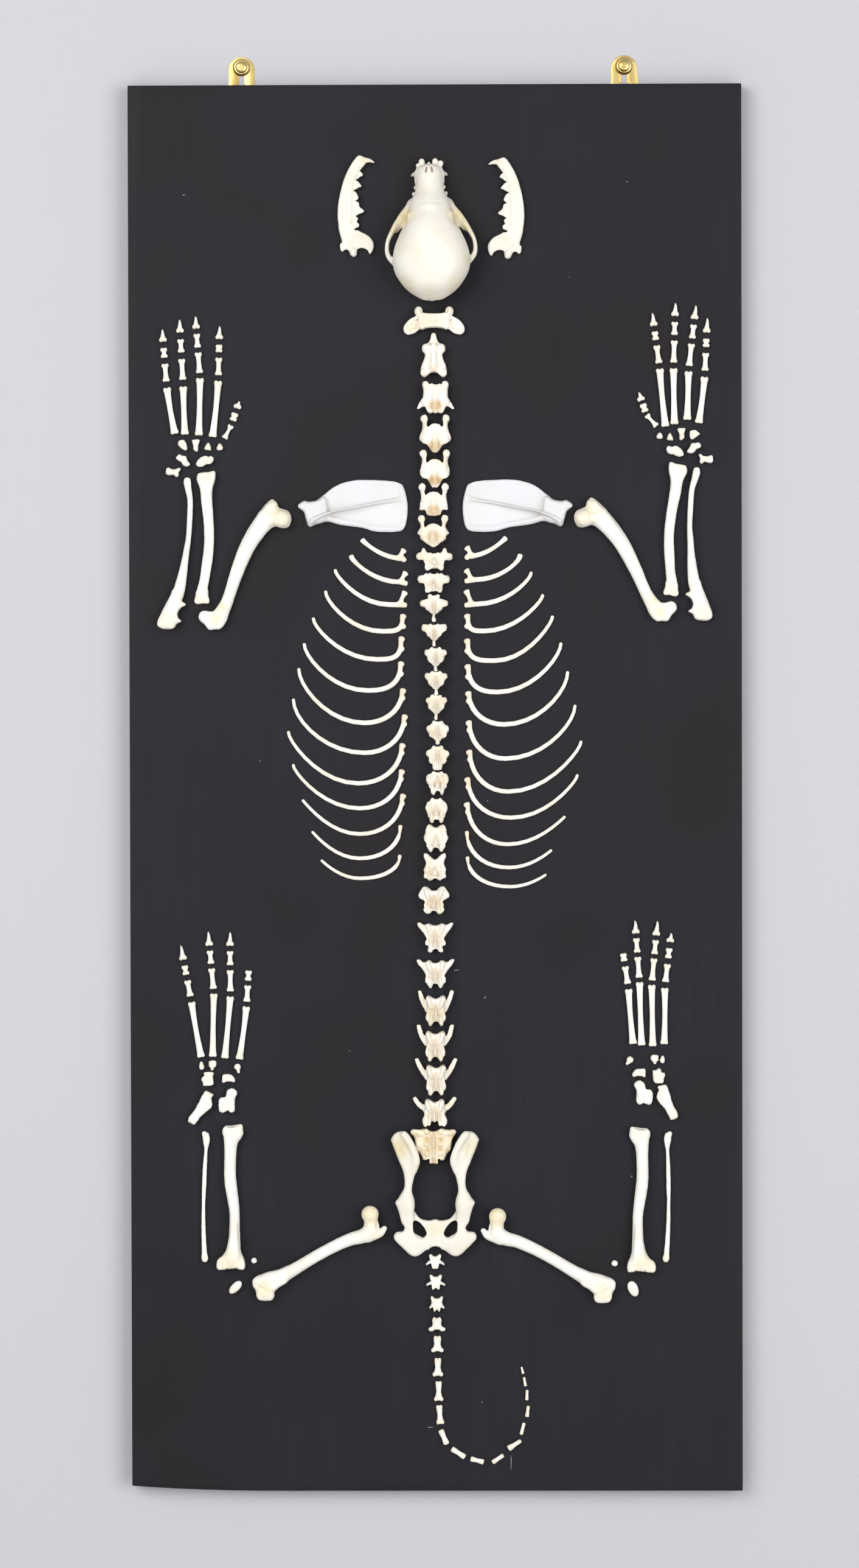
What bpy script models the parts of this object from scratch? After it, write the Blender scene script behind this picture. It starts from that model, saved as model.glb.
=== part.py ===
"""Skeleton of a toy-sized dog, laid out bone by bone on a black wall board, life size.

+Z is up, the board faces -Y and its back lies in the wall plane Y = 0.
Sizes are millimetres, and MM turns them into metres.
Places on the board are x to the right and z up from its middle, with h the height off its face.
Left and right are the viewer's.
"""
import math

import bmesh
import bpy
from mathutils import Matrix, Vector

MODEL = "dog_skeleton_board"

MM = 0.001
GAP = 0.3
# Points closer than WELD metres are one, and faces within FLAT_ANGLE degrees are merged
WELD = 2e-6
FLAT_ANGLE = 8.0

# Board
BOARD_WIDTH = 422.0
BOARD_HEIGHT = 969.0
BOARD_THICK = 16.0
BOARD_ROUNDING = 0.8
# A cutting block larger than any bone
BLOCK = 300.0

# Mirror plates and their screws
PLATE_WIDTH = 18.0
PLATE_THICK = 1.5
PLATE_RISE = 21.5
PLATE_TAIL = 22.0
PLATE_CURVE_STEPS = 12
POCKET_SPARE = 5.0
SLOT_WIDTH = 3.9
SLOT_DROP = 7.4
KEYHOLE_RADIUS = 4.4
KEYHOLE_DROP = 1.0
SCREW_RADIUS = 1.6
SCREW_STEPS = 12
WASHER_RADIUS = 6.0
WASHER_RIM = 0.5
WASHER_HEIGHT = 1.7
HEAD_RADIUS = 4.1
HEAD_ROUNDING = 0.5
HEAD_FLAT = 2.1
HEAD_SHOULDER = 2.6
HEAD_HEIGHT = 3.2
RECESS_LENGTH = 4.6
RECESS_WIDTH = 0.9
RECESS_DEPTH = 0.9
# Where each plate hangs across the board, and how far the cross in its screw is turned
PLATE_PLACES = {"L": (-133.2, -20.0), "R": (130.9, 45.0)}


def remove_everything():
    for obj in list(bpy.data.objects):
        bpy.data.objects.remove(obj, do_unlink=True)
    for collection in list(bpy.data.collections):
        bpy.data.collections.remove(collection)


def new_collection(name):
    collection = bpy.data.collections.new(name)
    bpy.context.scene.collection.children.link(collection)
    return collection


def make_material(name, colour, roughness, metallic=0.0):
    material = bpy.data.materials.new(name)
    material.use_nodes = True
    shader = material.node_tree.nodes["Principled BSDF"]
    shader.inputs["Base Color"].default_value = (*colour, 1.0)
    shader.inputs["Roughness"].default_value = roughness
    shader.inputs["Metallic"].default_value = metallic
    return material


def object_from_bmesh(mesh_bmesh):
    """Turn a closed bmesh, built in millimetres, into an object in metres with its faces out."""
    bmesh.ops.scale(mesh_bmesh, vec=(MM, MM, MM), verts=mesh_bmesh.verts)
    bmesh.ops.recalc_face_normals(mesh_bmesh, faces=mesh_bmesh.faces)
    mesh = bpy.data.meshes.new("piece")
    mesh_bmesh.to_mesh(mesh)
    mesh_bmesh.free()
    piece = bpy.data.objects.new("piece", mesh)
    bpy.context.scene.collection.objects.link(piece)
    return piece


def loft(stations, sides=6):
    """Tube of oval rings along a bone.

    Each station is (x, z, h, half width, half thickness) in the bone's own millimetres.
    The rings stay upright to the board unless the bone itself rises from it.
    """
    shape = bmesh.new()
    centres = [Vector((x, -h, z)) for x, z, h, _, _ in stations]
    rings = []
    for index, station in enumerate(stations):
        before = centres[max(index - 1, 0)]
        after = centres[min(index + 1, len(centres) - 1)]
        along = (after - before).normalized()
        out = Vector((0.0, -1.0, 0.0)) if abs(along.y) < 0.9 else Vector((0.0, 0.0, 1.0))
        across = along.cross(out).normalized()
        lift = across.cross(along)
        ring = []
        for step in range(sides):
            turn = math.tau * step / sides
            offset = across * (math.cos(turn) * station[3]) + lift * (math.sin(turn) * station[4])
            ring.append(shape.verts.new(centres[index] + offset))
        rings.append(ring)
    for lower, upper in zip(rings, rings[1:]):
        for step in range(sides):
            following = (step + 1) % sides
            shape.faces.new((lower[step], lower[following], upper[following], upper[step]))
    shape.faces.new(list(reversed(rings[0])))
    shape.faces.new(rings[-1])
    return object_from_bmesh(shape)


def ball(x, z, h, radii, turn=0.0, detail=2):
    """Rounded lump with half sizes (across, up, out), turned in the plane of the board."""
    shape = bmesh.new()
    bmesh.ops.create_icosphere(shape, subdivisions=detail, radius=1.0)
    across, up, out = radii
    size = Matrix.Diagonal((across, out, up, 1.0))
    place = Matrix.Translation((x, -h, z)) @ Matrix.Rotation(math.radians(turn), 4, "Y")
    bmesh.ops.transform(shape, matrix=place @ size, verts=shape.verts)
    return object_from_bmesh(shape)


def box(x, z, h, size):
    """Box centred at a place, with sizes (across, up, out)."""
    shape = bmesh.new()
    bmesh.ops.create_cube(shape, size=1.0)
    across, up, out = size
    place = Matrix.Translation((x, -h, z)) @ Matrix.Diagonal((across, out, up, 1.0))
    bmesh.ops.transform(shape, matrix=place, verts=shape.verts)
    return object_from_bmesh(shape)


def disc(x, z, h, radius, length, sides=24, squash=1.0, turn=0.0):
    """Cylinder that stands out from the board, narrower across by squash."""
    shape = bmesh.new()
    bmesh.ops.create_cone(
        shape, cap_ends=True, segments=sides, radius1=radius, radius2=radius, depth=length)
    place = Matrix.Translation((x, -h, z)) @ Matrix.Rotation(math.radians(turn), 4, "Y")
    upright = Matrix.Rotation(math.radians(90.0), 4, "X")
    bmesh.ops.transform(
        shape, matrix=place @ Matrix.Diagonal((squash, 1.0, 1.0, 1.0)) @ upright, verts=shape.verts)
    return object_from_bmesh(shape)


def turned(profile, steps):
    """Round piece that stands out from the wall, from a profile of (radius, out) points."""
    mesh = bpy.data.meshes.new("profile")
    points = [(radius * MM, -out * MM, 0.0) for radius, out in profile]
    mesh.from_pydata(points, [(index, index + 1) for index in range(len(points) - 1)], [])
    guide = bpy.data.objects.new("profile", mesh)
    bpy.context.scene.collection.objects.link(guide)
    sweep = guide.modifiers.new("turning", "SCREW")
    sweep.axis = "Y"
    sweep.steps = steps
    sweep.render_steps = steps
    sweep.use_merge_vertices = True
    sweep.merge_threshold = 1e-5
    return mesh_from_guide(guide)


def slab(outline, h, thick):
    """Flat piece with an outline of (x, z) points, centred at height h."""
    curve = bpy.data.curves.new("outline", "CURVE")
    curve.dimensions = "2D"
    curve.fill_mode = "BOTH"
    curve.extrude = thick * MM / 2
    spline = curve.splines.new("POLY")
    spline.points.add(len(outline) - 1)
    for point, (x, z) in zip(spline.points, outline):
        point.co = (x * MM, z * MM, 0.0, 1.0)
    spline.use_cyclic_u = True
    guide = bpy.data.objects.new("outline", curve)
    bpy.context.scene.collection.objects.link(guide)
    guide.rotation_euler.x = math.radians(90.0)
    guide.location.y = -h * MM
    return mesh_from_guide(guide)


def mesh_from_guide(guide):
    """Closed mesh object in place of a curve or a profile, with its loose seams welded."""
    bpy.context.view_layer.update()
    evaluated = guide.evaluated_get(bpy.context.evaluated_depsgraph_get())
    mesh = bpy.data.meshes.new_from_object(evaluated)
    shape = bmesh.new()
    shape.from_mesh(mesh)
    bmesh.ops.transform(shape, matrix=guide.matrix_world, verts=shape.verts)
    bmesh.ops.remove_doubles(shape, verts=shape.verts, dist=1e-6)
    bmesh.ops.recalc_face_normals(shape, faces=shape.faces)
    shape.to_mesh(mesh)
    shape.free()
    bpy.data.objects.remove(guide, do_unlink=True)
    piece = bpy.data.objects.new("piece", mesh)
    bpy.context.scene.collection.objects.link(piece)
    return piece


def keep_largest_surface(shape):
    """Delete every connected surface but the largest, so that the node stays one body."""
    waiting = set(shape.faces)
    surfaces = []
    while waiting:
        front = [waiting.pop()]
        surface = list(front)
        while front:
            face = front.pop()
            for edge in face.edges:
                for neighbour in edge.link_faces:
                    if neighbour in waiting:
                        waiting.remove(neighbour)
                        front.append(neighbour)
                        surface.append(neighbour)
        surfaces.append(surface)
    surfaces.sort(key=lambda surface: sum(face.calc_area() for face in surface))
    scraps = [face for surface in surfaces[:-1] for face in surface]
    bmesh.ops.delete(shape, geom=scraps, context="FACES")


def apply_boolean(base, operation, others):
    """Join or cut base with a collection of closed mesh objects, which are then removed."""
    operands = new_collection("operands")
    for other in others:
        bpy.context.scene.collection.objects.unlink(other)
        operands.objects.link(other)
    modifier = base.modifiers.new("boolean", "BOOLEAN")
    modifier.operation = operation
    modifier.operand_type = "COLLECTION"
    modifier.collection = operands
    modifier.solver = "EXACT"
    bpy.context.view_layer.update()
    evaluated = base.evaluated_get(bpy.context.evaluated_depsgraph_get())
    mesh = bpy.data.meshes.new_from_object(evaluated)
    base.modifiers.clear()
    base.data = mesh
    for other in others:
        bpy.data.objects.remove(other, do_unlink=True)
    bpy.data.collections.remove(operands)


def finish_node(name, base, material, smooth_angle=38.0):
    shape = bmesh.new()
    shape.from_mesh(base.data)
    bmesh.ops.remove_doubles(shape, verts=shape.verts, dist=WELD)
    bmesh.ops.dissolve_degenerate(shape, edges=shape.edges, dist=WELD)
    keep_largest_surface(shape)
    bmesh.ops.dissolve_limit(
        shape, angle_limit=math.radians(FLAT_ANGLE), verts=shape.verts, edges=shape.edges)
    bmesh.ops.triangulate(shape, faces=shape.faces)
    shape.to_mesh(base.data)
    shape.free()
    base.name = name
    base.data.name = name
    base.data.materials.clear()
    base.data.materials.append(material)
    base.data.shade_smooth()
    base.data.set_sharp_from_angle(angle=math.radians(smooth_angle))
    bpy.context.scene.collection.objects.unlink(base)
    bpy.data.collections[MODEL].objects.link(base)
    return base


def fuse(name, pieces, material, place=(0.0, 0.0), turn=0.0):
    """Join pieces into one bone, cut it flat where it sits on the board, and set it there."""
    base = pieces[0]
    if len(pieces) > 1:
        apply_boolean(base, "UNION", pieces[1:])
    below_seat = box(0.0, 0.0, GAP - BLOCK / 2, (BLOCK, BLOCK, BLOCK))
    apply_boolean(base, "DIFFERENCE", [below_seat])
    finish_node(name, base, material)
    base.location = (place[0] * MM, -BOARD_THICK * MM, place[1] * MM)
    base.rotation_euler.y = math.radians(turn)
    return base


def mirrored(stations, side):
    """Stations of the left-hand bone, turned over when the side is "R"."""
    flip = 1.0 if side == "L" else -1.0
    return [(flip * station[0], *station[1:]) for station in stations]


# Long bones. The stations describe the left one, each from its own upper end.
HUMERUS = [
    (-10.5, -0.4, 7.0, 7.0, 6.5), (-17.2, -9.6, 5.8, 5.6, 5.6), (-24.8, -21.4, 5.0, 4.9, 4.9),
    (-30.7, -36.5, 4.4, 4.2, 4.2), (-35.3, -50.0, 4.2, 3.7, 3.9), (-38.2, -58.4, 4.4, 3.9, 4.0),
    (-42.8, -66.8, 5.0, 5.2, 4.6)]
HUMERUS_BALLS = [
    (0.0, 0.0, 7.5, 6.9), (-7.1, 7.0, 6.5, 5.4), (-51.5, -67.4, 5.0, 4.8),
    (-47.3, -71.6, 5.0, 5.0), (-43.7, -69.7, 5.4, 5.4)]
RADIUS = [
    (0.2, 0.0, 4.4, 5.4, 3.6), (0.0, -3.4, 4.8, 6.2, 4.0), (0.2, -9.2, 4.4, 4.2, 3.3),
    (0.4, -17.6, 4.2, 3.9, 3.0), (1.6, -30.2, 4.4, 3.5, 2.8), (2.1, -42.8, 4.4, 3.4, 2.8),
    (1.7, -51.2, 4.2, 3.4, 2.8), (0.7, -59.6, 4.0, 3.5, 2.9), (-1.3, -72.2, 3.8, 3.3, 2.9),
    (-2.7, -78.5, 3.8, 3.6, 3.0), (-3.3, -84.0, 3.8, 4.6, 3.4), (-2.9, -88.2, 3.8, 5.4, 3.8)]
RADIUS_STYLOID = [(1.6, -2.0, 4.6, 2.6, 2.4), (3.4, 2.6, 4.2, 1.1, 1.2)]
ULNA = [
    (0.0, 1.2, 3.2, 1.6, 1.6), (0.2, -1.7, 3.4, 2.6, 2.2), (0.8, -5.9, 3.4, 2.3, 2.1),
    (2.2, -14.3, 3.4, 1.9, 1.9), (1.9, -26.9, 3.6, 1.9, 2.0), (1.1, -39.5, 3.8, 1.8, 2.2),
    (-0.2, -47.9, 4.0, 2.1, 2.6), (-1.5, -56.3, 4.4, 2.4, 3.0), (-3.8, -68.9, 4.8, 3.5, 3.6),
    (-6.5, -79.4, 5.2, 4.2, 4.2), (-9.6, -87.0, 5.6, 5.0, 4.6), (-13.0, -94.5, 5.6, 5.8, 4.8),
    (-14.6, -101.0, 5.0, 5.4, 4.0), (-14.6, -103.4, 4.8, 4.2, 3.0)]
ULNA_CORONOID = [(-6.0, -83.0, 5.6, 3.2, 3.4), (-0.2, -86.2, 5.4, 0.7, 1.2)]
ULNA_BEAK = [(-10.0, -98.0, 5.6, 4.0, 3.6), (-3.4, -97.2, 5.6, 0.7, 1.2)]
FEMUR = [
    (-0.2, -3.0, 8.6, 4.6, 4.4), (0.2, -11.0, 7.4, 5.8, 5.4), (-5.5, -15.1, 6.2, 5.2, 5.2),
    (-14.3, -17.4, 5.2, 4.4, 4.6), (-26.0, -22.8, 4.8, 4.1, 4.2), (-38.4, -29.5, 4.8, 4.0, 4.2),
    (-50.8, -37.0, 4.8, 4.2, 4.4), (-62.6, -43.7, 5.2, 5.0, 4.8), (-70.0, -47.8, 5.8, 6.4, 5.6)]
FEMUR_BALLS = [
    (0.0, 0.0, 9.0, 5.9), (7.2, -11.6, 6.8, 3.5), (-75.8, -47.6, 6.4, 6.0),
    (-73.2, -54.4, 6.6, 5.4), (-69.6, -54.2, 6.2, 4.8)]
TIBIA = [
    (0.2, 0.0, 4.6, 6.4, 4.0), (-0.2, -3.4, 4.8, 6.9, 4.4), (-1.3, -8.4, 4.6, 5.0, 4.0),
    (-1.8, -17.2, 4.4, 4.1, 3.8), (-2.1, -31.5, 4.4, 4.1, 3.8), (-1.3, -40.7, 4.4, 4.1, 3.9),
    (0.0, -49.6, 4.6, 3.8, 3.9), (1.0, -58.8, 4.8, 3.5, 4.0), (1.0, -68.5, 5.2, 3.6, 4.4),
    (0.8, -77.7, 5.8, 4.1, 5.2), (0.0, -84.0, 6.4, 4.9, 6.0), (-0.8, -88.4, 6.8, 7.4, 6.6),
    (-1.5, -92.6, 6.8, 9.6, 6.8), (-1.5, -97.3, 6.6, 9.3, 6.4)]
TIBIA_MALLEOLUS = [(4.2, -2.5, 4.6, 2.8, 2.8), (5.2, 2.4, 4.4, 1.4, 1.6)]
FIBULA = [
    (0.0, 0.6, 2.6, 2.1, 1.7), (0.4, -3.4, 2.6, 2.5, 2.0), (0.3, -8.4, 2.3, 1.6, 1.5),
    (0.0, -12.6, 2.1, 1.2, 1.2), (-0.8, -25.2, 2.1, 1.5, 1.3), (-1.3, -37.8, 2.1, 1.5, 1.3),
    (-1.6, -46.2, 2.1, 1.2, 1.2), (-1.8, -58.8, 2.1, 1.4, 1.3), (-1.6, -71.4, 2.1, 1.6, 1.4),
    (-1.2, -81.9, 2.3, 1.9, 1.6), (-0.9, -85.3, 2.4, 2.4, 1.9), (-0.9, -87.9, 2.4, 1.7, 1.5)]


def make_long_bones(side, bone):
    places = {
        "humerus": {"L": (-105.2, 187.1, 0.0), "R": (101.9, 187.1, -5.7)},
        "radius": {"L": (-157.5, 216.9, 0.0), "R": (167.2, 221.6, 5.4)},
        "ulna": {"L": (-170.7, 213.6, 0.0), "R": (180.2, 219.5, 6.0)},
        "femur": {"L": (-45.2, -292.1, 0.0), "R": (41.4, -293.8, 0.0)},
        "tibia": {"L": (-140.3, -233.3, 0.0), "R": (140.0, -235.4, 0.4)},
        "fibula": {"L": (-159.2, -237.5, 0.0), "R": (159.7, -237.9, 1.7)}}
    flip = 1.0 if side == "L" else -1.0

    def lumps(rows):
        return [ball(flip * x, z, h, (radius, radius, radius), detail=2 if index == 0 else 1)
                for index, (x, z, h, radius) in enumerate(rows)]

    shapes = {
        "humerus": [loft(mirrored(HUMERUS, side), 8), *lumps(HUMERUS_BALLS)],
        "radius": [loft(mirrored(RADIUS, side), 8), loft(mirrored(RADIUS_STYLOID, side))],
        "ulna": [loft(mirrored(ULNA, side), 8), loft(mirrored(ULNA_CORONOID, side)),
                 loft(mirrored(ULNA_BEAK, side))],
        "femur": [loft(mirrored(FEMUR, side), 8), *lumps(FEMUR_BALLS)],
        "tibia": [loft(mirrored(TIBIA, side), 8), loft(mirrored(TIBIA_MALLEOLUS, side))],
        "fibula": [loft(mirrored(FIBULA, side))]}
    for name, pieces in shapes.items():
        x, z, turn = places[name][side]
        fuse(f"{name}_{side}", pieces, bone, (x, z), turn)


def make_patella(side, bone):
    x, z, turn = {"L": (-138.9, -343.0, 44.0), "R": (135.3, -344.2, -24.0)}[side]
    half_width = {"L": 2.9, "R": 3.5}[side]
    lump = ball(0.0, 0.0, 2.2, (half_width, 5.4, 2.8))
    fuse(f"patella_{side}", [lump], bone, (x, z), turn)


# Shoulder blade, outlined from its socket
SCAPULA_OUTLINE = [
    (-5.5, 5.9), (-2.1, 9.5), (1.6, 9.0), (7.5, 10.1), (13.1, 14.9), (19.9, 20.0), (27.7, 22.9),
    (37.4, 24.2), (54.2, 23.7), (61.5, 22.8), (65.9, 20.6), (68.3, 12.6), (69.3, 5.0),
    (68.5, -3.0), (67.0, -8.0), (62.6, -11.0), (48.0, -11.0), (38.0, -8.2), (23.3, -6.2),
    (12.5, -3.1), (5.8, -5.9), (1.9, -7.5), (0.0, -3.0), (-0.6, 2.2)]
SCAPULA_SPINE = [
    (65.5, 11.2, 3.0, 1.0, 1.2), (48.0, 8.2, 4.0, 1.1, 2.4), (31.1, 4.9, 5.2, 1.1, 3.4),
    (14.8, 1.4, 6.6, 1.3, 4.2), (3.0, -3.6, 8.6, 1.7, 2.4)]
SCAPULA_NECK = [
    (20.0, 6.0, 2.6, 5.5, 1.6), (9.0, 3.0, 4.0, 4.6, 3.0), (1.8, 1.2, 5.0, 7.2, 4.6)]


def make_scapula(side, bone):
    x, z = {"L": (-88.3, 188.8), "R": (88.5, 188.8)}[side]
    flip = 1.0 if side == "L" else -1.0
    blade = slab([(flip * px, pz) for px, pz in SCAPULA_OUTLINE], 1.6, 2.4)
    spine = loft(mirrored(SCAPULA_SPINE, side))
    neck = loft(mirrored(SCAPULA_NECK, side), 8)
    fuse(f"scapula_{side}", [blade, spine, neck], bone, (x, z))


# Pelvis: half of it, from the wing of the ilium to the ischium, about its middle line
PELVIS_PLACE = (-1.0, -276.0)
ILIUM = [
    (-26.5, 41.0, 13.0, 4.2, 3.2), (-27.2, 34.0, 13.0, 4.2, 3.8), (-22.8, 26.0, 11.4, 4.6, 4.4),
    (-18.8, 17.0, 9.4, 3.6, 4.6), (-18.2, 9.0, 8.2, 3.4, 5.0), (-18.4, 2.0, 7.8, 4.2, 6.4)]
ACETABULUM = (-19.4, -4.5, 8.2, 8.0)
ISCHIUM = [
    (-19.0, -8.0, 7.6, 5.4, 5.6), (-19.6, -18.0, 7.8, 3.8, 5.4), (-20.4, -27.0, 8.0, 4.6, 5.6),
    (-21.0, -32.0, 8.0, 5.6, 5.4)]
ISCHIAL_SPIKE = [(-22.0, -6.0, 7.0, 3.0, 3.4), (-28.0, -5.4, 7.0, 1.2, 1.8)]
ISCHIAL_TUBER = [(-20.0, -34.0, 7.4, 3.4, 5.0), (-28.2, -31.4, 7.4, 2.6, 4.0)]
TABLE_MIDDLE = 5.2
TABLE_THICK = 8.4
# The two holes through the floor of the pelvis: side offset, place, radius, narrowing and turn
OBTURATOR = (10.4, -28.6, 6.4, 0.76, 16.0)
TABLE_OUTLINE = [
    (-20.0, -21.0), (-6.5, -19.0), (0.0, -18.5), (6.5, -19.0), (20.0, -21.0), (26.0, -34.0),
    (18.0, -45.4), (14.0, -46.4), (6.5, -42.0), (0.0, -39.2), (-6.5, -42.0), (-14.0, -46.4),
    (-18.0, -45.4), (-26.0, -34.0)]


def make_pelvis(bone):
    pieces = []
    for side in ("L", "R"):
        flip = 1.0 if side == "L" else -1.0
        pieces.append(loft(mirrored(ILIUM, side)))
        pieces.append(loft(mirrored(ISCHIUM, side)))
        pieces.append(loft(mirrored(ISCHIAL_SPIKE, side)))
        pieces.append(loft(mirrored(ISCHIAL_TUBER, side)))
        x, z, h, radius = ACETABULUM
        pieces.append(ball(flip * x, z, h, (radius * 0.78, radius, radius)))
    table = slab(TABLE_OUTLINE, TABLE_MIDDLE, TABLE_THICK)
    x, z, radius, squash, turn = OBTURATOR
    holes = [disc(flip * x, z, TABLE_MIDDLE, radius, BLOCK, sides=10, squash=squash, turn=flip * turn)
             for flip in (-1.0, 1.0)]
    base = pieces[0]
    apply_boolean(base, "UNION", [*pieces[1:], table])
    apply_boolean(base, "DIFFERENCE", holes)
    fuse("pelvis", [base], bone, PELVIS_PLACE)


# Sacrum
SACRUM_PLACE = (-2.0, -245.0)
SACRUM_BODY = [
    (0.0, 10.2, 8.0, 12.6, 4.6), (0.0, 6.0, 8.0, 12.0, 4.8), (0.0, 0.0, 7.6, 9.6, 4.6),
    (0.0, -6.0, 6.6, 8.4, 4.0), (0.0, -11.0, 5.6, 5.4, 3.4), (0.0, -12.6, 5.2, 3.4, 2.8)]
SACRUM_CREST = [(0.0, 7.0, 12.0, 1.6, 3.4), (0.0, -8.0, 8.6, 1.4, 3.0)]
SACRUM_FOOT = [(0.0, 3.0, 3.0, 6.0, 3.0), (0.0, -10.0, 2.6, 4.6, 2.6)]


def make_sacrum(bone):
    pieces = [loft(SACRUM_BODY, 10), loft(SACRUM_CREST), loft(SACRUM_FOOT)]
    for flip in (-1.0, 1.0):
        wing = [(flip * 8.0, 8.6, 8.4, 3.0, 4.0), (flip * 15.4, 10.2, 8.8, 1.8, 3.0)]
        tip = [(flip * 7.0, -4.4, 6.6, 2.2, 2.4), (flip * 10.6, -4.4, 6.6, 1.0, 1.4)]
        pieces.append(loft(wing))
        pieces.append(loft(tip))
    fuse("sacrum", pieces, bone, SACRUM_PLACE)


def vertebra(name, bone, middle, top, bottom, body, wings, horns=None, prongs=None, spine=None):
    """One vertebra seen from its back, lying on the underside of its body.

    body is its half widths at the top, waist and base with its height.
    wings are the side processes: root half width along the spine, tip place and tip height.
    horns and prongs are the upper and lower joint processes: side offset and how far they reach.
    spine is the ridge or blade on its back: upper place, lower place and height.
    """
    length = top - bottom
    top_half, waist_half, base_half, height = body
    half_thick = height / 2
    pieces = [loft([
        (0.0, length, half_thick, top_half, half_thick),
        (0.0, length * 0.5, half_thick, waist_half, half_thick),
        (0.0, length * 0.14, half_thick, base_half, half_thick),
        (0.0, 0.0, half_thick, base_half * 0.86, half_thick * 0.92)])]
    for root_z, root_half, tip_x, tip_z, tip_half, tip_h in wings:
        for flip in (-1.0, 1.0):
            pieces.append(loft([
                (flip * waist_half * 0.3, root_z - bottom, half_thick, root_half, half_thick * 0.7),
                (flip * tip_x, tip_z - bottom, tip_h, tip_half, tip_half * 0.8)], 4))
    for places in (horns, prongs):
        if places is None:
            continue
        root_z, side, tip_z, half = places
        for flip in (-1.0, 1.0):
            pieces.append(loft([
                (flip * side * 0.8, root_z - bottom, height * 0.72, half * 1.3, half * 1.2),
                (flip * side, tip_z - bottom, height * 0.78, half, half)], 4))
    if spine is not None:
        root_z, tip_z, tip_h, half = spine
        pieces.append(loft([
            (0.0, root_z - bottom, height * 0.7, half * 1.6, length * 0.24),
            (0.0, tip_z - bottom, tip_h, half, half * 1.5)], 4))
    fuse(name, pieces, bone, (middle, bottom))


def make_atlas(bone):
    """First neck vertebra: a ring seen from above with two broad wings."""
    pieces = [
        loft([(-9.5, 11.5, 6.0, 4.6, 5.6), (0.0, 9.5, 7.0, 5.4, 6.6), (9.5, 11.5, 6.0, 4.6, 5.6)], 8)]
    for flip in (-1.0, 1.0):
        pieces.append(ball(flip * 9.6, 14.6, 5.6, (3.6, 4.4, 5.0), detail=1))
        wing = [
            (flip * 7.0, 12.5), (flip * 15.0, 14.6), (flip * 19.4, 12.2), (flip * 20.8, 8.0),
            (flip * 20.0, 3.6), (flip * 16.5, 0.6), (flip * 11.0, 2.0), (flip * 6.0, 5.0)]
        pieces.append(slab(wing, 5.0, 3.2))
        pieces.append(ball(flip * 9.0, 5.0, 3.6, (4.2, 3.6, 4.6), detail=1))
    fuse("vertebra_C1", pieces, bone, (-0.4, 312.6))


def make_axis(bone):
    """Second neck vertebra, with its peg and its long ridge."""
    pieces = [
        loft([
            (0.0, 31.0, 5.0, 1.6, 1.6), (0.0, 26.0, 5.4, 2.4, 2.4), (0.0, 22.0, 5.6, 5.6, 4.0),
            (0.0, 19.0, 5.8, 7.7, 5.2), (0.0, 14.6, 6.0, 6.1, 5.6), (0.0, 6.6, 6.0, 8.8, 5.6),
            (0.0, 1.4, 5.8, 7.4, 5.0)], 8),
        loft([(0.0, 24.0, 10.6, 1.2, 3.0), (0.0, 12.0, 13.6, 1.4, 4.0), (0.0, 1.0, 12.6, 1.6, 3.0)])]
    for flip in (-1.0, 1.0):
        pieces.append(loft([(flip * 5.0, 8.0, 5.0, 3.0, 3.0), (flip * 9.4, 4.0, 4.6, 1.4, 1.8)], 4))
        pieces.append(loft([(flip * 4.4, 5.0, 8.0, 2.8, 2.4), (flip * 5.4, -0.6, 8.0, 1.6, 1.6)], 4))
    fuse("vertebra_C2", pieces, bone, (-0.7, 284.0))


# Neck vertebrae C3 to C7: middle, top, bottom, wing reach, waist
NECK = {
    3: (0.5, 278.4, 259.4, 12.0, 6.4), 4: (0.2, 253.2, 233.0, 11.1, 6.6),
    5: (0.0, 229.2, 209.2, 10.7, 6.8), 6: (-0.9, 206.2, 188.4, 10.5, 7.0),
    7: (-1.3, 185.2, 168.8, 10.9, 6.8)}
# Chest vertebrae T1 to T13: middle, top, bottom, wing reach, wing place, spine tip, spine height
CHEST = {
    1: (-0.6, 165.6, 150.4, 12.6, 159.6, 154.6, 16.0),
    2: (-1.0, 148.4, 135.8, 10.9, 144.6, 137.0, 20.0),
    3: (-0.9, 133.4, 121.4, 9.7, 128.0, 115.2, 23.0),
    4: (-0.7, 113.2, 103.7, 8.6, 110.9, 98.4, 24.0),
    5: (0.2, 97.2, 86.5, 7.6, 93.9, 81.2, 24.0),
    6: (0.5, 80.8, 70.1, 7.6, 77.8, 65.3, 23.0),
    7: (0.6, 64.6, 54.2, 7.3, 61.2, 48.2, 22.0),
    8: (1.6, 46.6, 35.7, 7.6, 42.0, 30.8, 21.0),
    9: (1.4, 29.2, 18.5, 7.8, 25.0, 13.8, 19.0),
    10: (1.3, 12.2, 0.4, 7.6, 5.6, 1.8, 16.0),
    11: (0.6, -6.5, -19.6, 7.6, -13.0, -17.0, 15.0),
    12: (0.2, -24.6, -42.0, 8.3, -33.0, -39.0, 15.0),
    13: (-0.6, -44.8, -62.6, 8.6, -56.0, -59.0, 15.0)}
# Loin vertebrae L1 to L7: middle, top, bottom, wing reach, wing tip place
LOIN = {
    1: (-1.4, -66.6, -84.6, 11.2, -72.5), 2: (-0.4, -91.6, -111.0, 12.0, -92.6),
    3: (-0.4, -116.4, -134.8, 13.0, -117.0), 4: (-0.2, -138.0, -161.4, 12.4, -139.5),
    5: (-0.6, -165.3, -185.8, 13.2, -161.2), 6: (-0.2, -188.8, -209.2, 14.7, -184.6),
    7: (-1.2, -212.3, -231.0, 15.1, -210.6)}


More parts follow.
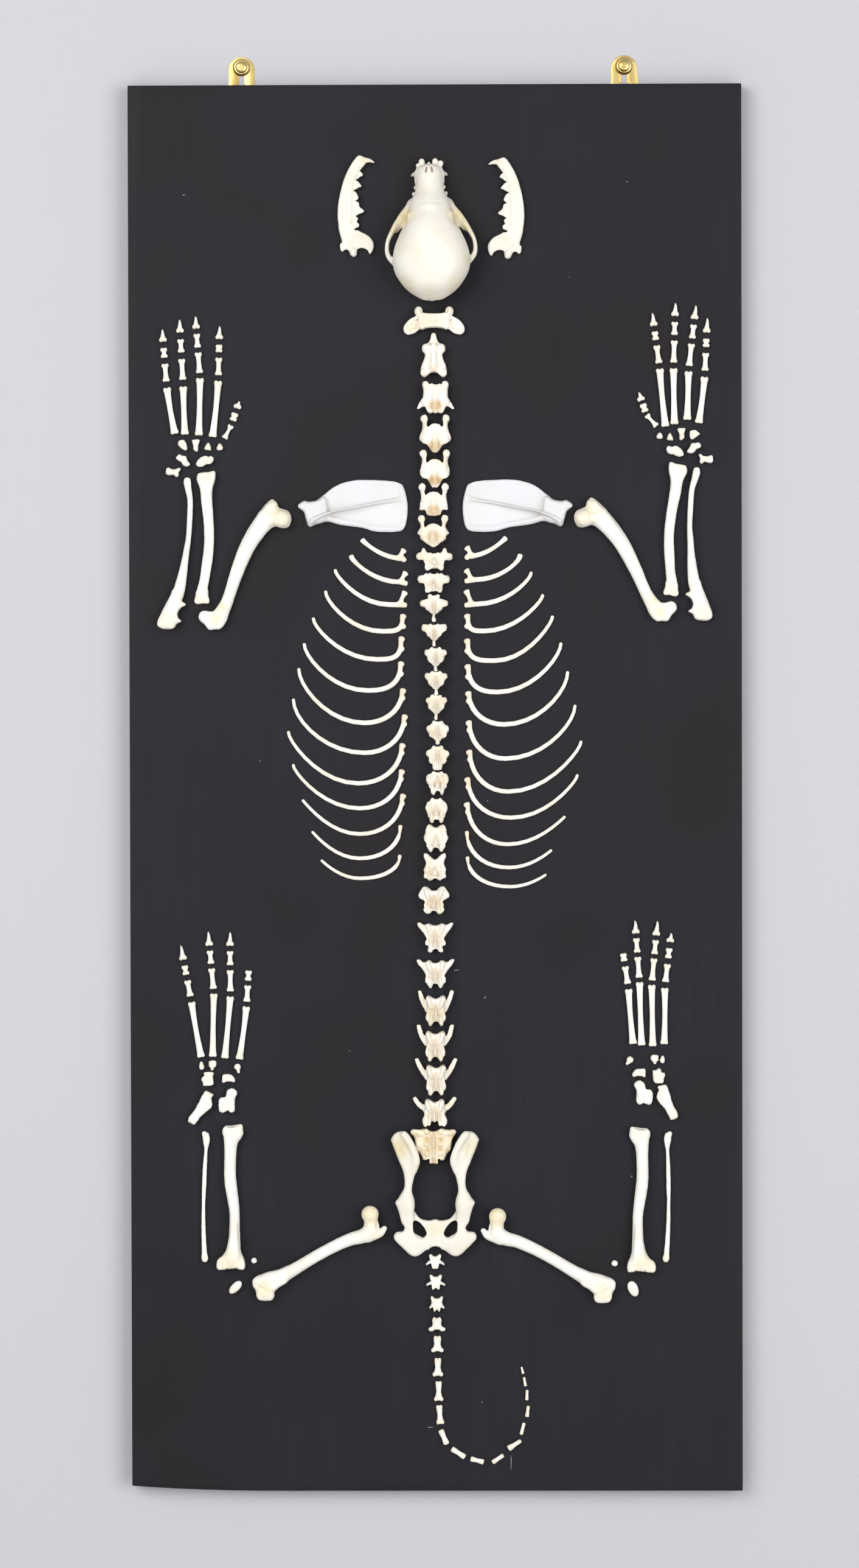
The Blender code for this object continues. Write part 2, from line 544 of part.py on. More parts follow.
def make_spine(bone):
    make_atlas(bone)
    make_axis(bone)
    for number, (middle, top, bottom, reach, waist) in NECK.items():
        vertebra(
            f"vertebra_C{number}", bone, middle, top, bottom, (7.4, waist, 8.6, 11.0),
            [(bottom + 8.0, 3.4, reach, bottom + 2.6, 1.5, 4.4)],
            horns=(top - 4.0, 6.6, top + 1.3, 1.8), prongs=(bottom + 4.0, 6.4, bottom - 0.7, 1.8),
            spine=(bottom + 6.0, bottom + 1.6, 11.0 + number * 0.9, 0.9))
    for number, (middle, top, bottom, reach, wing_z, tip_z, height) in CHEST.items():
        half = 6.4 - 0.03 * number
        prongs = (bottom + 2.4, 4.6, bottom - 3.6, 1.4) if number in (10, 11) else None
        vertebra(
            f"vertebra_T{number}", bone, middle, top, bottom, (half, half * 0.92, half, 9.6),
            [(wing_z, 2.6, reach, wing_z, 2.0, 7.0)], prongs=prongs,
            spine=((top + bottom) / 2, tip_z, height, 1.3))
    for number, (middle, top, bottom, reach, tip_z) in LOIN.items():
        vertebra(
            f"vertebra_L{number}", bone, middle, top, bottom, (6.6, 6.1, 7.2, 10.6),
            [(top - 4.6, 3.2, reach, tip_z, 1.2, 4.6)],
            horns=(top - 4.0, 5.2, top + 0.2, 1.9), prongs=(bottom + 4.0, 4.3, bottom - 1.2, 1.5),
            spine=(bottom + 8.6, bottom + 7.4, 17.0, 1.0))


# Skull, measured from the back of the head: distance, half width, middle height, half height
SKULL_PLACE = (-2.6, 336.3)
SKULL_TILT = -1.4
BRAINCASE = [
    (0.6, 7.0, 15.0, 7.0), (5.0, 15.2, 18.0, 14.0), (10.0, 20.6, 19.6, 17.6), (17.0, 25.2, 20.6, 19.6),
    (25.0, 26.7, 21.0, 20.0), (34.0, 25.4, 21.0, 20.0), (43.0, 21.8, 20.6, 18.8),
    (51.0, 18.0, 19.6, 16.6), (59.0, 16.0, 18.0, 14.2), (67.0, 13.0, 15.0, 11.4),
    (73.0, 10.2, 12.2, 9.6), (82.0, 9.4, 10.8, 8.6), (91.0, 9.2, 9.8, 7.6), (94.6, 8.0, 9.0, 6.4)]
ZYGOMATIC_ARCH = [
    (12.0, 70.0, 12.0, 3.4, 4.4), (19.6, 62.6, 13.0, 3.2, 4.4), (25.0, 55.4, 14.0, 2.6, 4.0),
    (28.6, 47.0, 14.6, 1.7, 3.2), (30.5, 38.6, 15.0, 1.5, 2.8), (29.8, 31.0, 15.6, 1.7, 2.6),
    (24.0, 25.0, 16.0, 2.4, 2.8)]
UPPER_CHEEK_TEETH = [(78.0, 9.4, 2.2), (73.0, 10.6, 2.6), (66.6, 13.6, 3.4), (60.6, 14.6, 3.0)]


def make_skull(bone):
    pieces = [
        loft([(0.0, z, h, half_width, half_height) for z, half_width, h, half_height in BRAINCASE], 14)]
    for flip in (-1.0, 1.0):
        pieces.append(loft([(flip * x, z, h, half_width, half_thick)
                            for x, z, h, half_width, half_thick in ZYGOMATIC_ARCH], 6))
        pieces.append(loft([
            (flip * 8.6, 85.0, 8.0, 2.4, 2.6), (flip * 10.6, 86.4, 5.0, 2.0, 2.0),
            (flip * 12.8, 86.0, 1.6, 1.0, 1.0)], 5))
        for row in range(3):
            x = flip * (1.6 + 2.9 * row)
            pieces.append(ball(x, 95.4 - 0.9 * row, 4.4, (1.5, 1.7, 2.8), detail=1))
        for z, x, half in UPPER_CHEEK_TEETH:
            pieces.append(ball(flip * x, z, 3.4, (half * 0.6, half, 3.2), detail=1))
    fuse("skull", pieces, bone, SKULL_PLACE, SKULL_TILT)


# Lower jaw, outlined from the point of its chin
JAW_OUTLINE = [
    (0.0, 0.0), (-3.0, -3.0), (-7.0, -10.0), (-10.8, -20.0), (-13.2, -31.0), (-14.3, -41.0),
    (-13.4, -49.0), (-11.4, -57.2), (-12.2, -64.4), (-9.6, -65.4), (-7.0, -63.6), (-5.4, -68.4),
    (-1.2, -68.4), (-0.8, -64.6), (2.8, -63.2), (6.2, -64.4), (7.4, -67.0), (9.6, -66.0),
    (10.6, -61.6), (9.2, -56.2), (5.0, -53.4), (0.2, -52.6), (-2.6, -49.4), (-3.6, -41.0),
    (-4.0, -31.0), (-2.2, -20.0), (0.4, -12.0), (2.6, -6.6), (5.4, -1.6)]
JAW_CANINE = [(2.4, -3.2, 4.6, 2.4, 2.2), (6.6, -3.0, 4.2, 1.7, 1.6), (10.4, -4.8, 3.6, 0.6, 0.7)]
JAW_TEETH = [
    (-13.2, 1.2, 2.0), (-20.4, -0.2, 2.1), (-28.2, -1.6, 2.4), (-38.6, -0.6, 3.6),
    (-46.4, -1.6, 2.0), (-49.6, -1.4, 1.6)]


def make_mandible(side, bone):
    x, z, turn = {"L": (-52.1, 435.6, 0.0), "R": (48.3, 433.9, 1.2)}[side]
    flip = 1.0 if side == "L" else -1.0
    pieces = [
        slab([(flip * px, pz) for px, pz in JAW_OUTLINE], 3.0, 5.2),
        loft(mirrored(JAW_CANINE, side), 5)]
    for tooth_z, tooth_x, half in JAW_TEETH:
        pieces.append(ball(flip * tooth_x, tooth_z, 3.2, (half * 1.1, half * 0.8, 1.7), detail=1))
    fuse(f"mandible_{side}", pieces, bone, (x, z), turn)


# Ribs: joint with the spine, lowest point, tip and how tightly the outer part curls
RIBS = {
    "L": [
        ((-21.2, 159.0), (-22.0, 159.0), (-50.0, 171.8), 0.1),
        ((-20.0, 143.0), (-24.0, 142.8), (-57.8, 160.7), 0.3),
        ((-20.5, 128.2), (-31.8, 127.4), (-68.8, 151.0), 0.3),
        ((-22.6, 121.0), (-36.5, 109.0), (-75.5, 136.3), 0.45),
        ((-23.6, 105.6), (-40.3, 89.7), (-84.0, 117.8), 0.4),
        ((-24.0, 88.4), (-46.7, 68.3), (-90.3, 100.2), 0.5),
        ((-22.8, 69.9), (-48.9, 46.0), (-94.1, 83.0), 0.6),
        ((-21.6, 51.9), (-49.0, 25.4), (-97.9, 62.0), 0.7),
        ((-23.3, 32.1), (-53.3, 4.4), (-101.4, 39.7), 0.35),
        ((-23.8, 14.1), (-52.4, -12.8), (-98.1, 17.0), 0.3),
        ((-23.0, -2.7), (-52.5, -30.5), (-91.5, -7.4), 0.0),
        ((-24.4, -24.2), (-52.5, -47.3), (-84.9, -29.2), 0.0),
        ((-24.9, -44.7), (-52.2, -61.1), (-78.6, -48.9), 0.0)],
    "R": [
        ((21.6, 160.4), (22.4, 160.4), (48.5, 172.8), 0.0),
        ((21.2, 144.6), (28.0, 144.4), (58.5, 161.1), 0.5),
        ((21.1, 128.0), (29.1, 127.6), (66.0, 148.9), 0.4),
        ((22.4, 121.0), (33.6, 109.0), (73.9, 133.4), 0.3),
        ((22.3, 104.0), (40.7, 88.6), (80.6, 118.7), 0.3),
        ((22.6, 86.3), (42.8, 67.0), (86.4, 100.2), 0.5),
        ((23.0, 67.8), (47.3, 44.7), (91.0, 80.4), 0.65),
        ((23.3, 47.7), (48.1, 21.2), (96.0, 57.3), 0.6),
        ((23.6, 27.5), (50.1, -1.5), (100.1, 32.6), 0.3),
        ((22.3, 8.6), (51.7, -19.5), (97.5, 9.5), 0.25),
        ((21.9, -8.6), (49.6, -37.8), (88.6, -19.1), 0.0),
        ((21.4, -28.4), (50.4, -53.8), (79.3, -42.2), 0.0),
        ((21.8, -46.0), (51.1, -67.0), (75.4, -59.0), 0.0)]}
# Small upper prong of each of the first three ribs, beside its joint
RIB_PRONGS = {"L": (165.3, 149.7, 136.3), "R": (167.0, 151.4, 137.1)}
RIB_CORNERS = {3: 3.6, 4: 3.4, 5: 2.6}
RIB_HALF_WIDTH = 1.9
# The middle of a rib stands this far off the face, with its underside sunk in the board
RIB_MIDDLE = 0.7
RIB_HALF_THICK = 2.3
RIB_STEPS = 3


def rib_path(joint, lowest, tip, curl, corner):
    """Points down from the joint to the lowest place, then out and up to the tip."""
    points = []
    if abs(joint[1] - lowest[1]) > 2.0:
        for step in range(RIB_STEPS):
            turn = math.radians(90.0) * step / RIB_STEPS
            across = math.sin(turn) ** (2.0 / corner)
            down = math.cos(turn) ** (2.0 / corner)
            x = lowest[0] + (joint[0] - lowest[0]) * down
            z = joint[1] + (lowest[1] - joint[1]) * across
            points.append((x, z))
    else:
        points.append(joint)
    for step in range(RIB_STEPS + 1):
        share = math.sin(math.radians(90.0) * step / RIB_STEPS)
        rise = (1.0 - curl) * share ** 2 + curl * (1.0 - math.sqrt(1.0 - share ** 2))
        x = lowest[0] + (tip[0] - lowest[0]) * share
        z = lowest[1] + (tip[1] - lowest[1]) * rise
        points.append((x, z))
    return points


def rib_pieces():
    pieces = []
    for side, rows in RIBS.items():
        for index, (joint, lowest, tip, curl) in enumerate(rows):
            path = rib_path(joint, lowest, tip, curl, RIB_CORNERS.get(index, 2.1))
            half = RIB_HALF_WIDTH - 0.03 * max(index - 6, 0)
            last = len(path) - 1
            stations = []
            for step, (x, z) in enumerate(path):
                swell = 1.12 if step == 0 else 1.0 - 0.22 * step / last
                if step == last and index < 2:
                    swell = 1.25
                stations.append((x, z, RIB_MIDDLE, half * swell, RIB_HALF_THICK))
            pieces.append(loft(stations))
            if index < 3:
                flip = -1.0 if side == "L" else 1.0
                prong_z = RIB_PRONGS[side][index]
                pieces.append(loft([
                    (joint[0] + flip * 0.4, prong_z, RIB_MIDDLE, 1.9, RIB_HALF_THICK),
                    (joint[0] + flip * 5.0, joint[1] + 1.2, RIB_MIDDLE, 1.7, RIB_HALF_THICK)]))
    return pieces


# Toes: foot of the long bone, its knuckle, the claw's tip and the lengths of the three toe bones.
# A claw length of 0 leaves the claw out, where it is lost on the real one.
TOES = [
    ((-178.9, 244.9), (-184.4, 277.0), (-187.5, 316.9), (12.6, 7.0, 8.8), 2.2),
    ((-172.0, 244.4), (-173.1, 277.8), (-175.6, 323.6), (14.7, 9.3, 9.2), 2.2),
    ((-162.4, 243.8), (-161.5, 283.5), (-164.6, 325.8), (14.5, 9.7, 8.8), 2.2),
    ((-153.0, 242.7), (-148.9, 281.6), (-148.0, 319.0), (12.4, 5.3, 9.2), 2.2),
    ((158.5, 248.9), (154.6, 289.0), (149.5, 327.0), (12.6, 6.1, 9.2), 2.2),
    ((164.7, 250.5), (164.1, 289.2), (165.4, 333.9), (15.5, 9.2, 9.3), 2.2),
    ((173.4, 253.5), (174.4, 287.1), (179.5, 332.2), (15.7, 9.8, 9.8), 2.2),
    ((181.3, 251.2), (185.5, 283.3), (187.3, 323.5), (12.6, 5.9, 10.3), 2.2),
    ((-162.1, -184.3), (-168.8, -145.9), (-176.1, -107.1), (11.5, 6.7, 10.3), 2.1),
    ((-154.2, -184.0), (-153.3, -140.1), (-157.2, -97.6), (14.5, 9.4, 10.0), 2.1),
    ((-145.9, -185.1), (-141.9, -142.1), (-142.1, -98.0), (15.0, 10.0, 9.7), 2.1),
    ((-135.9, -185.8), (-130.8, -149.1), (-129.2, -124.3), (11.6, 7.2, 0.0), 2.1),
    ((135.6, -175.6), (132.5, -137.5), (128.8, -113.0), (12.5, 5.6, 0.0), 2.1),
    ((141.5, -176.6), (140.1, -132.7), (137.0, -90.5), (14.7, 10.2, 9.2), 2.1),
    ((149.1, -177.2), (148.5, -134.6), (152.5, -90.8), (15.6, 10.0, 10.3), 2.1),
    ((157.0, -175.8), (157.5, -136.7), (161.9, -99.2), (12.8, 7.2, 6.5), 2.1)]
DEWCLAWS = [
    ((-144.9, 241.7), (-140.0, 251.0), (-134.6, 267.2), (5.8, 5.2)),
    ((152.5, 249.3), (145.4, 257.3), (140.2, 272.5), (6.0, 6.2))]
# Wrist and ankle bones: place, half width, half length, turn
ROOT_BONES = [
    (-173.5, 237.1, 2.9, 3.8, -30.0), (-164.4, 237.3, 2.2, 4.2, 0.0), (-156.5, 236.3, 2.3, 2.8, 0.0),
    (-148.1, 235.8, 2.4, 2.3, 0.0), (-173.3, 226.8, 5.7, 2.9, 40.0), (-158.1, 226.2, 6.3, 3.6, -18.0),
    (-180.2, 219.0, 5.0, 3.1, 0.0),
    (154.8, 242.7, 2.3, 2.2, 0.0), (161.7, 242.4, 2.6, 2.3, 0.0), (169.6, 244.2, 2.3, 4.1, 0.0),
    (178.5, 243.6, 3.7, 3.1, 0.0), (165.1, 232.0, 6.3, 3.5, 20.0), (177.9, 234.4, 5.6, 2.9, -34.0),
    (186.0, 226.8, 5.0, 3.2, 0.0),
    (-161.6, -190.0, 1.8, 2.9, 0.0), (-154.3, -189.9, 2.6, 3.5, 0.0), (-137.0, -191.7, 2.3, 3.4, 0.0),
    (-157.6, -199.3, 4.3, 4.7, 0.0), (-143.2, -198.6, 4.6, 3.1, 0.0),
    (133.1, -187.1, 2.0, 3.3, 40.0), (150.5, -186.3, 2.7, 3.1, 0.0), (155.5, -186.3, 2.0, 3.0, 0.0),
    (139.3, -195.3, 4.7, 2.7, 0.0), (153.2, -197.6, 4.3, 5.1, 0.0),
    (-126.2, -324.7, 2.0, 2.0, 0.0), (122.6, -326.8, 2.2, 2.2, 0.0)]
HEEL_BONES = [((-157.0, -209.0), (-168.2, -226.4)), ((155.6, -204.6), (163.9, -225.0))]
ANKLE_BONES = [((-144.5, -216.9), (-141.1, -209.0)), ((143.3, -211.9), (139.9, -204.8))]


def toe_bone(start, end, half, waist=0.72):
    """Short bone between two places, thinner in its middle."""
    stations = []
    for share, swell in ((0.0, 1.0), (0.45, waist), (1.0, 1.02)):
        x = start[0] + (end[0] - start[0]) * share
        z = start[1] + (end[1] - start[1]) * share
        stations.append((x, z, 0.4 + 0.25 * half * swell, half * swell, half * 1.05))
    return loft(stations)


def claw(start, end):
    """Hooked toe bone with its claw."""
    middle = (start[0] + (end[0] - start[0]) * 0.45, start[1] + (end[1] - start[1]) * 0.45)
    return loft([
        (*start, 0.6, 2.7, 2.2), (*middle, 0.6, 1.5, 1.9), (*end, 0.5, 0.6, 1.4)], 5)


def along_line(start, end, distance):
    whole = math.dist(start, end)
    share = distance / whole
    return (start[0] + (end[0] - start[0]) * share, start[1] + (end[1] - start[1]) * share)


def toe_pieces(knuckle, tip, lengths):
    """Bones of one toe between its knuckle and its tip, with even gaps before each."""
    bones = [length for length in lengths if length > 0.0]
    gap = (math.dist(knuckle, tip) - sum(bones)) / len(bones)
    pieces = []
    reached = 0.0
    for index, length in enumerate(bones):
        start = along_line(knuckle, tip, reached + gap)
        end = along_line(knuckle, tip, reached + gap + length)
        reached += gap + length
        is_claw = index == len(lengths) - 1
        pieces.append(claw(start, end) if is_claw else toe_bone(start, end, 2.4 - 0.1 * index))
    return pieces


def paw_pieces():
    pieces = []
    for foot, knuckle, tip, lengths, half in TOES:
        pieces.append(loft([
            (*foot, 1.1, half * 1.3, half * 1.1),
            (*along_line(foot, knuckle, 9.0), 1.1, half, half),
            (*along_line(foot, knuckle, math.dist(foot, knuckle) - 3.0), 1.1, half * 1.25, half * 1.1),
            (*knuckle, 1.1, half * 1.0, half * 0.9)]))
        pieces.extend(toe_pieces(knuckle, tip, lengths))
    for foot, knuckle, tip, lengths in DEWCLAWS:
        pieces.append(toe_bone(foot, knuckle, 1.7, waist=0.6))
        pieces.extend(toe_pieces(knuckle, tip, (lengths[0], 0.0, lengths[1])))
    for x, z, half_width, half_length, turn in ROOT_BONES:
        pieces.append(ball(x, z, 0.9, (half_width, half_length, 2.8), turn=turn, detail=1))
    for head, heel in HEEL_BONES:
        pieces.append(loft([
            (*along_line(head, heel, -3.6), 1.6, 3.4, 3.6), (*along_line(head, heel, 5.0), 1.8, 4.2, 4.4),
            (*along_line(head, heel, 11.0), 1.6, 3.0, 3.6), (*along_line(head, heel, 21.0), 1.4, 2.7, 3.4),
            (*along_line(head, heel, 23.4), 1.4, 2.0, 2.6)]))
    for body, head in ANKLE_BONES:
        pieces.append(loft([
            (*along_line(body, head, -5.0), 1.6, 5.2, 3.8), (*along_line(body, head, 4.0), 1.6, 5.4, 4.2),
            (*along_line(body, head, 6.0), 1.4, 3.6, 3.4), (*along_line(body, head, 11.0), 1.2, 3.4, 3.0)]))
    return pieces


# Tail bones: upper end, lower end, half widths there and at the waist
TAIL = [
    ((-1.1, -320.4), (-1.1, -330.3), 4.6, 3.4, 3.6), ((-0.7, -334.6), (-0.7, -344.2), 4.2, 3.6, 3.8),
    ((0.0, -349.4), (0.0, -359.2), 4.0, 3.6, 4.2), ((0.0, -364.0), (0.0, -373.6), 3.6, 3.0, 5.4),
    ((0.3, -376.9), (0.3, -388.1), 2.9, 2.3, 4.0), ((0.6, -392.2), (0.6, -404.9), 2.6, 1.9, 3.4),
    ((1.1, -408.3), (1.1, -422.0), 2.4, 1.7, 3.0), ((1.4, -424.8), (2.3, -438.0), 2.4, 1.7, 2.5),
    ((2.3, -441.6), (6.8, -452.1), 2.3, 1.7, 2.3), ((9.8, -454.7), (19.4, -461.0), 2.2, 1.6, 2.2),
    ((22.8, -461.8), (32.4, -464.3), 2.1, 1.5, 2.1), ((37.9, -464.7), (45.9, -459.3), 1.8, 1.4, 1.6),
    ((48.8, -455.1), (58.0, -449.2), 2.5, 1.5, 1.5), ((57.9, -445.4), (60.1, -437.0), 1.4, 1.1, 1.3),
    ((62.0, -433.2), (63.0, -425.3), 1.6, 1.1, 1.3), ((61.9, -421.7), (62.2, -414.3), 1.3, 1.0, 1.1),
    ((61.1, -412.0), (60.0, -405.5), 1.2, 0.9, 1.0), ((59.5, -403.4), (58.3, -398.4), 1.1, 0.8, 0.8)]
TAIL_WINGS = [(6.2, -327.8), (6.5, -341.6), (5.3, -356.6)]


def tail_pieces():
    pieces = []
    for start, end, first, waist, last in TAIL:
        middle = along_line(start, end, math.dist(start, end) * 0.45)
        pieces.append(loft([
            (*start, 1.0, first, first * 0.9), (*middle, 0.9, waist, waist), (*end, 1.0, last, last * 0.9)]))
    for (reach, z), (start, _, _, _, _) in zip(TAIL_WINGS, TAIL):
        pieces.append(loft([
            (start[0] - reach, z - 0.8, 0.6, 1.0, 1.6), (start[0] - 2.0, z + 1.0, 0.8, 2.2, 2.4),
            (start[0] + 2.0, z + 1.0, 0.8, 2.2, 2.4), (start[0] + reach, z - 0.8, 0.6, 1.0, 1.6)]))
    return pieces


def make_board(black):
    """Board with the ribs, the small bones of the paws and the tail fast on its face."""
    board = box(0.0, 0.0, -BOARD_THICK / 2, (BOARD_WIDTH, BOARD_HEIGHT, BOARD_THICK))
    rounding = board.modifiers.new("rounding", "BEVEL")
    rounding.width = BOARD_ROUNDING * MM
    rounding.segments = 2
    pieces = [*rib_pieces(), *paw_pieces(), *tail_pieces()]
    apply_boolean(board, "UNION", pieces)
    depth = PLATE_THICK + GAP
    tall = PLATE_TAIL + GAP
    pockets = [
        box(x, (BOARD_HEIGHT - tall + POCKET_SPARE) / 2, -BOARD_THICK + (depth - POCKET_SPARE) / 2,
            (PLATE_WIDTH + 2 * GAP, tall + POCKET_SPARE, depth + POCKET_SPARE))
        for x, _ in PLATE_PLACES.values()]
    apply_boolean(board, "DIFFERENCE", pockets)
    finish_node("board", board, black)
    board.location.y = -BOARD_THICK * MM


def make_plate(side, brass):
    """Brass mirror plate with a round top and a keyhole that opens downwards."""
    x, _ = PLATE_PLACES[side]
    half = PLATE_WIDTH / 2
    top_middle = BOARD_HEIGHT / 2 + PLATE_RISE - half
    outline = []
    for step in range(PLATE_CURVE_STEPS + 1):
        turn = math.pi * (1.0 - step / PLATE_CURVE_STEPS)
        outline.append((x + half * math.cos(turn), top_middle + half * math.sin(turn)))
    outline.append((x + half, BOARD_HEIGHT / 2 - PLATE_TAIL))
    outline.append((x - half, BOARD_HEIGHT / 2 - PLATE_TAIL))
    middle_h = -BOARD_THICK + PLATE_THICK / 2
    plate = slab(outline, middle_h, PLATE_THICK)
    hole_z = BOARD_HEIGHT / 2 - KEYHOLE_DROP
    screw_z = BOARD_HEIGHT / 2 + PLATE_RISE - SLOT_DROP
    through = 4 * PLATE_THICK
    keyhole = disc(x, hole_z, middle_h, KEYHOLE_RADIUS, through, sides=20)
    slot_end = disc(x, screw_z, middle_h, SLOT_WIDTH / 2, through, sides=16)
    slot = box(x, (hole_z + screw_z) / 2, middle_h, (SLOT_WIDTH, screw_z - hole_z, through))
    apply_boolean(keyhole, "UNION", [slot_end, slot])
    apply_boolean(plate, "DIFFERENCE", [keyhole])
    finish_node(f"hanger_plate_{side}", plate, brass)
    plate.location.y = -BOARD_THICK * MM
    make_screw(side, x, screw_z, brass)


def make_screw(side, x, z, brass):
    """Wall screw with its cup washer, cut off at the wall."""
    back = PLATE_THICK + GAP
    screw = turned([
        (0.0, 0.0), (SCREW_RADIUS, 0.0), (SCREW_RADIUS, back), (WASHER_RADIUS, back),
        (WASHER_RADIUS, back + WASHER_RIM), (HEAD_RADIUS + HEAD_ROUNDING, back + WASHER_HEIGHT),
        (HEAD_RADIUS, back + WASHER_HEIGHT), (HEAD_RADIUS - HEAD_ROUNDING, back + HEAD_SHOULDER),
        (HEAD_FLAT, back + HEAD_HEIGHT), (0.0, back + HEAD_HEIGHT)], SCREW_STEPS)
    recess = box(0.0, 0.0, back + HEAD_HEIGHT, (RECESS_LENGTH, RECESS_WIDTH, 2 * RECESS_DEPTH))
    crossing = box(0.0, 0.0, back + HEAD_HEIGHT, (RECESS_WIDTH, RECESS_LENGTH, 2 * RECESS_DEPTH))
    apply_boolean(recess, "UNION", [crossing])
    recess.data.transform(Matrix.Rotation(math.radians(PLATE_PLACES[side][1]), 4, "Y"))
    apply_boolean(screw, "DIFFERENCE", [recess])
    finish_node(f"screw_{side}", screw, brass)
    screw.location = (x * MM, 0.0, z * MM)


def main():
    remove_everything()
    new_collection(MODEL)
    bone = make_material("bone", (0.83, 0.79, 0.70), 0.55)
    black = make_material("black_board", (0.022, 0.021, 0.022), 0.6)
    brass = make_material("brass", (0.72, 0.56, 0.26), 0.3, metallic=1.0)
    make_board(black)
    make_skull(bone)
    make_spine(bone)
    make_sacrum(bone)
    make_pelvis(bone)
    for side in ("L", "R"):
        make_plate(side, brass)
        make_mandible(side, bone)
        make_scapula(side, bone)
        make_long_bones(side, bone)
        make_patella(side, bone)


main()
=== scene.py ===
"""Fine shapes and finishes of a toy-sized dog's skeleton, laid out bone by bone on a wall board."""
import math

import bmesh
import bpy
import numpy as np
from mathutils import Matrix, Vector, noise


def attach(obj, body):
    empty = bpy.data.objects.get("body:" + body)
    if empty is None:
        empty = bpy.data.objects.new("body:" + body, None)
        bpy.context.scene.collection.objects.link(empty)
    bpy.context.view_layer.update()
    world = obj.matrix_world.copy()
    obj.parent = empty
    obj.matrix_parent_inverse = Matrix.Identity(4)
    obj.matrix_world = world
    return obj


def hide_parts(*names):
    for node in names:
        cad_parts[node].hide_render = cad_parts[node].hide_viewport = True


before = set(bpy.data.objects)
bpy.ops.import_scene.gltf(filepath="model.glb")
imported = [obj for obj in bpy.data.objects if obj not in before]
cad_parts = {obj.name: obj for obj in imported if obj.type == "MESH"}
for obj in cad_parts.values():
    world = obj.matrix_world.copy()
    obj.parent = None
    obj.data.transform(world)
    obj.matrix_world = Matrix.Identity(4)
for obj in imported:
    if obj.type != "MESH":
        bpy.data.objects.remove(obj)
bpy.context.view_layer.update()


# The board is a tall panel of wood fibre, sawn square, with its arrises rubbed down by hand.
# Its lower left corner is worn round. Two pockets are routed in its back for the hanging plates.
MM = 0.001
BOARD_WIDTH = 422.0
BOARD_HEIGHT = 969.0
BOARD_THICK = 16.0
BOARD_ARRIS = 0.7
CORNER_WEAR = 3.6
CORNER_WEAR_START = 105.0
CORNER_WEAR_TOP = -465.0
CORNER_WEAR_FADE = 15.0
UPRIGHT_CUTS = range(-200, 201, 20)
LEVEL_CUTS = (-479.0, -470.0, 470.0, 479.0)
RUBBED_THROUGH = 0.35
POCKET_WIDTH = 24.0
POCKET_TALL = 22.4
POCKET_DEEP = 1.8
POCKET_SPARE = 5.0
PLATE_PLACES = {"L": -133.2, "R": 130.9}


def linear(colour):
    """Linear colour of an sRGB hex value."""
    parts = [int(colour[start:start + 2], 16) / 255 for start in (1, 3, 5)]
    return [part / 12.92 if part <= 0.04045 else ((part + 0.055) / 1.055) ** 2.4 for part in parts] + [1.0]


def add_node(material, kind, settings=(), links=()):
    """One shader node with its settings, and links from other nodes' outputs to its inputs."""
    node = material.node_tree.nodes.new(kind)
    for key, value in dict(settings).items():
        if isinstance(key, int) or key in node.inputs:
            node.inputs[key].default_value = value
        else:
            setattr(node, key, value)
    for key, output in dict(links).items():
        material.node_tree.links.new(output, node.inputs[key])
    return node


def blend_colour(material, share, first, second):
    """Colour between two colours, each a hex value or another node's output."""
    settings = {"data_type": "RGBA"}
    links = {}
    for key, colour in ((6, first), (7, second)):
        if isinstance(colour, str):
            settings[key] = linear(colour)
        else:
            links[key] = colour
    if isinstance(share, float):
        settings[0] = share
    else:
        links[0] = share
    return add_node(material, "ShaderNodeMix", settings, links).outputs[2]


def grade(material, source, low, high, new_low=0.0, new_high=1.0):
    """Source value spread from one range to another and held inside it."""
    settings = {"From Min": low, "From Max": high, "To Min": new_low, "To Max": new_high}
    return add_node(material, "ShaderNodeMapRange", settings, {"Value": source}).outputs["Result"]


def noise_pattern(material, spot, size, detail=2.0):
    """Uneven pattern with lumps of about the given size in millimetres."""
    return add_node(material, "ShaderNodeTexNoise", {"Scale": 1 / (size * MM), "Detail": detail},
                    {"Vector": spot}).outputs["Fac"]


def point_value(material, name):
    return add_node(material, "ShaderNodeAttribute", {"attribute_name": name}).outputs["Fac"]


def object_place(material):
    return add_node(material, "ShaderNodeTexCoord").outputs["Object"]


def drawn_out(material, spot, share):
    """The same place with its height squeezed, so that a pattern on it runs up and down."""
    return add_node(material, "ShaderNodeMapping", {"Scale": (1.0, 1.0, share)}, {"Vector": spot}).outputs["Vector"]


def new_material(name):
    material = bpy.data.materials.new(name)
    material.use_nodes = True
    return material, material.node_tree.nodes["Principled BSDF"]


def join_links(material, shader, links):
    for key, output in links.items():
        material.node_tree.links.new(output, shader.inputs[key])


# Black emulsion rolled on fibre board: flat, very dark and a little blue, with the roller's faint
# upright streaks and a brown cast where it is rubbed thin along the edges.
STREAK_MM = 5.0
CLOUD_MM = 120.0
ORANGE_PEEL_MM = 2.2

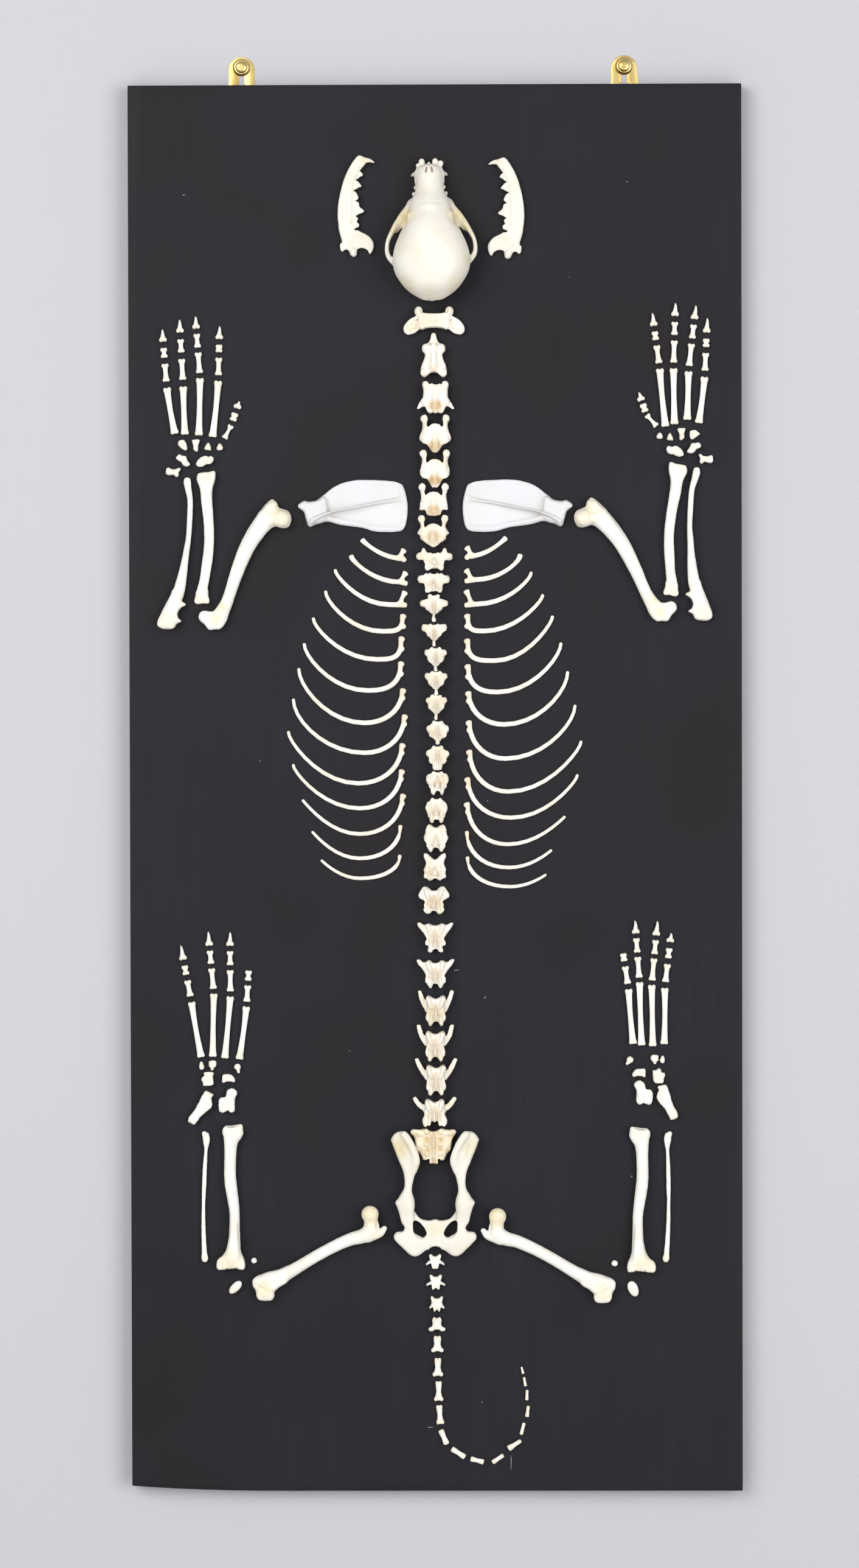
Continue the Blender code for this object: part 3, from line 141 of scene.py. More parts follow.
black_paint, shader = new_material("rolled_black_emulsion")
spot = object_place(black_paint)
streaks = noise_pattern(black_paint, drawn_out(black_paint, spot, 0.06), STREAK_MM, 3.0)
clouds = noise_pattern(black_paint, spot, CLOUD_MM)
peel = noise_pattern(black_paint, spot, ORANGE_PEEL_MM)
rubbed = point_value(black_paint, "rubbed")
paint = blend_colour(black_paint, grade(black_paint, streaks, 0.3, 0.7), "#1B1B21", "#202028")
paint = blend_colour(black_paint, grade(black_paint, clouds, 0.35, 0.7), paint, "#1D191C")
paint = blend_colour(black_paint, rubbed, paint, "#4A3A36")
bump = add_node(black_paint, "ShaderNodeBump", {"Strength": 0.35, "Distance": 0.12 * MM}, {"Height": peel})
join_links(black_paint, shader, {
    "Base Color": paint, "Normal": bump.outputs["Normal"],
    "Roughness": grade(black_paint, streaks, 0.2, 0.8, 0.5, 0.62)})
shader.inputs["Specular IOR Level"].default_value = 0.2


def new_object(name, data):
    made = bpy.data.objects.new(name, data)
    bpy.context.scene.collection.objects.link(made)
    return made


def add_piece(name, points, faces, material, nodes, values=()):
    """Mesh object of the row, with point values for its material, in place of CAD nodes."""
    mesh = bpy.data.meshes.new(name)
    mesh.from_pydata(points, [], faces)
    mesh.materials.append(material)
    for key, numbers in dict(values).items():
        attribute = mesh.attributes.new(key, "FLOAT", "POINT")
        attribute.data.foreach_set("value", np.asarray(numbers, np.float32))
    mesh.shade_smooth()
    hand_over(new_object(name, mesh), nodes)


def hand_over(piece, nodes):
    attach(piece, "root")
    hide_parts(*nodes)


def evaluated_mesh(piece):
    """Turn an object with modifiers, or a curve, into a plain mesh object of the same name."""
    bpy.context.view_layer.update()
    mesh = bpy.data.meshes.new_from_object(piece.evaluated_get(bpy.context.evaluated_depsgraph_get()))
    mesh.transform(piece.matrix_world)
    name = piece.name
    bpy.data.objects.remove(piece, do_unlink=True)
    return new_object(name, mesh)


def cut_away(piece, tool):
    cut = piece.modifiers.new("cut", "BOOLEAN")
    cut.operation = "DIFFERENCE"
    cut.object = tool
    cut.solver = "EXACT"


def cover(piece, material, sharp_from):
    """One material all over, smooth but for edges sharper than an angle in degrees."""
    piece.data.materials.clear()
    piece.data.materials.append(material)
    piece.data.shade_smooth()
    piece.data.set_sharp_from_angle(angle=math.radians(sharp_from))


def cube_at(name, low, high):
    """Box between two corners in millimetres."""
    shape = bmesh.new()
    bmesh.ops.create_cube(shape, size=1.0)
    low, high = Vector(low), Vector(high)
    for vertex in shape.verts:
        vertex.co = Vector(low[axis] + (vertex.co[axis] + 0.5) * (high - low)[axis] for axis in range(3)) * MM
    mesh = bpy.data.meshes.new(name)
    shape.to_mesh(mesh)
    shape.free()
    return new_object(name, mesh)


board = cube_at(
    "board_panel", (-BOARD_WIDTH / 2, -BOARD_THICK, -BOARD_HEIGHT / 2), (BOARD_WIDTH / 2, 0.0, BOARD_HEIGHT / 2))
pockets = []
for x in PLATE_PLACES.values():
    pocket = cube_at(
        "pocket", (x - POCKET_WIDTH / 2, -POCKET_DEEP, BOARD_HEIGHT / 2 - POCKET_TALL),
        (x + POCKET_WIDTH / 2, POCKET_SPARE, BOARD_HEIGHT / 2 + POCKET_SPARE))
    cut_away(board, pocket)
    pockets.append(pocket)
rubbing = board.modifiers.new("arris", "BEVEL")
rubbing.width = BOARD_ARRIS * MM
rubbing.segments = 3
board = evaluated_mesh(board)
for pocket in pockets:
    bpy.data.objects.remove(pocket, do_unlink=True)
shape = bmesh.new()
shape.from_mesh(board.data)
for normal, cuts in (((1.0, 0.0, 0.0), UPRIGHT_CUTS), ((0.0, 0.0, 1.0), LEVEL_CUTS)):
    for place in cuts:
        bmesh.ops.bisect_plane(
            shape, geom=[*shape.verts, *shape.edges, *shape.faces], plane_co=[part * place * MM for part in normal],
            plane_no=normal)
for vertex in shape.verts:
    far = (-vertex.co.x / MM - CORNER_WEAR_START) / (BOARD_WIDTH / 2 - CORNER_WEAR_START)
    below = CORNER_WEAR_TOP * MM - vertex.co.z
    if far > 0.0 and below > 0.0:
        vertex.co.z += CORNER_WEAR * MM * far ** 2.2 * min(1.0, below / (CORNER_WEAR_FADE * MM))
shape.to_mesh(board.data)
edge_wear = []
for vertex in board.data.vertices:
    side = min(BOARD_WIDTH / 2 - abs(vertex.co.x) / MM, BOARD_HEIGHT / 2 - abs(vertex.co.z) / MM)
    edge_wear.append(RUBBED_THROUGH if side < BOARD_ARRIS * 0.9 else 0.0)
shape.free()
attribute = board.data.attributes.new("rubbed", "FLOAT", "POINT")
attribute.data.foreach_set("value", edge_wear)
cover(board, black_paint, 50.0)
hand_over(board, ["board"])


# Flecks of pale dust and a few short scratches in the black paint, each a flake thinner than paper.
# Place across and up, half length, half width and turn.
FLECKS = [
    (-172.4, 409.2, 0.7, 0.5, 20.0), (132.6, 417.2, 0.6, 0.4, 0.0), (13.8, -124.6, 2.1, 0.35, 8.0),
    (33.6, -143.5, 0.7, 0.5, 40.0), (35.7, -7.8, 0.5, 0.4, 0.0), (134.6, -267.0, 0.7, 0.5, 60.0),
    (-5.0, -440.4, 2.2, 0.3, 0.0), (30.9, -423.2, 0.5, 0.4, 0.0), (51.0, -465.0, 0.3, 5.6, 0.0),
    (-121.0, 20.0, 0.4, 0.4, 0.0), (92.0, 352.0, 0.35, 0.3, 0.0), (-60.0, -180.0, 0.4, 0.3, 30.0)]
FLECK_THICK = 0.06
FLECK_SUNK = 0.03
FLECK_SIDES = 9
GRAIN_MM = 0.6

dust, shader = new_material("pale_dust")
shader.inputs["Roughness"].default_value = 0.9
grain = noise_pattern(dust, object_place(dust), GRAIN_MM)
join_links(dust, shader, {"Base Color": blend_colour(dust, grain, "#6F6B69", "#A9A49E")})
points, faces = [], []
for x, z, half_length, half_width, turn in FLECKS:
    first = len(points)
    lean = math.radians(turn)
    for height in (-FLECK_SUNK, FLECK_THICK):
        for step in range(FLECK_SIDES):
            angle = math.tau * step / FLECK_SIDES
            along = half_length * math.cos(angle) * (1.0 + 0.2 * math.sin(3 * angle + x))
            across = half_width * math.sin(angle)
            points.append((
                (x + along * math.cos(lean) - across * math.sin(lean)) * MM, -(BOARD_THICK + height) * MM,
                (z + along * math.sin(lean) + across * math.cos(lean)) * MM))
    near, far = (range(start, start + FLECK_SIDES) for start in (first, first + FLECK_SIDES))
    faces += [list(far), list(near)[::-1]]
    faces += [[near[step], near[(step + 1) % FLECK_SIDES], far[(step + 1) % FLECK_SIDES], far[step]]
              for step in range(FLECK_SIDES)]
add_piece("paint_flecks", points, faces, dust, ["board"])


# Mirror plates: pressed brass strip with a round top and a keyhole, screwed in the pockets behind the
# board. The right one spreads a little towards its foot. The screws have cup washers and cross slots.
PLATE_WIDTH = 18.0
PLATE_THICK = 1.5
PLATE_RISE = 21.5
PLATE_TAIL = 22.0
PLATE_EDGE = 0.2
PLATE_SPREAD = {"L": 0.0, "R": 1.9}
SPREAD_START = 6.0
SPREAD_FULL = 13.0
CROWN_STEPS = 32
KEYHOLE_DROP = 1.0
KEYHOLE_RADIUS = 4.4
SLOT_HALF = 1.95
SLOT_DROP = 7.4
HOLE_STEPS = 24
SLOT_STEPS = 12
SCREW_RADIUS = 1.6
SCREW_HIGH = 5.0
SCREW_STEPS = 40
SCREW_TURNS = {"L": -20.0, "R": 45.0}
# Radius and height off the wall of the screw's shank, washer and head, and then back down the middle
SCREW_PROFILE = [
    (SCREW_RADIUS, 0.0), (SCREW_RADIUS, 1.9), (5.8, 1.85), (6.0, 2.1), (5.7, 2.6), (5.0, 3.3), (4.5, 3.55),
    (4.2, 3.5), (4.1, 3.55), (3.9, 4.1), (3.2, 4.6), (2.0, 4.9), (0.9, SCREW_HIGH)]
# Half length, half width and depth of the cross slot
RECESS = (2.3, 0.42, 0.9)
LINE_MM = 0.5
TARNISH_MM = 9.0

brass, shader = new_material("satin_rolled_brass")
spot = object_place(brass)
lines = noise_pattern(brass, drawn_out(brass, spot, 0.08), LINE_MM)
tarnish = noise_pattern(brass, spot, TARNISH_MM, 3.0)
metal = blend_colour(brass, grade(brass, tarnish, 0.4, 0.75), "#E6CF8E", "#C7A45C")
bump = add_node(brass, "ShaderNodeBump", {"Strength": 0.2, "Distance": 0.03 * MM}, {"Height": lines})
join_links(brass, shader, {
    "Base Color": metal, "Roughness": grade(brass, lines, 0.3, 0.7, 0.3, 0.42), "Normal": bump.outputs["Normal"]})
shader.inputs["Metallic"].default_value = 1.0


def keyhole(x, hole_z, screw_z):
    """Points round a round hole with a narrow slot above it."""
    meet = math.asin(SLOT_HALF / KEYHOLE_RADIUS)
    points = []
    for step in range(HOLE_STEPS + 1):
        angle = meet + (math.tau - 2 * meet) * step / HOLE_STEPS
        points.append((x + KEYHOLE_RADIUS * math.sin(angle), hole_z + KEYHOLE_RADIUS * math.cos(angle)))
    for step in range(SLOT_STEPS + 1):
        angle = math.pi + math.pi * step / SLOT_STEPS
        points.append((x + SLOT_HALF * math.cos(angle), screw_z - SLOT_HALF * math.sin(angle)))
    return points


for side, x in PLATE_PLACES.items():
    half = PLATE_WIDTH / 2
    crown = BOARD_HEIGHT / 2 + PLATE_RISE - half
    foot = BOARD_HEIGHT / 2 - PLATE_TAIL
    screw_z = BOARD_HEIGHT / 2 + PLATE_RISE - SLOT_DROP
    spread = PLATE_SPREAD[side]
    outline = [(x + (half - PLATE_EDGE) * math.cos(math.pi * (1 - step / CROWN_STEPS)),
                crown + (half - PLATE_EDGE) * math.sin(math.pi * (1 - step / CROWN_STEPS)))
               for step in range(CROWN_STEPS + 1)]
    outline += [(x + half - PLATE_EDGE + spread * 0.3, crown - SPREAD_START),
                (x + half - PLATE_EDGE + spread, crown - SPREAD_FULL),
                (x + half - PLATE_EDGE + spread, foot), (x - half + PLATE_EDGE, foot)]
    curve = bpy.data.curves.new("plate", "CURVE")
    curve.dimensions = "2D"
    curve.fill_mode = "BOTH"
    curve.extrude = (PLATE_THICK / 2 - PLATE_EDGE) * MM
    curve.bevel_depth = PLATE_EDGE * MM
    curve.bevel_resolution = 2
    for ring in (outline, keyhole(x, BOARD_HEIGHT / 2 - KEYHOLE_DROP, screw_z)):
        spline = curve.splines.new("POLY")
        spline.points.add(len(ring) - 1)
        for point, (px, pz) in zip(spline.points, ring):
            point.co = (px * MM, pz * MM, 0.0, 1.0)
        spline.use_cyclic_u = True
    plate = new_object(f"mirror_plate_{side}", curve)
    plate.rotation_euler.x = math.radians(90.0)
    plate.location.y = -PLATE_THICK / 2 * MM
    plate = evaluated_mesh(plate)
    shape = bmesh.new()
    shape.from_mesh(plate.data)
    bmesh.ops.remove_doubles(shape, verts=shape.verts, dist=1e-6)
    shape.to_mesh(plate.data)
    shape.free()
    cover(plate, brass, 40.0)
    hand_over(plate, [f"hanger_plate_{side}"])

    profile = bpy.data.meshes.new("screw")
    rings = [(0.0, 0.0), *SCREW_PROFILE, (0.0, SCREW_HIGH)]
    profile.from_pydata([(radius * MM, -out * MM, 0.0) for radius, out in rings],
                        [(index, index + 1) for index in range(len(rings) - 1)], [])
    screw = new_object(f"wall_screw_{side}", profile)
    turning = screw.modifiers.new("turning", "SCREW")
    turning.axis = "Y"
    turning.steps = turning.render_steps = SCREW_STEPS
    turning.use_merge_vertices = True
    turning.merge_threshold = 1e-5
    length, width, deep = RECESS
    arms = []
    for across, up in ((length, width), (width, length)):
        arm = cube_at("recess", (-across, -SCREW_HIGH - 0.2, -up), (across, -SCREW_HIGH + deep, up))
        arm.rotation_euler.y = math.radians(SCREW_TURNS[side])
        cut_away(screw, arm)
        arms.append(arm)
    screw.location = (x * MM, 0.0, screw_z * MM)
    for arm in arms:
        arm.location = screw.location
    screw = evaluated_mesh(screw)
    for arm in arms:
        bpy.data.objects.remove(arm, do_unlink=True)
    cover(screw, brass, 42.0)
    hand_over(screw, [f"screw_{side}"])


# Ribs: thirteen curved bones a side, laid flat with their joints beside the spine. Each is a flattened
# rod, widest at the joint and thin at its tip, and the first three fork beside the joint.
FAR = 8.0
SEAT = 0.12
THINNEST = 0.12
# Sizes are given for the left-hand bone of a pair, and the right-hand one is turned over
FLIPS = {"L": 1.0, "R": -1.0}


def mirrored(rows, flip):
    """The rows as they are, or turned over from side to side where flip is -1."""
    return [(flip * row[0], *row[1:]) for row in rows]


def curve_between(a, b, c, d, steps):
    """Even points of the curve from b towards c, which also heeds the points before and after."""
    return [0.5 * (2 * b + (c - a) * t + (2 * a - 5 * b + 4 * c - d) * t * t + (3 * b - a - 3 * c + d) * t ** 3)
            for t in (step / steps for step in range(steps))]


def smooth_path(stations, steps):
    """Even curve through stations of (x, z, h, half width, half thickness)."""
    rows = np.array(stations, float)
    padded = np.vstack([2 * rows[0] - rows[1], rows, 2 * rows[-1] - rows[-2]])
    points = []
    for index in range(1, len(padded) - 2):
        points += curve_between(*padded[index - 1:index + 3], steps)
    points.append(rows[-1])
    points = np.array(points)
    points[:, 3:] = np.maximum(points[:, 3:], THINNEST)
    return points


def smooth_ring(outline, steps):
    """Even closed curve through the points of an outline."""
    rows = np.array(outline, float)
    points = []
    for index in range(len(rows)):
        points += curve_between(*(rows[(index + offset) % len(rows)] for offset in (-1, 0, 1, 2)), steps)
    return np.array(points)


def smooth_union(first, second, blend):
    share = np.clip(0.5 + 0.5 * (second - first) / blend, 0.0, 1.0)
    return second + (first - second) * share - blend * share * (1.0 - share)


def oval_distance(parts):
    """Rough distance to an oval, from pairs of an offset and the oval's half size along it."""
    near = sum((offset / size) ** 2 for offset, size in parts)
    slope = sum((offset / size ** 2) ** 2 for offset, size in parts)
    near = np.sqrt(near) + 1e-6
    return near * (near - 1.0) / (np.sqrt(slope) + 1e-6)


class Bone:
    """Bone modelled like clay: rods, lumps and blades are laid on or cut away, each blended in.

    Sizes are millimetres: x across and z up in the bone's own place, h off the board. blend is how widely
    a form runs into the rest, and cut is the same for one that is cut away. Where flip is -1, each form
    is laid turned over from side to side.
    """

    def __init__(self, cell=0.5, flip=1.0):
        self.cell = cell
        self.flip = flip
        self.steps = []
        self.corners = []

    def sides(self, order=(-1.0, 1.0)):
        """Let what follows be laid on one side of the middle line, and then on the other."""
        for self.flip in order:
            yield self.flip
        self.flip = 1.0

    def lay(self, distance, low, high, blend, cut=0.0):
        self.steps.append((distance, np.array(low, float), np.array(high, float), cut or blend, cut))
        if not cut:
            self.corners.append((low, high))

    def rod(self, stations, blend=1.0, cut=0.0, steps=4, cap=0.8):
        """Rod through stations of (x, z, h, half width, half thickness), with rounded ends."""
        path = smooth_path(mirrored(stations, self.flip), steps)

        def distance(axes):
            field = np.full([len(axis) for axis in axes], FAR)
            for start, end in zip(path, path[1:]):
                run = end[:3] - start[:3]
                length = np.linalg.norm(run)
                if length < 1e-6:
                    continue
                run = run / length
                across = np.cross(run, (0.0, 0.0, 1.0))
                size = np.linalg.norm(across)
                across = across / size if size > 0.15 else np.array((1.0, 0.0, 0.0))
                lift = np.cross(across, run)
                reach = max(start[3:].max(), end[3:].max()) + (cut or blend) + 2 * self.cell
                low = np.minimum(start[:3], end[:3]) - reach
                high = np.maximum(start[:3], end[:3]) + reach
                region = tuple(slice(*np.searchsorted(axis, (a, b))) for axis, a, b in zip(axes, low, high))
                x, z, h = (axis[part] - place for axis, part, place in zip(axes, region, start))
                x, z, h = x[:, None, None], z[None, :, None], h[None, None, :]
                reached = run[0] * x + run[1] * z + run[2] * h
                share = np.clip(reached / length, 0.0, 1.0)
                width = start[3] + (end[3] - start[3]) * share
                thick = start[4] + (end[4] - start[4]) * share
                made = oval_distance((
                    (across[0] * x + across[1] * z + across[2] * h, width),
                    (lift[0] * x + lift[1] * z + lift[2] * h, thick),
                    (reached - share * length, np.minimum(width, thick) * cap + 0.05)))
                field[region] = np.minimum(field[region], made)
            return field

        reach = path[:, 3:].max(axis=1)[:, None]
        self.lay(distance, (path[:, :3] - reach).min(axis=0), (path[:, :3] + reach).max(axis=0), blend, cut)

    def lump(self, place, radii, turn=0.0, blend=1.0, cut=0.0):
        """Oval lump with half sizes (across, up, out), turned clockwise."""
        place = mirrored([place], self.flip)[0]
        turn *= self.flip
        c, s = math.cos(math.radians(turn)), math.sin(math.radians(turn))

        def distance(axes):
            x, z, h = (axis - middle for axis, middle in zip(axes, place))
            x, z, h = x[:, None, None], z[None, :, None], h[None, None, :]
            return oval_distance(((c * x - s * z, radii[0]), (s * x + c * z, radii[1]), (h, radii[2])))

        reach = max(radii)
        self.lay(distance, np.array(place) - reach, np.array(place) + reach, blend, cut)

    def blade(self, outline, middle, half, blend=0.6, cut=0.0, rounding=0.4, steps=4):
        """Flat piece with an outline of (x, z) points, its middle height and half thickness.

        Both may be functions of x and z.
        """
        ring = smooth_ring(mirrored(outline, self.flip), steps)

        def distance(axes):
            x, z = np.meshgrid(axes[0], axes[1], indexing="ij")
            nearest = np.full(x.shape, 1e6)
            inside = np.zeros(x.shape, bool)
            for (ax, az), (bx, bz) in zip(ring, np.roll(ring, -1, axis=0)):
                run_x, run_z = bx - ax, bz - az
                share = np.clip(((x - ax) * run_x + (z - az) * run_z) / (run_x ** 2 + run_z ** 2 + 1e-9), 0, 1)
                nearest = np.minimum(nearest, (x - ax - share * run_x) ** 2 + (z - az - share * run_z) ** 2)
                crossing = (az > z) != (bz > z)
                inside ^= crossing & (x < ax + run_x * (z - az) / (run_z if abs(run_z) > 1e-9 else 1e-9))
            flat = np.where(inside, -1.0, 1.0) * np.sqrt(nearest)
            level, thick = (size(x, z) if callable(size) else size + 0 * x for size in (middle, half))
            flat = (flat + rounding)[:, :, None]
            deep = np.abs(axes[2][None, None, :] - level[:, :, None]) - thick[:, :, None] + rounding
            outer = np.sqrt(np.maximum(flat, 0.0) ** 2 + np.maximum(deep, 0.0) ** 2)
            return outer + np.minimum(np.maximum(flat, deep), 0.0) - rounding

        level, thick = (np.atleast_1d(size(*ring.T) if callable(size) else size) for size in (middle, half))
        reach = thick.max() + 1.5
        low = (*ring.min(axis=0), level.min() - reach)
        high = (*ring.max(axis=0), level.max() + reach)
        self.lay(distance, low, high, blend, cut)

    def surface(self):
        """Points and four-sided faces of the finished surface."""
        cell = self.cell
        low = np.min([corner[0] for corner in self.corners], axis=0) - 3 * cell
        high = np.max([corner[1] for corner in self.corners], axis=0) + 3 * cell
        low[2] = max(low[2], SEAT - 3 * cell)
        axes = [np.arange(a, b + cell, cell) for a, b in zip(low, high)]
        value = np.full([len(axis) for axis in axes], FAR)
        for distance, near, far, blend, cut in self.steps:
            reach = blend + 2 * cell
            region = tuple(slice(*np.searchsorted(axis, (a - reach, b + reach)))
                           for axis, a, b in zip(axes, near, far))
            if any(part.stop <= part.start for part in region):
                continue
            made = distance([axis[part] for axis, part in zip(axes, region)])
            if cut:
                value[region] = -smooth_union(-value[region], made, blend)
            else:
                value[region] = smooth_union(value[region], made, blend)
        value = np.maximum(value, SEAT - axes[2][None, None, :])
        value[:, :, 0] = np.maximum(value[:, :, 0], cell)
        return self.skin(value, low)

    def skin(self, value, low):
        """Points where the clay's outside crosses the grid, one in each cell, joined by four-sided faces."""
        inside = value < 0.0
        shape = [size - 1 for size in value.shape]
        count = np.zeros(shape, np.int8)
        for corner in np.ndindex(2, 2, 2):
            count += inside[tuple(slice(start, start + size) for start, size in zip(corner, shape))]
        cells = np.argwhere((count > 0) & (count < 8))
        number = np.full(shape, -1, np.int64)
        number[tuple(cells.T)] = np.arange(len(cells))
        total = np.zeros((len(cells), 3))
        crossings = np.zeros(len(cells))
        for axis in range(3):
            others = [other for other in range(3) if other != axis]
            for corner in np.ndindex(2, 2):
                start = cells.copy()
                start[:, others] += corner
                end = start.copy()
                end[:, axis] += 1
                a, b = value[tuple(start.T)], value[tuple(end.T)]
                crosses = (a < 0.0) != (b < 0.0)
                place = start.astype(float)
                place[:, axis] += np.where(crosses, a / np.where(crosses, a - b, 1.0), 0.0)
                total += place * crosses[:, None]
                crossings += crosses
        points = total / crossings[:, None] * self.cell + low
        faces = []
        for axis in range(3):
            u, v = (axis + 1) % 3, (axis + 2) % 3
            a = inside.take(range(inside.shape[axis] - 1), axis)
            b = inside.take(range(1, inside.shape[axis]), axis)
            edges = np.argwhere(a != b)
            edges = edges[(edges[:, u] > 0) & (edges[:, v] > 0)]
            edges = edges[(edges[:, u] < value.shape[u] - 1) & (edges[:, v] < value.shape[v] - 1)]
            around = []
            for back_u, back_v in ((1, 1), (0, 1), (0, 0), (1, 0)):
                near = edges.copy()
                near[:, u] -= back_u
                near[:, v] -= back_v
                around.append(number[tuple(near.T)])
            quads = np.stack(around, axis=1)
            outward = a[tuple(edges.T)]
            quads[~outward] = quads[~outward][:, ::-1]
            faces.append(quads)
        return points, np.concatenate(faces)


def average_beside(values, ends, count):
    """Average of each point's neighbours."""
    columns = values if values.ndim > 1 else values[:, None]
    total = [np.bincount(ends[:, 0], column[ends[:, 1]], len(values))
             + np.bincount(ends[:, 1], column[ends[:, 0]], len(values)) for column in columns.T]
    return (np.stack(total, axis=1) / count[:, None]).reshape(values.shape)


def carve(bone, place=(0.0, 0.0), turn=0.0, stains=(), rough=0.1, relaxing=2):
    """Surface of a bone set on the board, with how stained it is at each point and how hollow, which the material
    turns into painted shade.

    stains are (x, z, radius, strength) in the bone's own place, turned over like the bone.
    """
    points, faces = bone.surface()
    ends = np.concatenate([faces[:, [corner, (corner + 1) % 4]] for corner in range(4)])
    count = np.bincount(ends.ravel(), minlength=len(points))
    for _ in range(relaxing):
        for strength in (0.55, -0.5):
            points = points + strength * (average_beside(points, ends, count) - points)
    lean = points[faces[:, 2]] - points[faces[:, 0]]
    cross = points[faces[:, 3]] - points[faces[:, 1]]
    outward = np.cross(lean, cross)
    normals = np.zeros_like(points)
    for corner in range(4):
        for axis in range(3):
            normals[:, axis] += np.bincount(faces[:, corner], outward[:, axis], len(points))
    normals /= np.linalg.norm(normals, axis=1)[:, None] + 1e-9
    # how hollow the surface is at each point, which the bone materials turn into painted shade
    hollow = ((average_beside(points, ends, count) - points) * normals).sum(axis=1) / bone.cell
    for _ in range(4):
        hollow = 0.5 * hollow + 0.5 * average_beside(hollow, ends, count)
    stained = np.zeros(len(points))
    for x, z, radius, strength in mirrored(stains, bone.flip):
        near = np.hypot(points[:, 0] - x, points[:, 1] - z) / radius
        stained = np.maximum(stained, strength * np.clip(1.6 - 1.6 * near, 0.0, 1.0))
    c, s = math.cos(math.radians(turn)), math.sin(math.radians(turn))
    x = points[:, 0] * c + points[:, 1] * s + place[0]
    z = points[:, 1] * c - points[:, 0] * s + place[1]
    h = points[:, 2]
    if rough:
        uneven = np.array([noise.noise(point * 0.24) + 0.8 * noise.noise(point * 0.8)
                           for point in np.stack([x, z, h], axis=1)])
        fade = np.clip((h - SEAT) / 1.0, 0.0, 1.0) * rough * uneven
        x = x + fade * (normals[:, 0] * c + normals[:, 1] * s)
        z = z + fade * (normals[:, 1] * c - normals[:, 0] * s)
        h = h + fade * normals[:, 2]
    placed = np.stack([x, -(BOARD_THICK + h), z], axis=1) * MM
    return placed, faces, stained, np.clip(hollow * 3.0, -1.0, 1.0)


def add_bones(name, carved, material, nodes):
    """One piece made of one or more carved bones."""
    first = 0
    faces = []
    for part in carved:
        faces.append(part[1] + first)
        first += len(part[0])
    points = np.concatenate([part[0] for part in carved])
    values = {"stain": np.concatenate([part[2] for part in carved]),
              "hollow": np.concatenate([part[3] for part in carved])}
    add_piece(name, points.tolist(), np.concatenate(faces).tolist(), material, nodes, values)


CAST_MM = 18.0
MOTTLE_MM = 3.2
# Brown painted into the bone's hollows and pits as shade in its creases and pores
PAINTED_SHADE_BROWN = "#9A8562"


def combined(material, operation, first, second):
    return add_node(material, "ShaderNodeMath", {"operation": operation}, {0: first, 1: second}).outputs[0]


def dry_bone(name, ground, shade, stain, pore_mm=0.8, pores=0.25):
    """Boiled and dried bone: chalky white going to cream, ochre where fat stayed, and painted shade darkening its
    hollows and pits.
    """
    material, shader = new_material(name)
    spot = object_place(material)
    broad = noise_pattern(material, spot, CAST_MM, 3.0)
    close = noise_pattern(material, spot, MOTTLE_MM, 4.0)
    cells = add_node(
        material, "ShaderNodeTexVoronoi", {"Scale": 1 / (pore_mm * MM)}, {"Vector": spot}).outputs["Distance"]
    stained = point_value(material, "stain")
    hollow = point_value(material, "hollow")
    colour = blend_colour(material, grade(material, broad, 0.42, 0.68), ground, shade)
    patchy = combined(material, "MULTIPLY", stained, grade(material, close, 0.3, 0.6, 0.55, 1.0))
    colour = blend_colour(material, patchy, colour, stain)
    # painted shade: the bone goes brown where its surface is hollow, as if shade fell there
    colour = blend_colour(material, grade(material, hollow, 0.05, 0.9, 0.0, 0.55), colour, PAINTED_SHADE_BROWN)
    # painted shade in the pits as well, which the bump below also dents
    pits = combined(material, "MULTIPLY", grade(material, cells, 0.34, 0.05),
                    grade(material, close, 0.45, 0.62, 0.0, pores))
    colour = blend_colour(material, pits, colour, PAINTED_SHADE_BROWN)
    relief = combined(material, "SUBTRACT", grade(material, close, 0.0, 1.0, 0.0, 0.5), pits)
    bump = add_node(material, "ShaderNodeBump", {"Strength": 0.5, "Distance": 0.18 * MM}, {"Height": relief})
    join_links(material, shader, {
        "Base Color": colour, "Normal": bump.outputs["Normal"],
        "Roughness": grade(material, close, 0.3, 0.7, 0.46, 0.62)})
    shader.inputs["Specular IOR Level"].default_value = 0.4
    return material


rib_bone = dry_bone("rib_bone", "#F7F3EA", "#EEE6D4", "#DDC490")
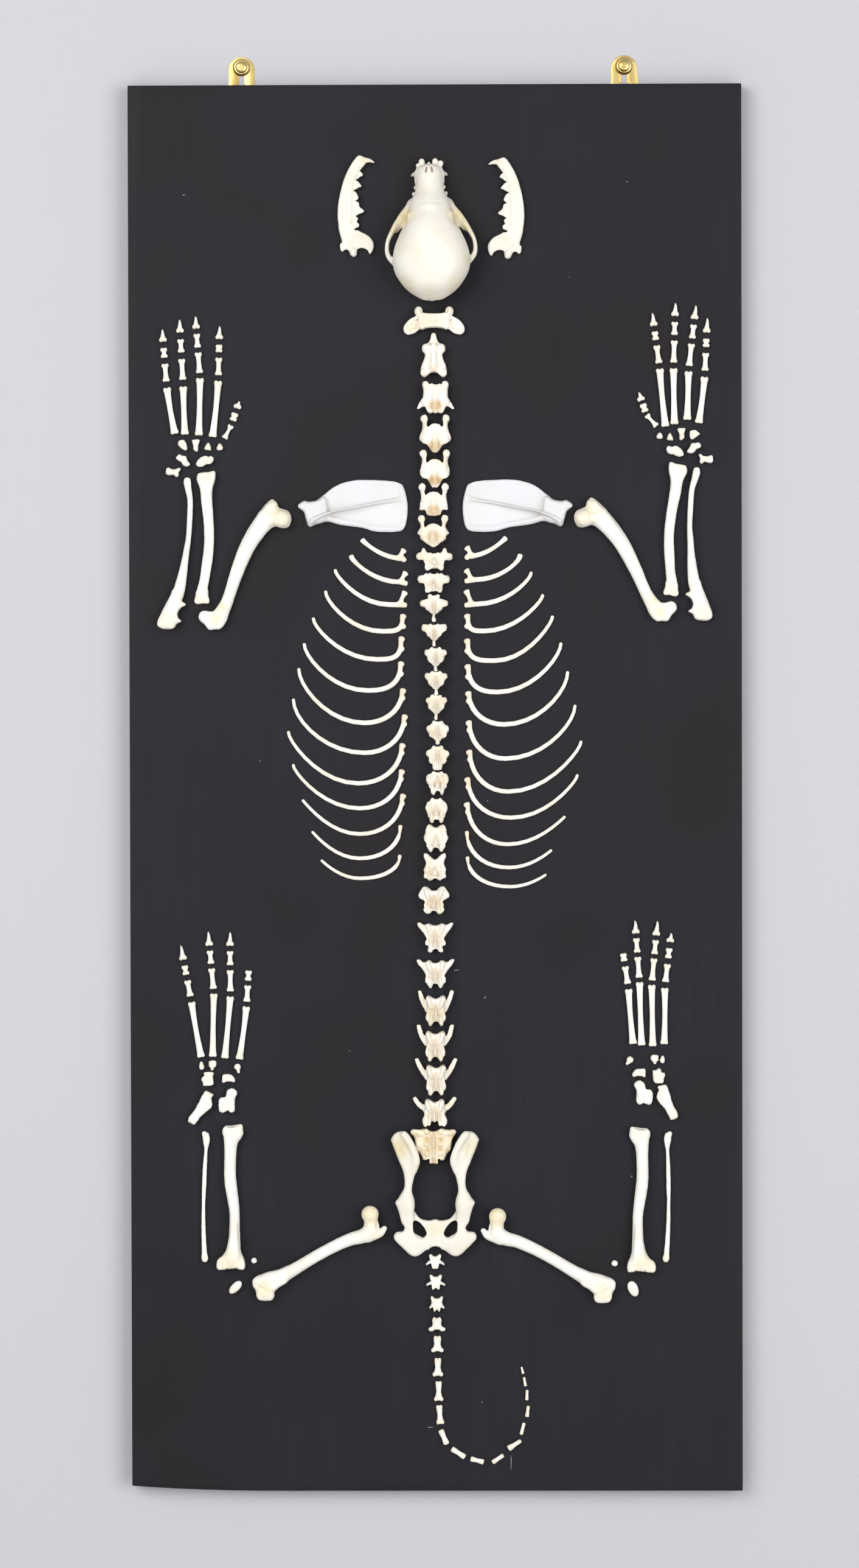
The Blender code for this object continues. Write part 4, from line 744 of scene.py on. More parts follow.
# Joint with the spine, lowest point, tip and how tightly the outer part curls
RIBS = {
    "L": [
        ((-21.2, 159), (-22, 159), (-50, 171.8), 0.1),
        ((-20, 143), (-24, 142.8), (-57.8, 160.7), 0.3),
        ((-20.5, 128.2), (-31.8, 127.4), (-68.8, 151), 0.3),
        ((-22.6, 121), (-36.5, 109), (-75.5, 136.3), 0.45),
        ((-23.6, 105.6), (-40.3, 89.7), (-84, 117.8), 0.4),
        ((-24, 88.4), (-46.7, 68.3), (-90.3, 100.2), 0.5),
        ((-22.8, 69.9), (-48.9, 46), (-94.1, 83), 0.6),
        ((-21.6, 51.9), (-49, 25.4), (-97.9, 62), 0.7),
        ((-23.3, 32.1), (-53.3, 4.4), (-101.4, 39.7), 0.35),
        ((-23.8, 14.1), (-52.4, -12.8), (-98.1, 17), 0.3),
        ((-23, -2.7), (-52.5, -30.5), (-91.5, -7.4), 0),
        ((-24.4, -24.2), (-52.5, -47.3), (-84.9, -29.2), 0),
        ((-24.9, -44.7), (-52.2, -61.1), (-78.6, -48.9), 0)],
    "R": [
        ((21.6, 160.4), (22.4, 160.4), (48.5, 172.8), 0),
        ((21.2, 144.6), (28, 144.4), (58.5, 161.1), 0.5),
        ((21.1, 128), (29.1, 127.6), (66, 148.9), 0.4),
        ((22.4, 121), (33.6, 109), (73.9, 133.4), 0.3),
        ((22.3, 104), (40.7, 88.6), (80.6, 118.7), 0.3),
        ((22.6, 86.3), (42.8, 67), (86.4, 100.2), 0.5),
        ((23, 67.8), (47.3, 44.7), (91, 80.4), 0.65),
        ((23.3, 47.7), (48.1, 21.2), (96, 57.3), 0.6),
        ((23.6, 27.5), (50.1, -1.5), (100.1, 32.6), 0.3),
        ((22.3, 8.6), (51.7, -19.5), (97.5, 9.5), 0.25),
        ((21.9, -8.6), (49.6, -37.8), (88.6, -19.1), 0),
        ((21.4, -28.4), (50.4, -53.8), (79.3, -42.2), 0),
        ((21.8, -46), (51.1, -67), (75.4, -59), 0)]}
# Small upper prong of each of the first three ribs, beside its joint
RIB_PRONGS = {"L": (165.3, 149.7, 136.3), "R": (167, 151.4, 137.1)}
# How square the bend is below the joint: 2 is a quarter circle
RIB_CORNERS = {3: 3.6, 4: 3.4, 5: 2.6}
ROUND_CORNER = 2.1
# The first three fork, and the last two have neither fork nor knob
FORKED = 3
FREE_FROM = 11
RIB_HALF = 1.85
RIB_STEPS = 9


def rib_path(joint, lowest, tip, curl, corner, steps):
    """Points down from the joint to the lowest place, then out and up to the tip."""
    points = []
    if abs(joint[1] - lowest[1]) > 2:
        for step in range(steps):
            angle = math.pi / 2 * step / steps
            across = math.sin(angle) ** (2 / corner)
            down = math.cos(angle) ** (2 / corner)
            points.append((lowest[0] + (joint[0] - lowest[0]) * down, joint[1] + (lowest[1] - joint[1]) * across))
    else:
        points.append(joint)
    for step in range(steps + 1):
        share = math.sin(math.pi / 2 * step / steps)
        rise = (1 - curl) * share ** 2 + curl * (1 - math.sqrt(1 - share ** 2))
        points.append((lowest[0] + (tip[0] - lowest[0]) * share, lowest[1] + (tip[1] - lowest[1]) * rise))
    return points


for side, rows in RIBS.items():
    carved = []
    for index, (joint, lowest, tip, curl) in enumerate(rows):
        joint = (joint[0], joint[1] - 1.2)
        path = rib_path(joint, lowest, tip, curl, RIB_CORNERS.get(index, ROUND_CORNER), RIB_STEPS)
        run = [0]
        for (ax, az), (bx, bz) in zip(path, path[1:]):
            run.append(run[-1] + math.hypot(bx - ax, bz - az))
        broad = RIB_HALF - 0.05 * max(index - 6, 0)
        stations = []
        for (x, z), reached in zip(path, run):
            share = reached / run[-1]
            half = broad * (1 - 0.34 * share ** 1.6)
            if index < 2 and share > 0.8:
                half += (share - 0.8) * 3.4
            half -= (0.25 if index < FREE_FROM else 0.6) * math.exp(-((reached - 3.6) / 2.4) ** 2)
            thick = 1.35 - 0.3 * share
            stations.append((x, z, thick + 0.12, half, thick))
        rib = Bone(0.45)
        rib.rod(stations, steps=1, cap=0.9)
        # fork, or round head and the knob on the spine's side where the rib turns outward
        flip = -FLIPS[side]
        across, up = joint
        if index < FORKED:
            prong = RIB_PRONGS[side][index]
            rib.rod([(across + flip * 0.4, prong - 0.8, 1.5, 2.3, 1.5),
                     (across + flip * 1.9, (prong + up) / 2 + 1, 1.4, 1.5, 1.2),
                     (across + flip * 3.8, up + 1.2, 1.4, 1.7, 1.3)], blend=1.8, steps=3)
        elif index < FREE_FROM:
            rib.lump((across - flip * 0.9, up - 0.9, 1.7), (1.9, 1.7, 1.6), turn=flip * 20, blend=0.8)
            rib.lump((across - flip * (1.2 - 0.12 * (index - 3)), up - (7.8 if index < 6 else 6), 1.6),
                     (1.25, 1.7, 1.3), turn=-flip * 30, blend=1.1)
        carved.append(carve(rib, stains=[(across, up, 9, 0.35)], rough=0))
    add_bones(f"ribs_{side}", carved, rib_bone, ["board"])


# Vertebrae: short bones of the spine, laid in order with their backs to the viewer. Each has a solid
# body below, a roof over the cord's canal, and processes at its corners; the roofs are a little yellow.
vertebra_bone = dry_bone("vertebra_bone", "#F8F2E6", "#EFE3CA", "#D2AE72", pore_mm=0.9, pores=0.4)


def whole(half):
    """Closed outline of an even shape, from the points of its right-hand half from top to foot."""
    return [*half, *((-x, z) for x, z in reversed(half) if x)]


def arched(high, wing):
    """Middle height and half thickness of a vertebra: high along its ridge and thin at its wings."""
    low = 0.4

    def top(x):
        return np.interp(np.abs(x), (0, 3.5, 6.5, 9, 14),
                         (high, high - 0.8, (high + wing) / 2 + 0.5, wing, wing - 0.8))

    def under(x, z):
        return np.maximum(np.interp(np.abs(x), (5.5, 8, 14), (low, wing - 3.4, wing - 2.6)),
                          np.interp(z, (-5, -0.5, 2.5), (high - 5, 3.4, low)))
    return (lambda x, z: (top(x) + under(x, z)) / 2), (lambda x, z: (top(x) - under(x, z)) / 2)


# First neck vertebra: a ring with two broad wings
ATLAS_HALF = [
    (0, 13.9), (5, 14), (7.5, 14.8), (9, 17), (10.6, 18.4), (12.7, 17.6), (13, 15), (12, 12.3),
    (14.8, 10.9), (18.2, 8.7), (20.7, 5.7), (20.9, 2.3), (19, 0.2), (15.4, 0.2), (12.2, 1.7), (10.2, 4.2), (8.3, 3.2),
    (5.8, 4.2), (0, 4.8)]
atlas = Bone(0.45)
atlas.blade(
    whole(ATLAS_HALF), lambda x, z: np.interp(np.abs(x), (0, 6, 10, 13, 21), (6, 5.8, 5.2, 4.6, 4.4)),
    lambda x, z: np.interp(np.abs(x), (0, 6, 10, 13, 21), (5.6, 5.4, 4.4, 1.9, 1.2)), rounding=1.1)
for _ in atlas.sides():
    atlas.lump((10.6, 16, 6.4), (2.3, 3, 2.8), turn=-24, blend=1.6)
    atlas.rod([(12, 11.4, 6.6, 1.1, 1.4), (16.6, 9.2, 5.8, 0.9, 1), (19.4, 4.6, 5.4, 1, 1),
               (18, 1, 5.4, 1, 0.9)], blend=1)
    atlas.rod([(8, 5.4, 7, 1.4, 1.6), (13.4, 3, 5.6, 1, 1), (17.6, 1, 5.2, 0.9, 0.9)], blend=1.2)
    atlas.lump((15, 7, 6.9), (4, 1.1, 1.5), turn=30, cut=0.6)
    atlas.lump((15.4, 3.6, 6.5), (3.4, 0.8, 1.2), turn=12, cut=0.5)
    atlas.lump((11.6, 9.6, 7.8), (1.1, 0.8, 2.4), cut=0.5)
    atlas.lump((8.6, 16.4, 9.6), (1.4, 2.2, 2), cut=0.8)
atlas.lump((0, 8.8, 12.2), (5.4, 1.3, 1.1), cut=1)
atlas.rod([(0, -4, 6, 5, 2.5), (0, 24, 6.2, 5.4, 2.7)], cut=0.8, steps=1)
add_bones("vertebra_atlas", [carve(atlas, (-0.4, 312.6), stains=[(0, 10, 6, 0.15)])], vertebra_bone, ["vertebra_C1"])

# Second neck vertebra, with its peg
AXIS_HALF = [
    (0, 29.2), (1.2, 28.6), (1.8, 26.8), (2.4, 24.8), (3.8, 22.8), (5.9, 21.4), (7.3, 19.2), (7.6, 17), (6.2, 15.6),
    (6, 13.4), (6.9, 10.6), (8.3, 7.3), (9, 3.4), (8.4, 0.2), (6.2, -0.8), (4.4, 0.4), (2.6, 1.9), (0, 3.2)]
axis = Bone(0.45)
axis.blade(whole(AXIS_HALF), lambda x, z: np.interp(z, (20, 25), (6, 4.8)) - np.abs(x) * 0.16,
           lambda x, z: np.interp(z, (20, 25), (5.4, 2.2)) - np.abs(x) * 0.26, rounding=1.4)
axis.rod([(0, 28.4, 5, 1.1, 1.4), (0, 23, 5.2, 2.2, 2.4), (0, 14, 5, 4, 3.8), (0, 6, 5.4, 4.4, 4.2)], blend=1.4)
axis.rod([(0, 22.6, 9, 0.8, 1.4), (0, 17, 10.2, 1.1, 1.6), (0, 10, 10.8, 1.4, 1.6), (0, 5, 10.4, 1.7, 1.4)], blend=3)
for _ in axis.sides():
    axis.lump((5.2, 18.8, 6.8), (2.2, 3, 2.8), turn=30, blend=2)
    axis.lump((7, 2.4, 8.6), (2, 2.6, 1.8), turn=-20, blend=1.2)
    axis.lump((4.2, 12.6, 12.6), (1.6, 4.4, 1.3), cut=2)
axis.rod([(0, -4, 8, 2.8, 2), (0, 30, 8, 3, 2)], cut=0.6, steps=1)
add_bones("vertebra_axis", [carve(axis, (-0.7, 284), stains=[(0, 5, 3.4, 0.4)])], vertebra_bone, ["vertebra_C2"])

# Neck vertebrae C3 to C7: place, ridge height, forward knobs, ochre patch's height up, half width and strength,
# and half outline
NECK = {
    3: ((0.5, 259.4), 11.6, (6.6, 18.4), (4, 4.4, 0.8), [
        (0, 18.6), (2.6, 19.2), (4.6, 18.4), (5.8, 19.8), (7.2, 20.8), (8.6, 20.4), (8.9, 17.4), (8.2, 13.6),
        (8.8, 9.4), (10.2, 7.4), (12, 4.6), (12.9, 2.4), (11.6, 1.6), (9.6, 3), (7.2, 3.6), (6, 1.2), (4.2, -1),
        (1.6, -0.4), (0, -1.2)]),
    4: ((0.2, 233), 11.8, (7.5, 21.6), (2.8, 4.2, 0.8), [
        (0, 18.2), (2.6, 17.7), (4.3, 16.2), (5.4, 16), (5.7, 18.6), (5.2, 21.4), (5.9, 23.6), (7.6, 24.2),
        (9.6, 23.2), (10, 21), (8.7, 18.6), (8.7, 15.6), (9.4, 12.6), (10.8, 9.2),
        (10.4, 6.6), (7.8, 5), (5.2, 3.6), (3.2, 0.8), (1.4, -1.4), (0, -1.8)]),
    5: ((0, 209.2), 12, (8, 21.4), (3.2, 4.4, 0.9), [
        (0, 17.7), (2.6, 17.2), (4.5, 15.6), (5.7, 15.4), (6.1, 18.2), (5.6, 21.2), (6.3, 23.4), (8.1, 24), (10.1, 23),
        (10.4, 20.6), (9, 18), (9, 15), (9.6, 12), (10.2, 9),
        (9.6, 6.4), (6.8, 5.2), (4.6, 3.2), (3.2, 0.6), (1.8, -1.8), (0, -2)]),
    6: ((-0.9, 188.4), 12.2, (8, 19.2), (3, 4.4, 0.8), [
        (0, 16.1), (2.8, 15.6), (4.8, 14), (5.9, 14), (6.2, 16.4), (5.7, 19.2), (6.5, 21.2), (8.1, 21.7), (10, 20.8),
        (10.3, 18.6), (9, 16), (8.6, 12.6), (9.1, 9),
        (9, 6.6), (9.8, 5), (9, 3.6), (6.4, 3.8), (5.2, 2.4), (4.2, 0.2), (0, -0.2)]),
    7: ((-1.3, 168.8), 12.4, (8.1, 17.2), (4.4, 5.4, 0.6), [
        (0, 13.8), (2.8, 13.3), (4.8, 11.8), (5.9, 11.8), (6.3, 14.4), (6, 17.4), (6.8, 19.3), (8.3, 19.8),
        (10.1, 18.8), (10.2, 16.6), (9, 14), (8.6, 11.4), (10.6, 8.2),
        (10.6, 6.8), (8.6, 5.6), (8.8, 3.6), (5.8, 1.4), (3, -0.8), (1, -2.2), (0, -2.4)])}
for number, (place, high, (knob_x, knob_z), (patch_z, patch_half, patch), half) in NECK.items():
    bone = Bone(0.45)
    tall = half[0][1]
    bone.blade(whole(half), *arched(high - 0.8, 8.4), rounding=1.3)
    bone.rod([(0, tall * 0.55, high - 1.2, 1.4, 1.4), (0, patch_z + 0.6, high - 0.2, 2, 1.2 + number * 0.1),
              (0, 1.6, high - 1, 1.6, 1.2)], blend=3)
    for _ in bone.sides():
        bone.lump((knob_x, knob_z, 9), (2.3, 2.6, 1.9), turn=10, blend=0.8)
        bone.lump((7.4, 7, 8.4), (2.1, 2.6, 1.9), turn=24, blend=1.2)
        bone.lump((5.4, tall * 0.7, high - 0.6), (1, 4, 1.5), turn=6, cut=1.2)
        bone.lump((5.4, patch_z + 2, high - 0.4), (0.9, 2.8, 1.2), turn=34, cut=0.9)
        bone.rod([(7, -2, 5, 0.8, 0.8), (7, 26, 5, 0.8, 0.8)], cut=0.5, steps=1)
    bone.rod([(0, -4, 7, 3.2, 1.9), (0, 26, 7, 3.2, 1.9)], cut=0.6, steps=1)
    stains = [(x, patch_z, patch_half + (not x), patch) for x in (0, -2, 2)]
    add_bones(f"vertebra_neck_{number}", [carve(bone, place, stains=stains, rough=0.3)],
              vertebra_bone, [f"vertebra_C{number}"])

# Chest vertebrae T1 to T13: place, spine tip's place and height off the board, wing reach and place, half outline
CHEST = {
    1: ((-0.6, 150.4), (4.2, 16), (12.2, 9.8), [
        (0, 11.9), (3.5, 12), (5.4, 13.2), (6.6, 15.2), (8.3, 15.2), (9, 12.8), (11.4, 12.1), (12.3, 10.6),
        (12.1, 8.2), (10.6, 7.4), (7.6, 7.2), (6.3, 4.4), (6.2, 1.4), (4.8, 0.1), (2.4, 1.4), (0, 1.9)]),
    2: ((-1, 135.8), (1.2, 20), (10.8, 8.7), [
        (0, 12.4), (3.6, 12.6), (5.4, 12.8), (7.4, 11.6), (9.8, 11.4), (10.9, 9.8), (10.7, 7), (9.4, 5.9), (6.8, 5.8),
        (5.9, 3), (5.6, 0.4), (4, -0.4), (2, 0.4), (0, 0.4)]),
    3: ((-0.9, 121.4), (-6.2, 23), (9.3, 6.5), [
        (0, 12), (2.4, 12), (3.8, 10.2), (6.4, 9.2), (8.6, 8.6), (9.5, 7.2), (9.2, 5), (7.6, 4.3), (6.2, 3.8),
        (5.4, 2.4), (3.8, 1.4), (2, -0.2), (0, -1)]),
    4: ((-0.7, 103.7), (-5.3, 24), (8.4, 7.6), [
        (0, 9.6), (3.6, 9.6), (5.4, 9.9), (7.4, 9.9), (8.5, 8.4), (8.3, 5.8), (6.8, 5), (5.4, 4), (4.6, 2.2),
        (3, 1), (1.8, -0.6), (0, -1.4)]),
    5: ((0.2, 86.5), (-5.4, 24), (7.3, 7.6), [
        (0, 10.7), (2.8, 10.6), (4.4, 9.6), (6.2, 9.5), (7.3, 8.2), (7.1, 6.2), (5.9, 5.2), (5.4, 3), (4.4, 1.4),
        (2.8, 0), (1.6, -1.4), (0, -2.2)]),
    6: ((0.5, 70.1), (-5.3, 23), (7.4, 7.8), [
        (0, 10.7), (2.8, 10.6), (4.4, 9.8), (6.3, 9.9), (7.5, 8.5), (7.3, 6.4), (6, 5.4), (5.3, 3.4), (4.3, 1.8),
        (2.7, 0.6), (1.6, -0.8), (0, -1.8)]),
    7: ((0.6, 54.2), (-6.2, 22), (7, 7.2), [
        (0, 10.4), (2.8, 10.2), (4.4, 9), (6.1, 9), (7.1, 7.6), (6.8, 6), (5.8, 5), (5.4, 2.8), (4.3, 1),
        (2.7, -0.4), (1.7, -1.8), (0, -2.8)]),
    8: ((1.6, 35.7), (-4.2, 21), (7.5, 6.2), [
        (0, 11.1), (2.8, 10.8), (4.6, 9.4), (6.6, 8), (7.6, 6.6), (7.2, 4.8), (6.1, 3.2), (5.7, 1.2), (4.2, 0),
        (2.8, -0.8), (1.8, -2.2), (0, -3)]),
    9: ((1.4, 18.5), (-4.2, 18), (7.5, 6.2), [
        (0, 11.1), (2.8, 10.8), (4.6, 9.4), (6.6, 8), (7.6, 6.6), (7.2, 4.8), (6.1, 3.4), (5.9, 1), (4.6, -0.4),
        (3.3, -1.2), (3.1, -3.4), (2.4, -5), (0, -5.3)]),
    10: ((1.3, 0.4), (1, 15.4), (7.4, 6.8), [
        (0, 11.6), (2.8, 11.4), (5, 10.4), (6.8, 9.6), (7.5, 8), (7.4, 5), (6.2, 3.2), (5.9, 1.2), (4.6, -0.2),
        (4.1, -2.6), (3.2, -4), (2.2, -3.6), (1.4, -1.8), (0, -1.3)]),
    11: ((0.6, -19.6), (2, 15), (7.3, 7.2), [
        (0, 13.1), (3, 12.8), (5.2, 11.4), (6.8, 9.6), (7.4, 7.2), (7, 5), (6, 3), (5.7, 1.2), (4.8, -0.2),
        (4.5, -2.2), (3.4, -3.4), (2.3, -3), (1.5, -1.4), (0, -0.9)]),
    12: ((0.2, -42), (3.4, 15), (8, 9.4), [
        (0, 15.7), (1.6, 16.2), (3.4, 17.6), (5, 17.9), (6.2, 16.6), (7.1, 14.2), (7.2, 11.6), (8.3, 9.4), (7.6, 7),
        (6.4, 5), (6.3, 2.8), (5.2, 1.2), (4.4, -0.4), (3.2, -0.8), (2.4, 0.2), (1.4, 1.8), (0, 2.2)]),
    13: ((-0.6, -62.6), (4, 15), (7.2, 7.8), [
        (0, 14.5), (2.2, 15.6), (4.8, 18.2), (7.1, 18.8), (7.6, 16.8), (6.5, 13.6), (6.1, 11.4), (6.8, 9.4),
        (7.3, 7.6), (7.1, 5.6), (7.7, 3.4), (7.2, 2), (5.4, 1.6), (4, 0.2), (2.4, 0.4), (0, 1.8)])}
for number, (place, (tip, high), (reach, wing), half) in CHEST.items():
    bone = Bone(0.45)
    tall = half[0][1]
    edge = 4.6 if number > 11 else 3
    bone.blade(whole(half), *arched(9.4, 8.6), rounding=1.2)
    bone.rod([(0, tall * 0.66, 8.6, 1, 2.4), (0, tall * 0.4 + tip * 0.2, 11.6, 0.9, 2.4),
              (0, tip + 2.4, high - 2, 1, 1.9), (0, tip + 0.8, high - 0.8, 1.35, 1.3)], blend=1.4)
    for _ in bone.sides():
        # rib's seat at the end of the wing, the joint's edge in front and the hollow beside the ridge
        bone.lump((reach - 1.7, wing, 8.4), (1.7, 2.1, 1.9), turn=20, blend=1)
        bone.rod([(2.4, tall - 1, 8.9, 1.5, 1.1), (edge, tall - 0.4, 9, 1.4, 1.1)], blend=0.8, steps=1)
        bone.lump((3.6, wing + 1, 11.4), (1.3, 2.4, 1.4), turn=-20, cut=1.2)
        bone.lump((5, wing - 4.4, 10.2), (1.5, 2.4, 1.8), turn=30, cut=0.8)
        if number > 9:
            bone.rod([(3.2, 3.6, 9.6, 1.4, 1.4), (3.4, half[-3][1] + 1.6, 9, 1.1, 1.2)], blend=1, steps=2)
            bone.lump((reach - 2, wing + 2.4, 9.6), (1.4, 1.7, 1.6), blend=1)
    bone.rod([(0, -6, 6.4, 2.4, 1.5), (0, tall + 6, 6.4, 2.4, 1.5)], cut=0.5, steps=1)
    if number == 10:
        bone.lump((0, 9, 10), (0.7, 0.9, 2), cut=0.4)
    add_bones(f"vertebra_chest_{number}",
              [carve(bone, place, stains=[(0, tall * 0.4, 5, 0.2), (-reach, wing, 3, 0.2)], rough=0.4)],
              vertebra_bone, [f"vertebra_T{number}"])

# Loin vertebrae L1 to L7: place, wing's root, bend and tip on the right-hand side, and half outline of the body.
# The wings are thin and turn upward, and from the fourth on they stand clear of the body.
LOIN_BACK = [
    (0, 17.6), (2, 18), (3.8, 19.2), (5.8, 19.4), (6.7, 17.6), (6.3, 14.6), (5.8, 11), (5.5, 7.6), (6.6, 5),
    (6.4, 3), (5.2, 1.6), (4.8, -0.4), (3.6, -1.2), (2.4, 0.2), (1.4, 1.6), (0, 2)]
LOIN = {
    1: ((-1.4, -84.6), [(5.4, 11.6), (8, 12.4), (9.2, 12.6)], [
        (0, 15), (2, 15.4), (4.2, 17.4), (6.6, 18), (8.3, 16.6), (9.8, 14.4), (10.8, 12.2), (10.2, 10.4), (8.2, 9.2),
        (6.2, 8), (5.2, 6), (6, 4.4), (7.2, 2.6), (6.6, 0.8), (4.4, -0.7), (2.6, -0.4), (1.4, 1), (0, 1.4)]),
    2: ((-0.4, -111), [(5.2, 13), (8.4, 16.2), (11, 18.4)], [
        (0, 17.6), (2.4, 18), (4.4, 18.8), (6.6, 18.2), (8.6, 18.4), (10.6, 19.6), (12.2, 19.6), (12.1, 17.8),
        (10.3, 15.2), (8.3, 12.6), (6.6, 10), (5.6, 8.2), (6.9, 6.6), (6.7, 4.8), (5, 3.8), (4.4, 2.2), (5.2, 0.2),
        (4.2, -1), (2.6, -0.6), (1.2, 1.2), (0, 1.4)]),
    3: ((-0.4, -134.8), [(5.2, 11.4), (8.8, 14.6), (11.8, 17)], [
        (0, 15.4), (2.2, 16), (4.2, 17.4), (6.2, 16.6), (8.2, 16.2), (10.2, 17.4), (12.4, 18.3), (13.1, 17),
        (12, 14.8), (9.6, 12.2), (7.6, 9.4), (6.2, 7), (7, 4.6), (7, 2.6), (5.4, 1), (4.4, -1), (3.2, -1.6),
        (2.2, -0.4), (1.4, 1), (0, 1.4)]),
    4: ((-0.2, -161.4), [(5.2, 9.8), (8.8, 15.6), (11.2, 22.6)], LOIN_BACK),
    5: ((-0.6, -185.8), [(5.2, 11), (9.4, 16.4), (11.6, 23.4)], LOIN_BACK),
    6: ((-0.2, -209.2), [(5.2, 11), (9.8, 16.4), (13.4, 23.6)], LOIN_BACK),
    7: ((-1.2, -231), [(5.2, 10.6), (10.4, 14), (14, 18.6)], [
        (0, 15.6), (2, 16.4), (3.8, 17.6), (5.8, 17.8), (6.6, 16), (6.5, 13.6), (7.2, 10.6), (6.9, 7.6), (8.2, 4.6),
        (8.5, 2.6), (7.6, 0.2), (6.2, -1), (5, 0.4), (3.8, 2.2), (1.8, 2.9), (0, 3)])}
for number, (place, wing, half) in LOIN.items():
    bone = Bone(0.45)
    tall = half[0][1]
    bone.blade(whole(half), *arched(10.2, 9), rounding=1.3)
    bone.rod([(0, tall - 3.6, 10.6, 0.6, 1.6), (0, tall * 0.6, 12.4, 0.8, 2.4), (0, tall * 0.36, 12.8, 1.1, 2.4),
              (0, 3.8, 11.8, 0.9, 1.7)], blend=2.6)
    root, bend, tip = wing
    for _ in bone.sides():
        bone.rod([(*root, 5.6, 2.4, 1.3), (*bend, 5.2, 1.8, 1.1), (*tip, 4.8, 1.4, 0.9)], blend=1.2)
        # forward knob running back into the roof, ridge over the joint, backward spur, and the hollows between them
        bone.rod([(5.2, tall + 0.4, 10.4, 1.4, 1.6), (4.2, tall - 3.4, 11, 1.2, 1.7),
                  (3, tall - 6.4, 10.4, 0.8, 1.2)], blend=1.6, steps=2)
        bone.rod([(5.2, tall * 0.5, 9.2, 0.9, 1.6), (5.8, 5, 8.8, 1.1, 1.5)], blend=0.8, steps=2)
        bone.rod([(3, 6, 10.6, 1, 1.4), (3.9, 0.8, 9.8, 1.2, 1.3)], blend=1.4, steps=2)
        bone.lump((2.4, tall * 0.62, 12.8), (0.9, 2.6, 1.3), turn=14, cut=1.6)
        bone.lump((4.3, tall * 0.44, 11), (0.9, 2.6, 1.8), turn=-8, cut=0.9)
    bone.rod([(0, -6, 7, 2.9, 1.7), (0, tall + 8, 7, 2.9, 1.7)], cut=0.6, steps=1)
    add_bones(f"vertebra_loin_{number}", [carve(bone, place, stains=[(0, tall * 0.5, 6.4, 0.3)], rough=0.3)],
              vertebra_bone, [f"vertebra_L{number}"])


# Sacrum: three vertebrae grown together between the hips, yellower and spongier than the rest. Its
# edges crumble, and ochre fat has stayed in the hollows beside its low ridge.
sacral_bone = dry_bone("sacral_bone", "#F2E8CE", "#EAD9B0", "#C9A566", pore_mm=1.1, pores=0.6)
SACRUM_HALF = [
    (0, 9.6), (3, 10.2), (6, 11.3), (10, 10.8), (14, 10.9), (15.5, 9.8), (14.2, 7.2), (12.8, 4.5), (12.2, 1.6),
    (12.1, -1), (11.6, -2.8), (10.4, -4.3), (9.2, -5.6), (8.2, -7.6), (7.2, -9.6), (5.4, -9.9), (3.4, -9),
    (2.7, -10.4), (2.5, -12.2), (0, -12.7)]
sacrum = Bone(0.45)
sacrum.blade(
    whole(SACRUM_HALF), lambda x, z: np.interp(z, (-12, 0, 10), (3.9, 5, 5.8)) + np.maximum(np.abs(x) - 6, 0) * 0.22,
    lambda x, z: np.interp(z, (-12, 0, 10), (3.4, 4.4, 5)) - np.maximum(np.abs(x) - 6, 0) * 0.28, rounding=1.2)
sacrum.rod([(0, 8, 11.4, 0.9, 2), (0, 2.4, 11.2, 0.9, 1.6), (0, -2, 10, 0.8, 1.9),
            (0, -9.4, 8.2, 0.8, 1.6)], blend=1.8)
for _ in sacrum.sides():
    sacrum.rod([(8, 8.4, 9.6, 2, 1.8), (13.6, 9.4, 9, 1.6, 1.8)], blend=1.4, steps=2)
    sacrum.rod([(4.6, 9.8, 10.8, 2, 1.6), (5.2, 11, 10.8, 1.4, 1.4)], blend=1, steps=2)
    sacrum.lump((5, 1.2, 9.6), (1.4, 1.6, 1.3), blend=1.2)
    sacrum.lump((4.4, -5.6, 8.6), (1.3, 1.5, 1.2), blend=1)
    sacrum.lump((4.9, 4.6, 11.4), (1.5, 1.2, 1.9), turn=20, cut=1)
    sacrum.lump((4.4, -2.2, 9.9), (1, 1.3, 1.6), turn=-14, cut=0.8)
    sacrum.lump((3.6, -7.8, 8.4), (0.8, 1, 1.2), cut=0.6)
    sacrum.lump((9.4, 3.4, 11), (2.4, 3.6, 1.6), cut=1.4)
sacrum.lump((3, 6.8, 11.8), (0.8, 1, 1.4), cut=0.5)
sacrum.lump((-8.4, -1.4, 9.6), (1.2, 0.8, 1), cut=0.5)
sacrum.rod([(0, -16, 5.6, 1.8, 1), (0, 15, 7.4, 3, 1.6)], cut=0.5, steps=1)
add_bones("sacrum_fused", [carve(sacrum, (-2, -245), stains=[
    (0, 2, 9, 0.35), (-4.6, 4.4, 3.4, 0.8), (4.8, 4.6, 3, 0.8), (-4, -3, 3, 0.7), (4.4, -2.4, 2.6, 0.7),
    (-12.6, 7, 4, 0.6), (12.8, 7.6, 4, 0.5), (-9.6, -4.6, 3.6, 0.6), (10, -3.4, 3.4, 0.5), (0, -10, 3, 0.5)],
    rough=0.45)], sacral_bone, ["sacrum"])


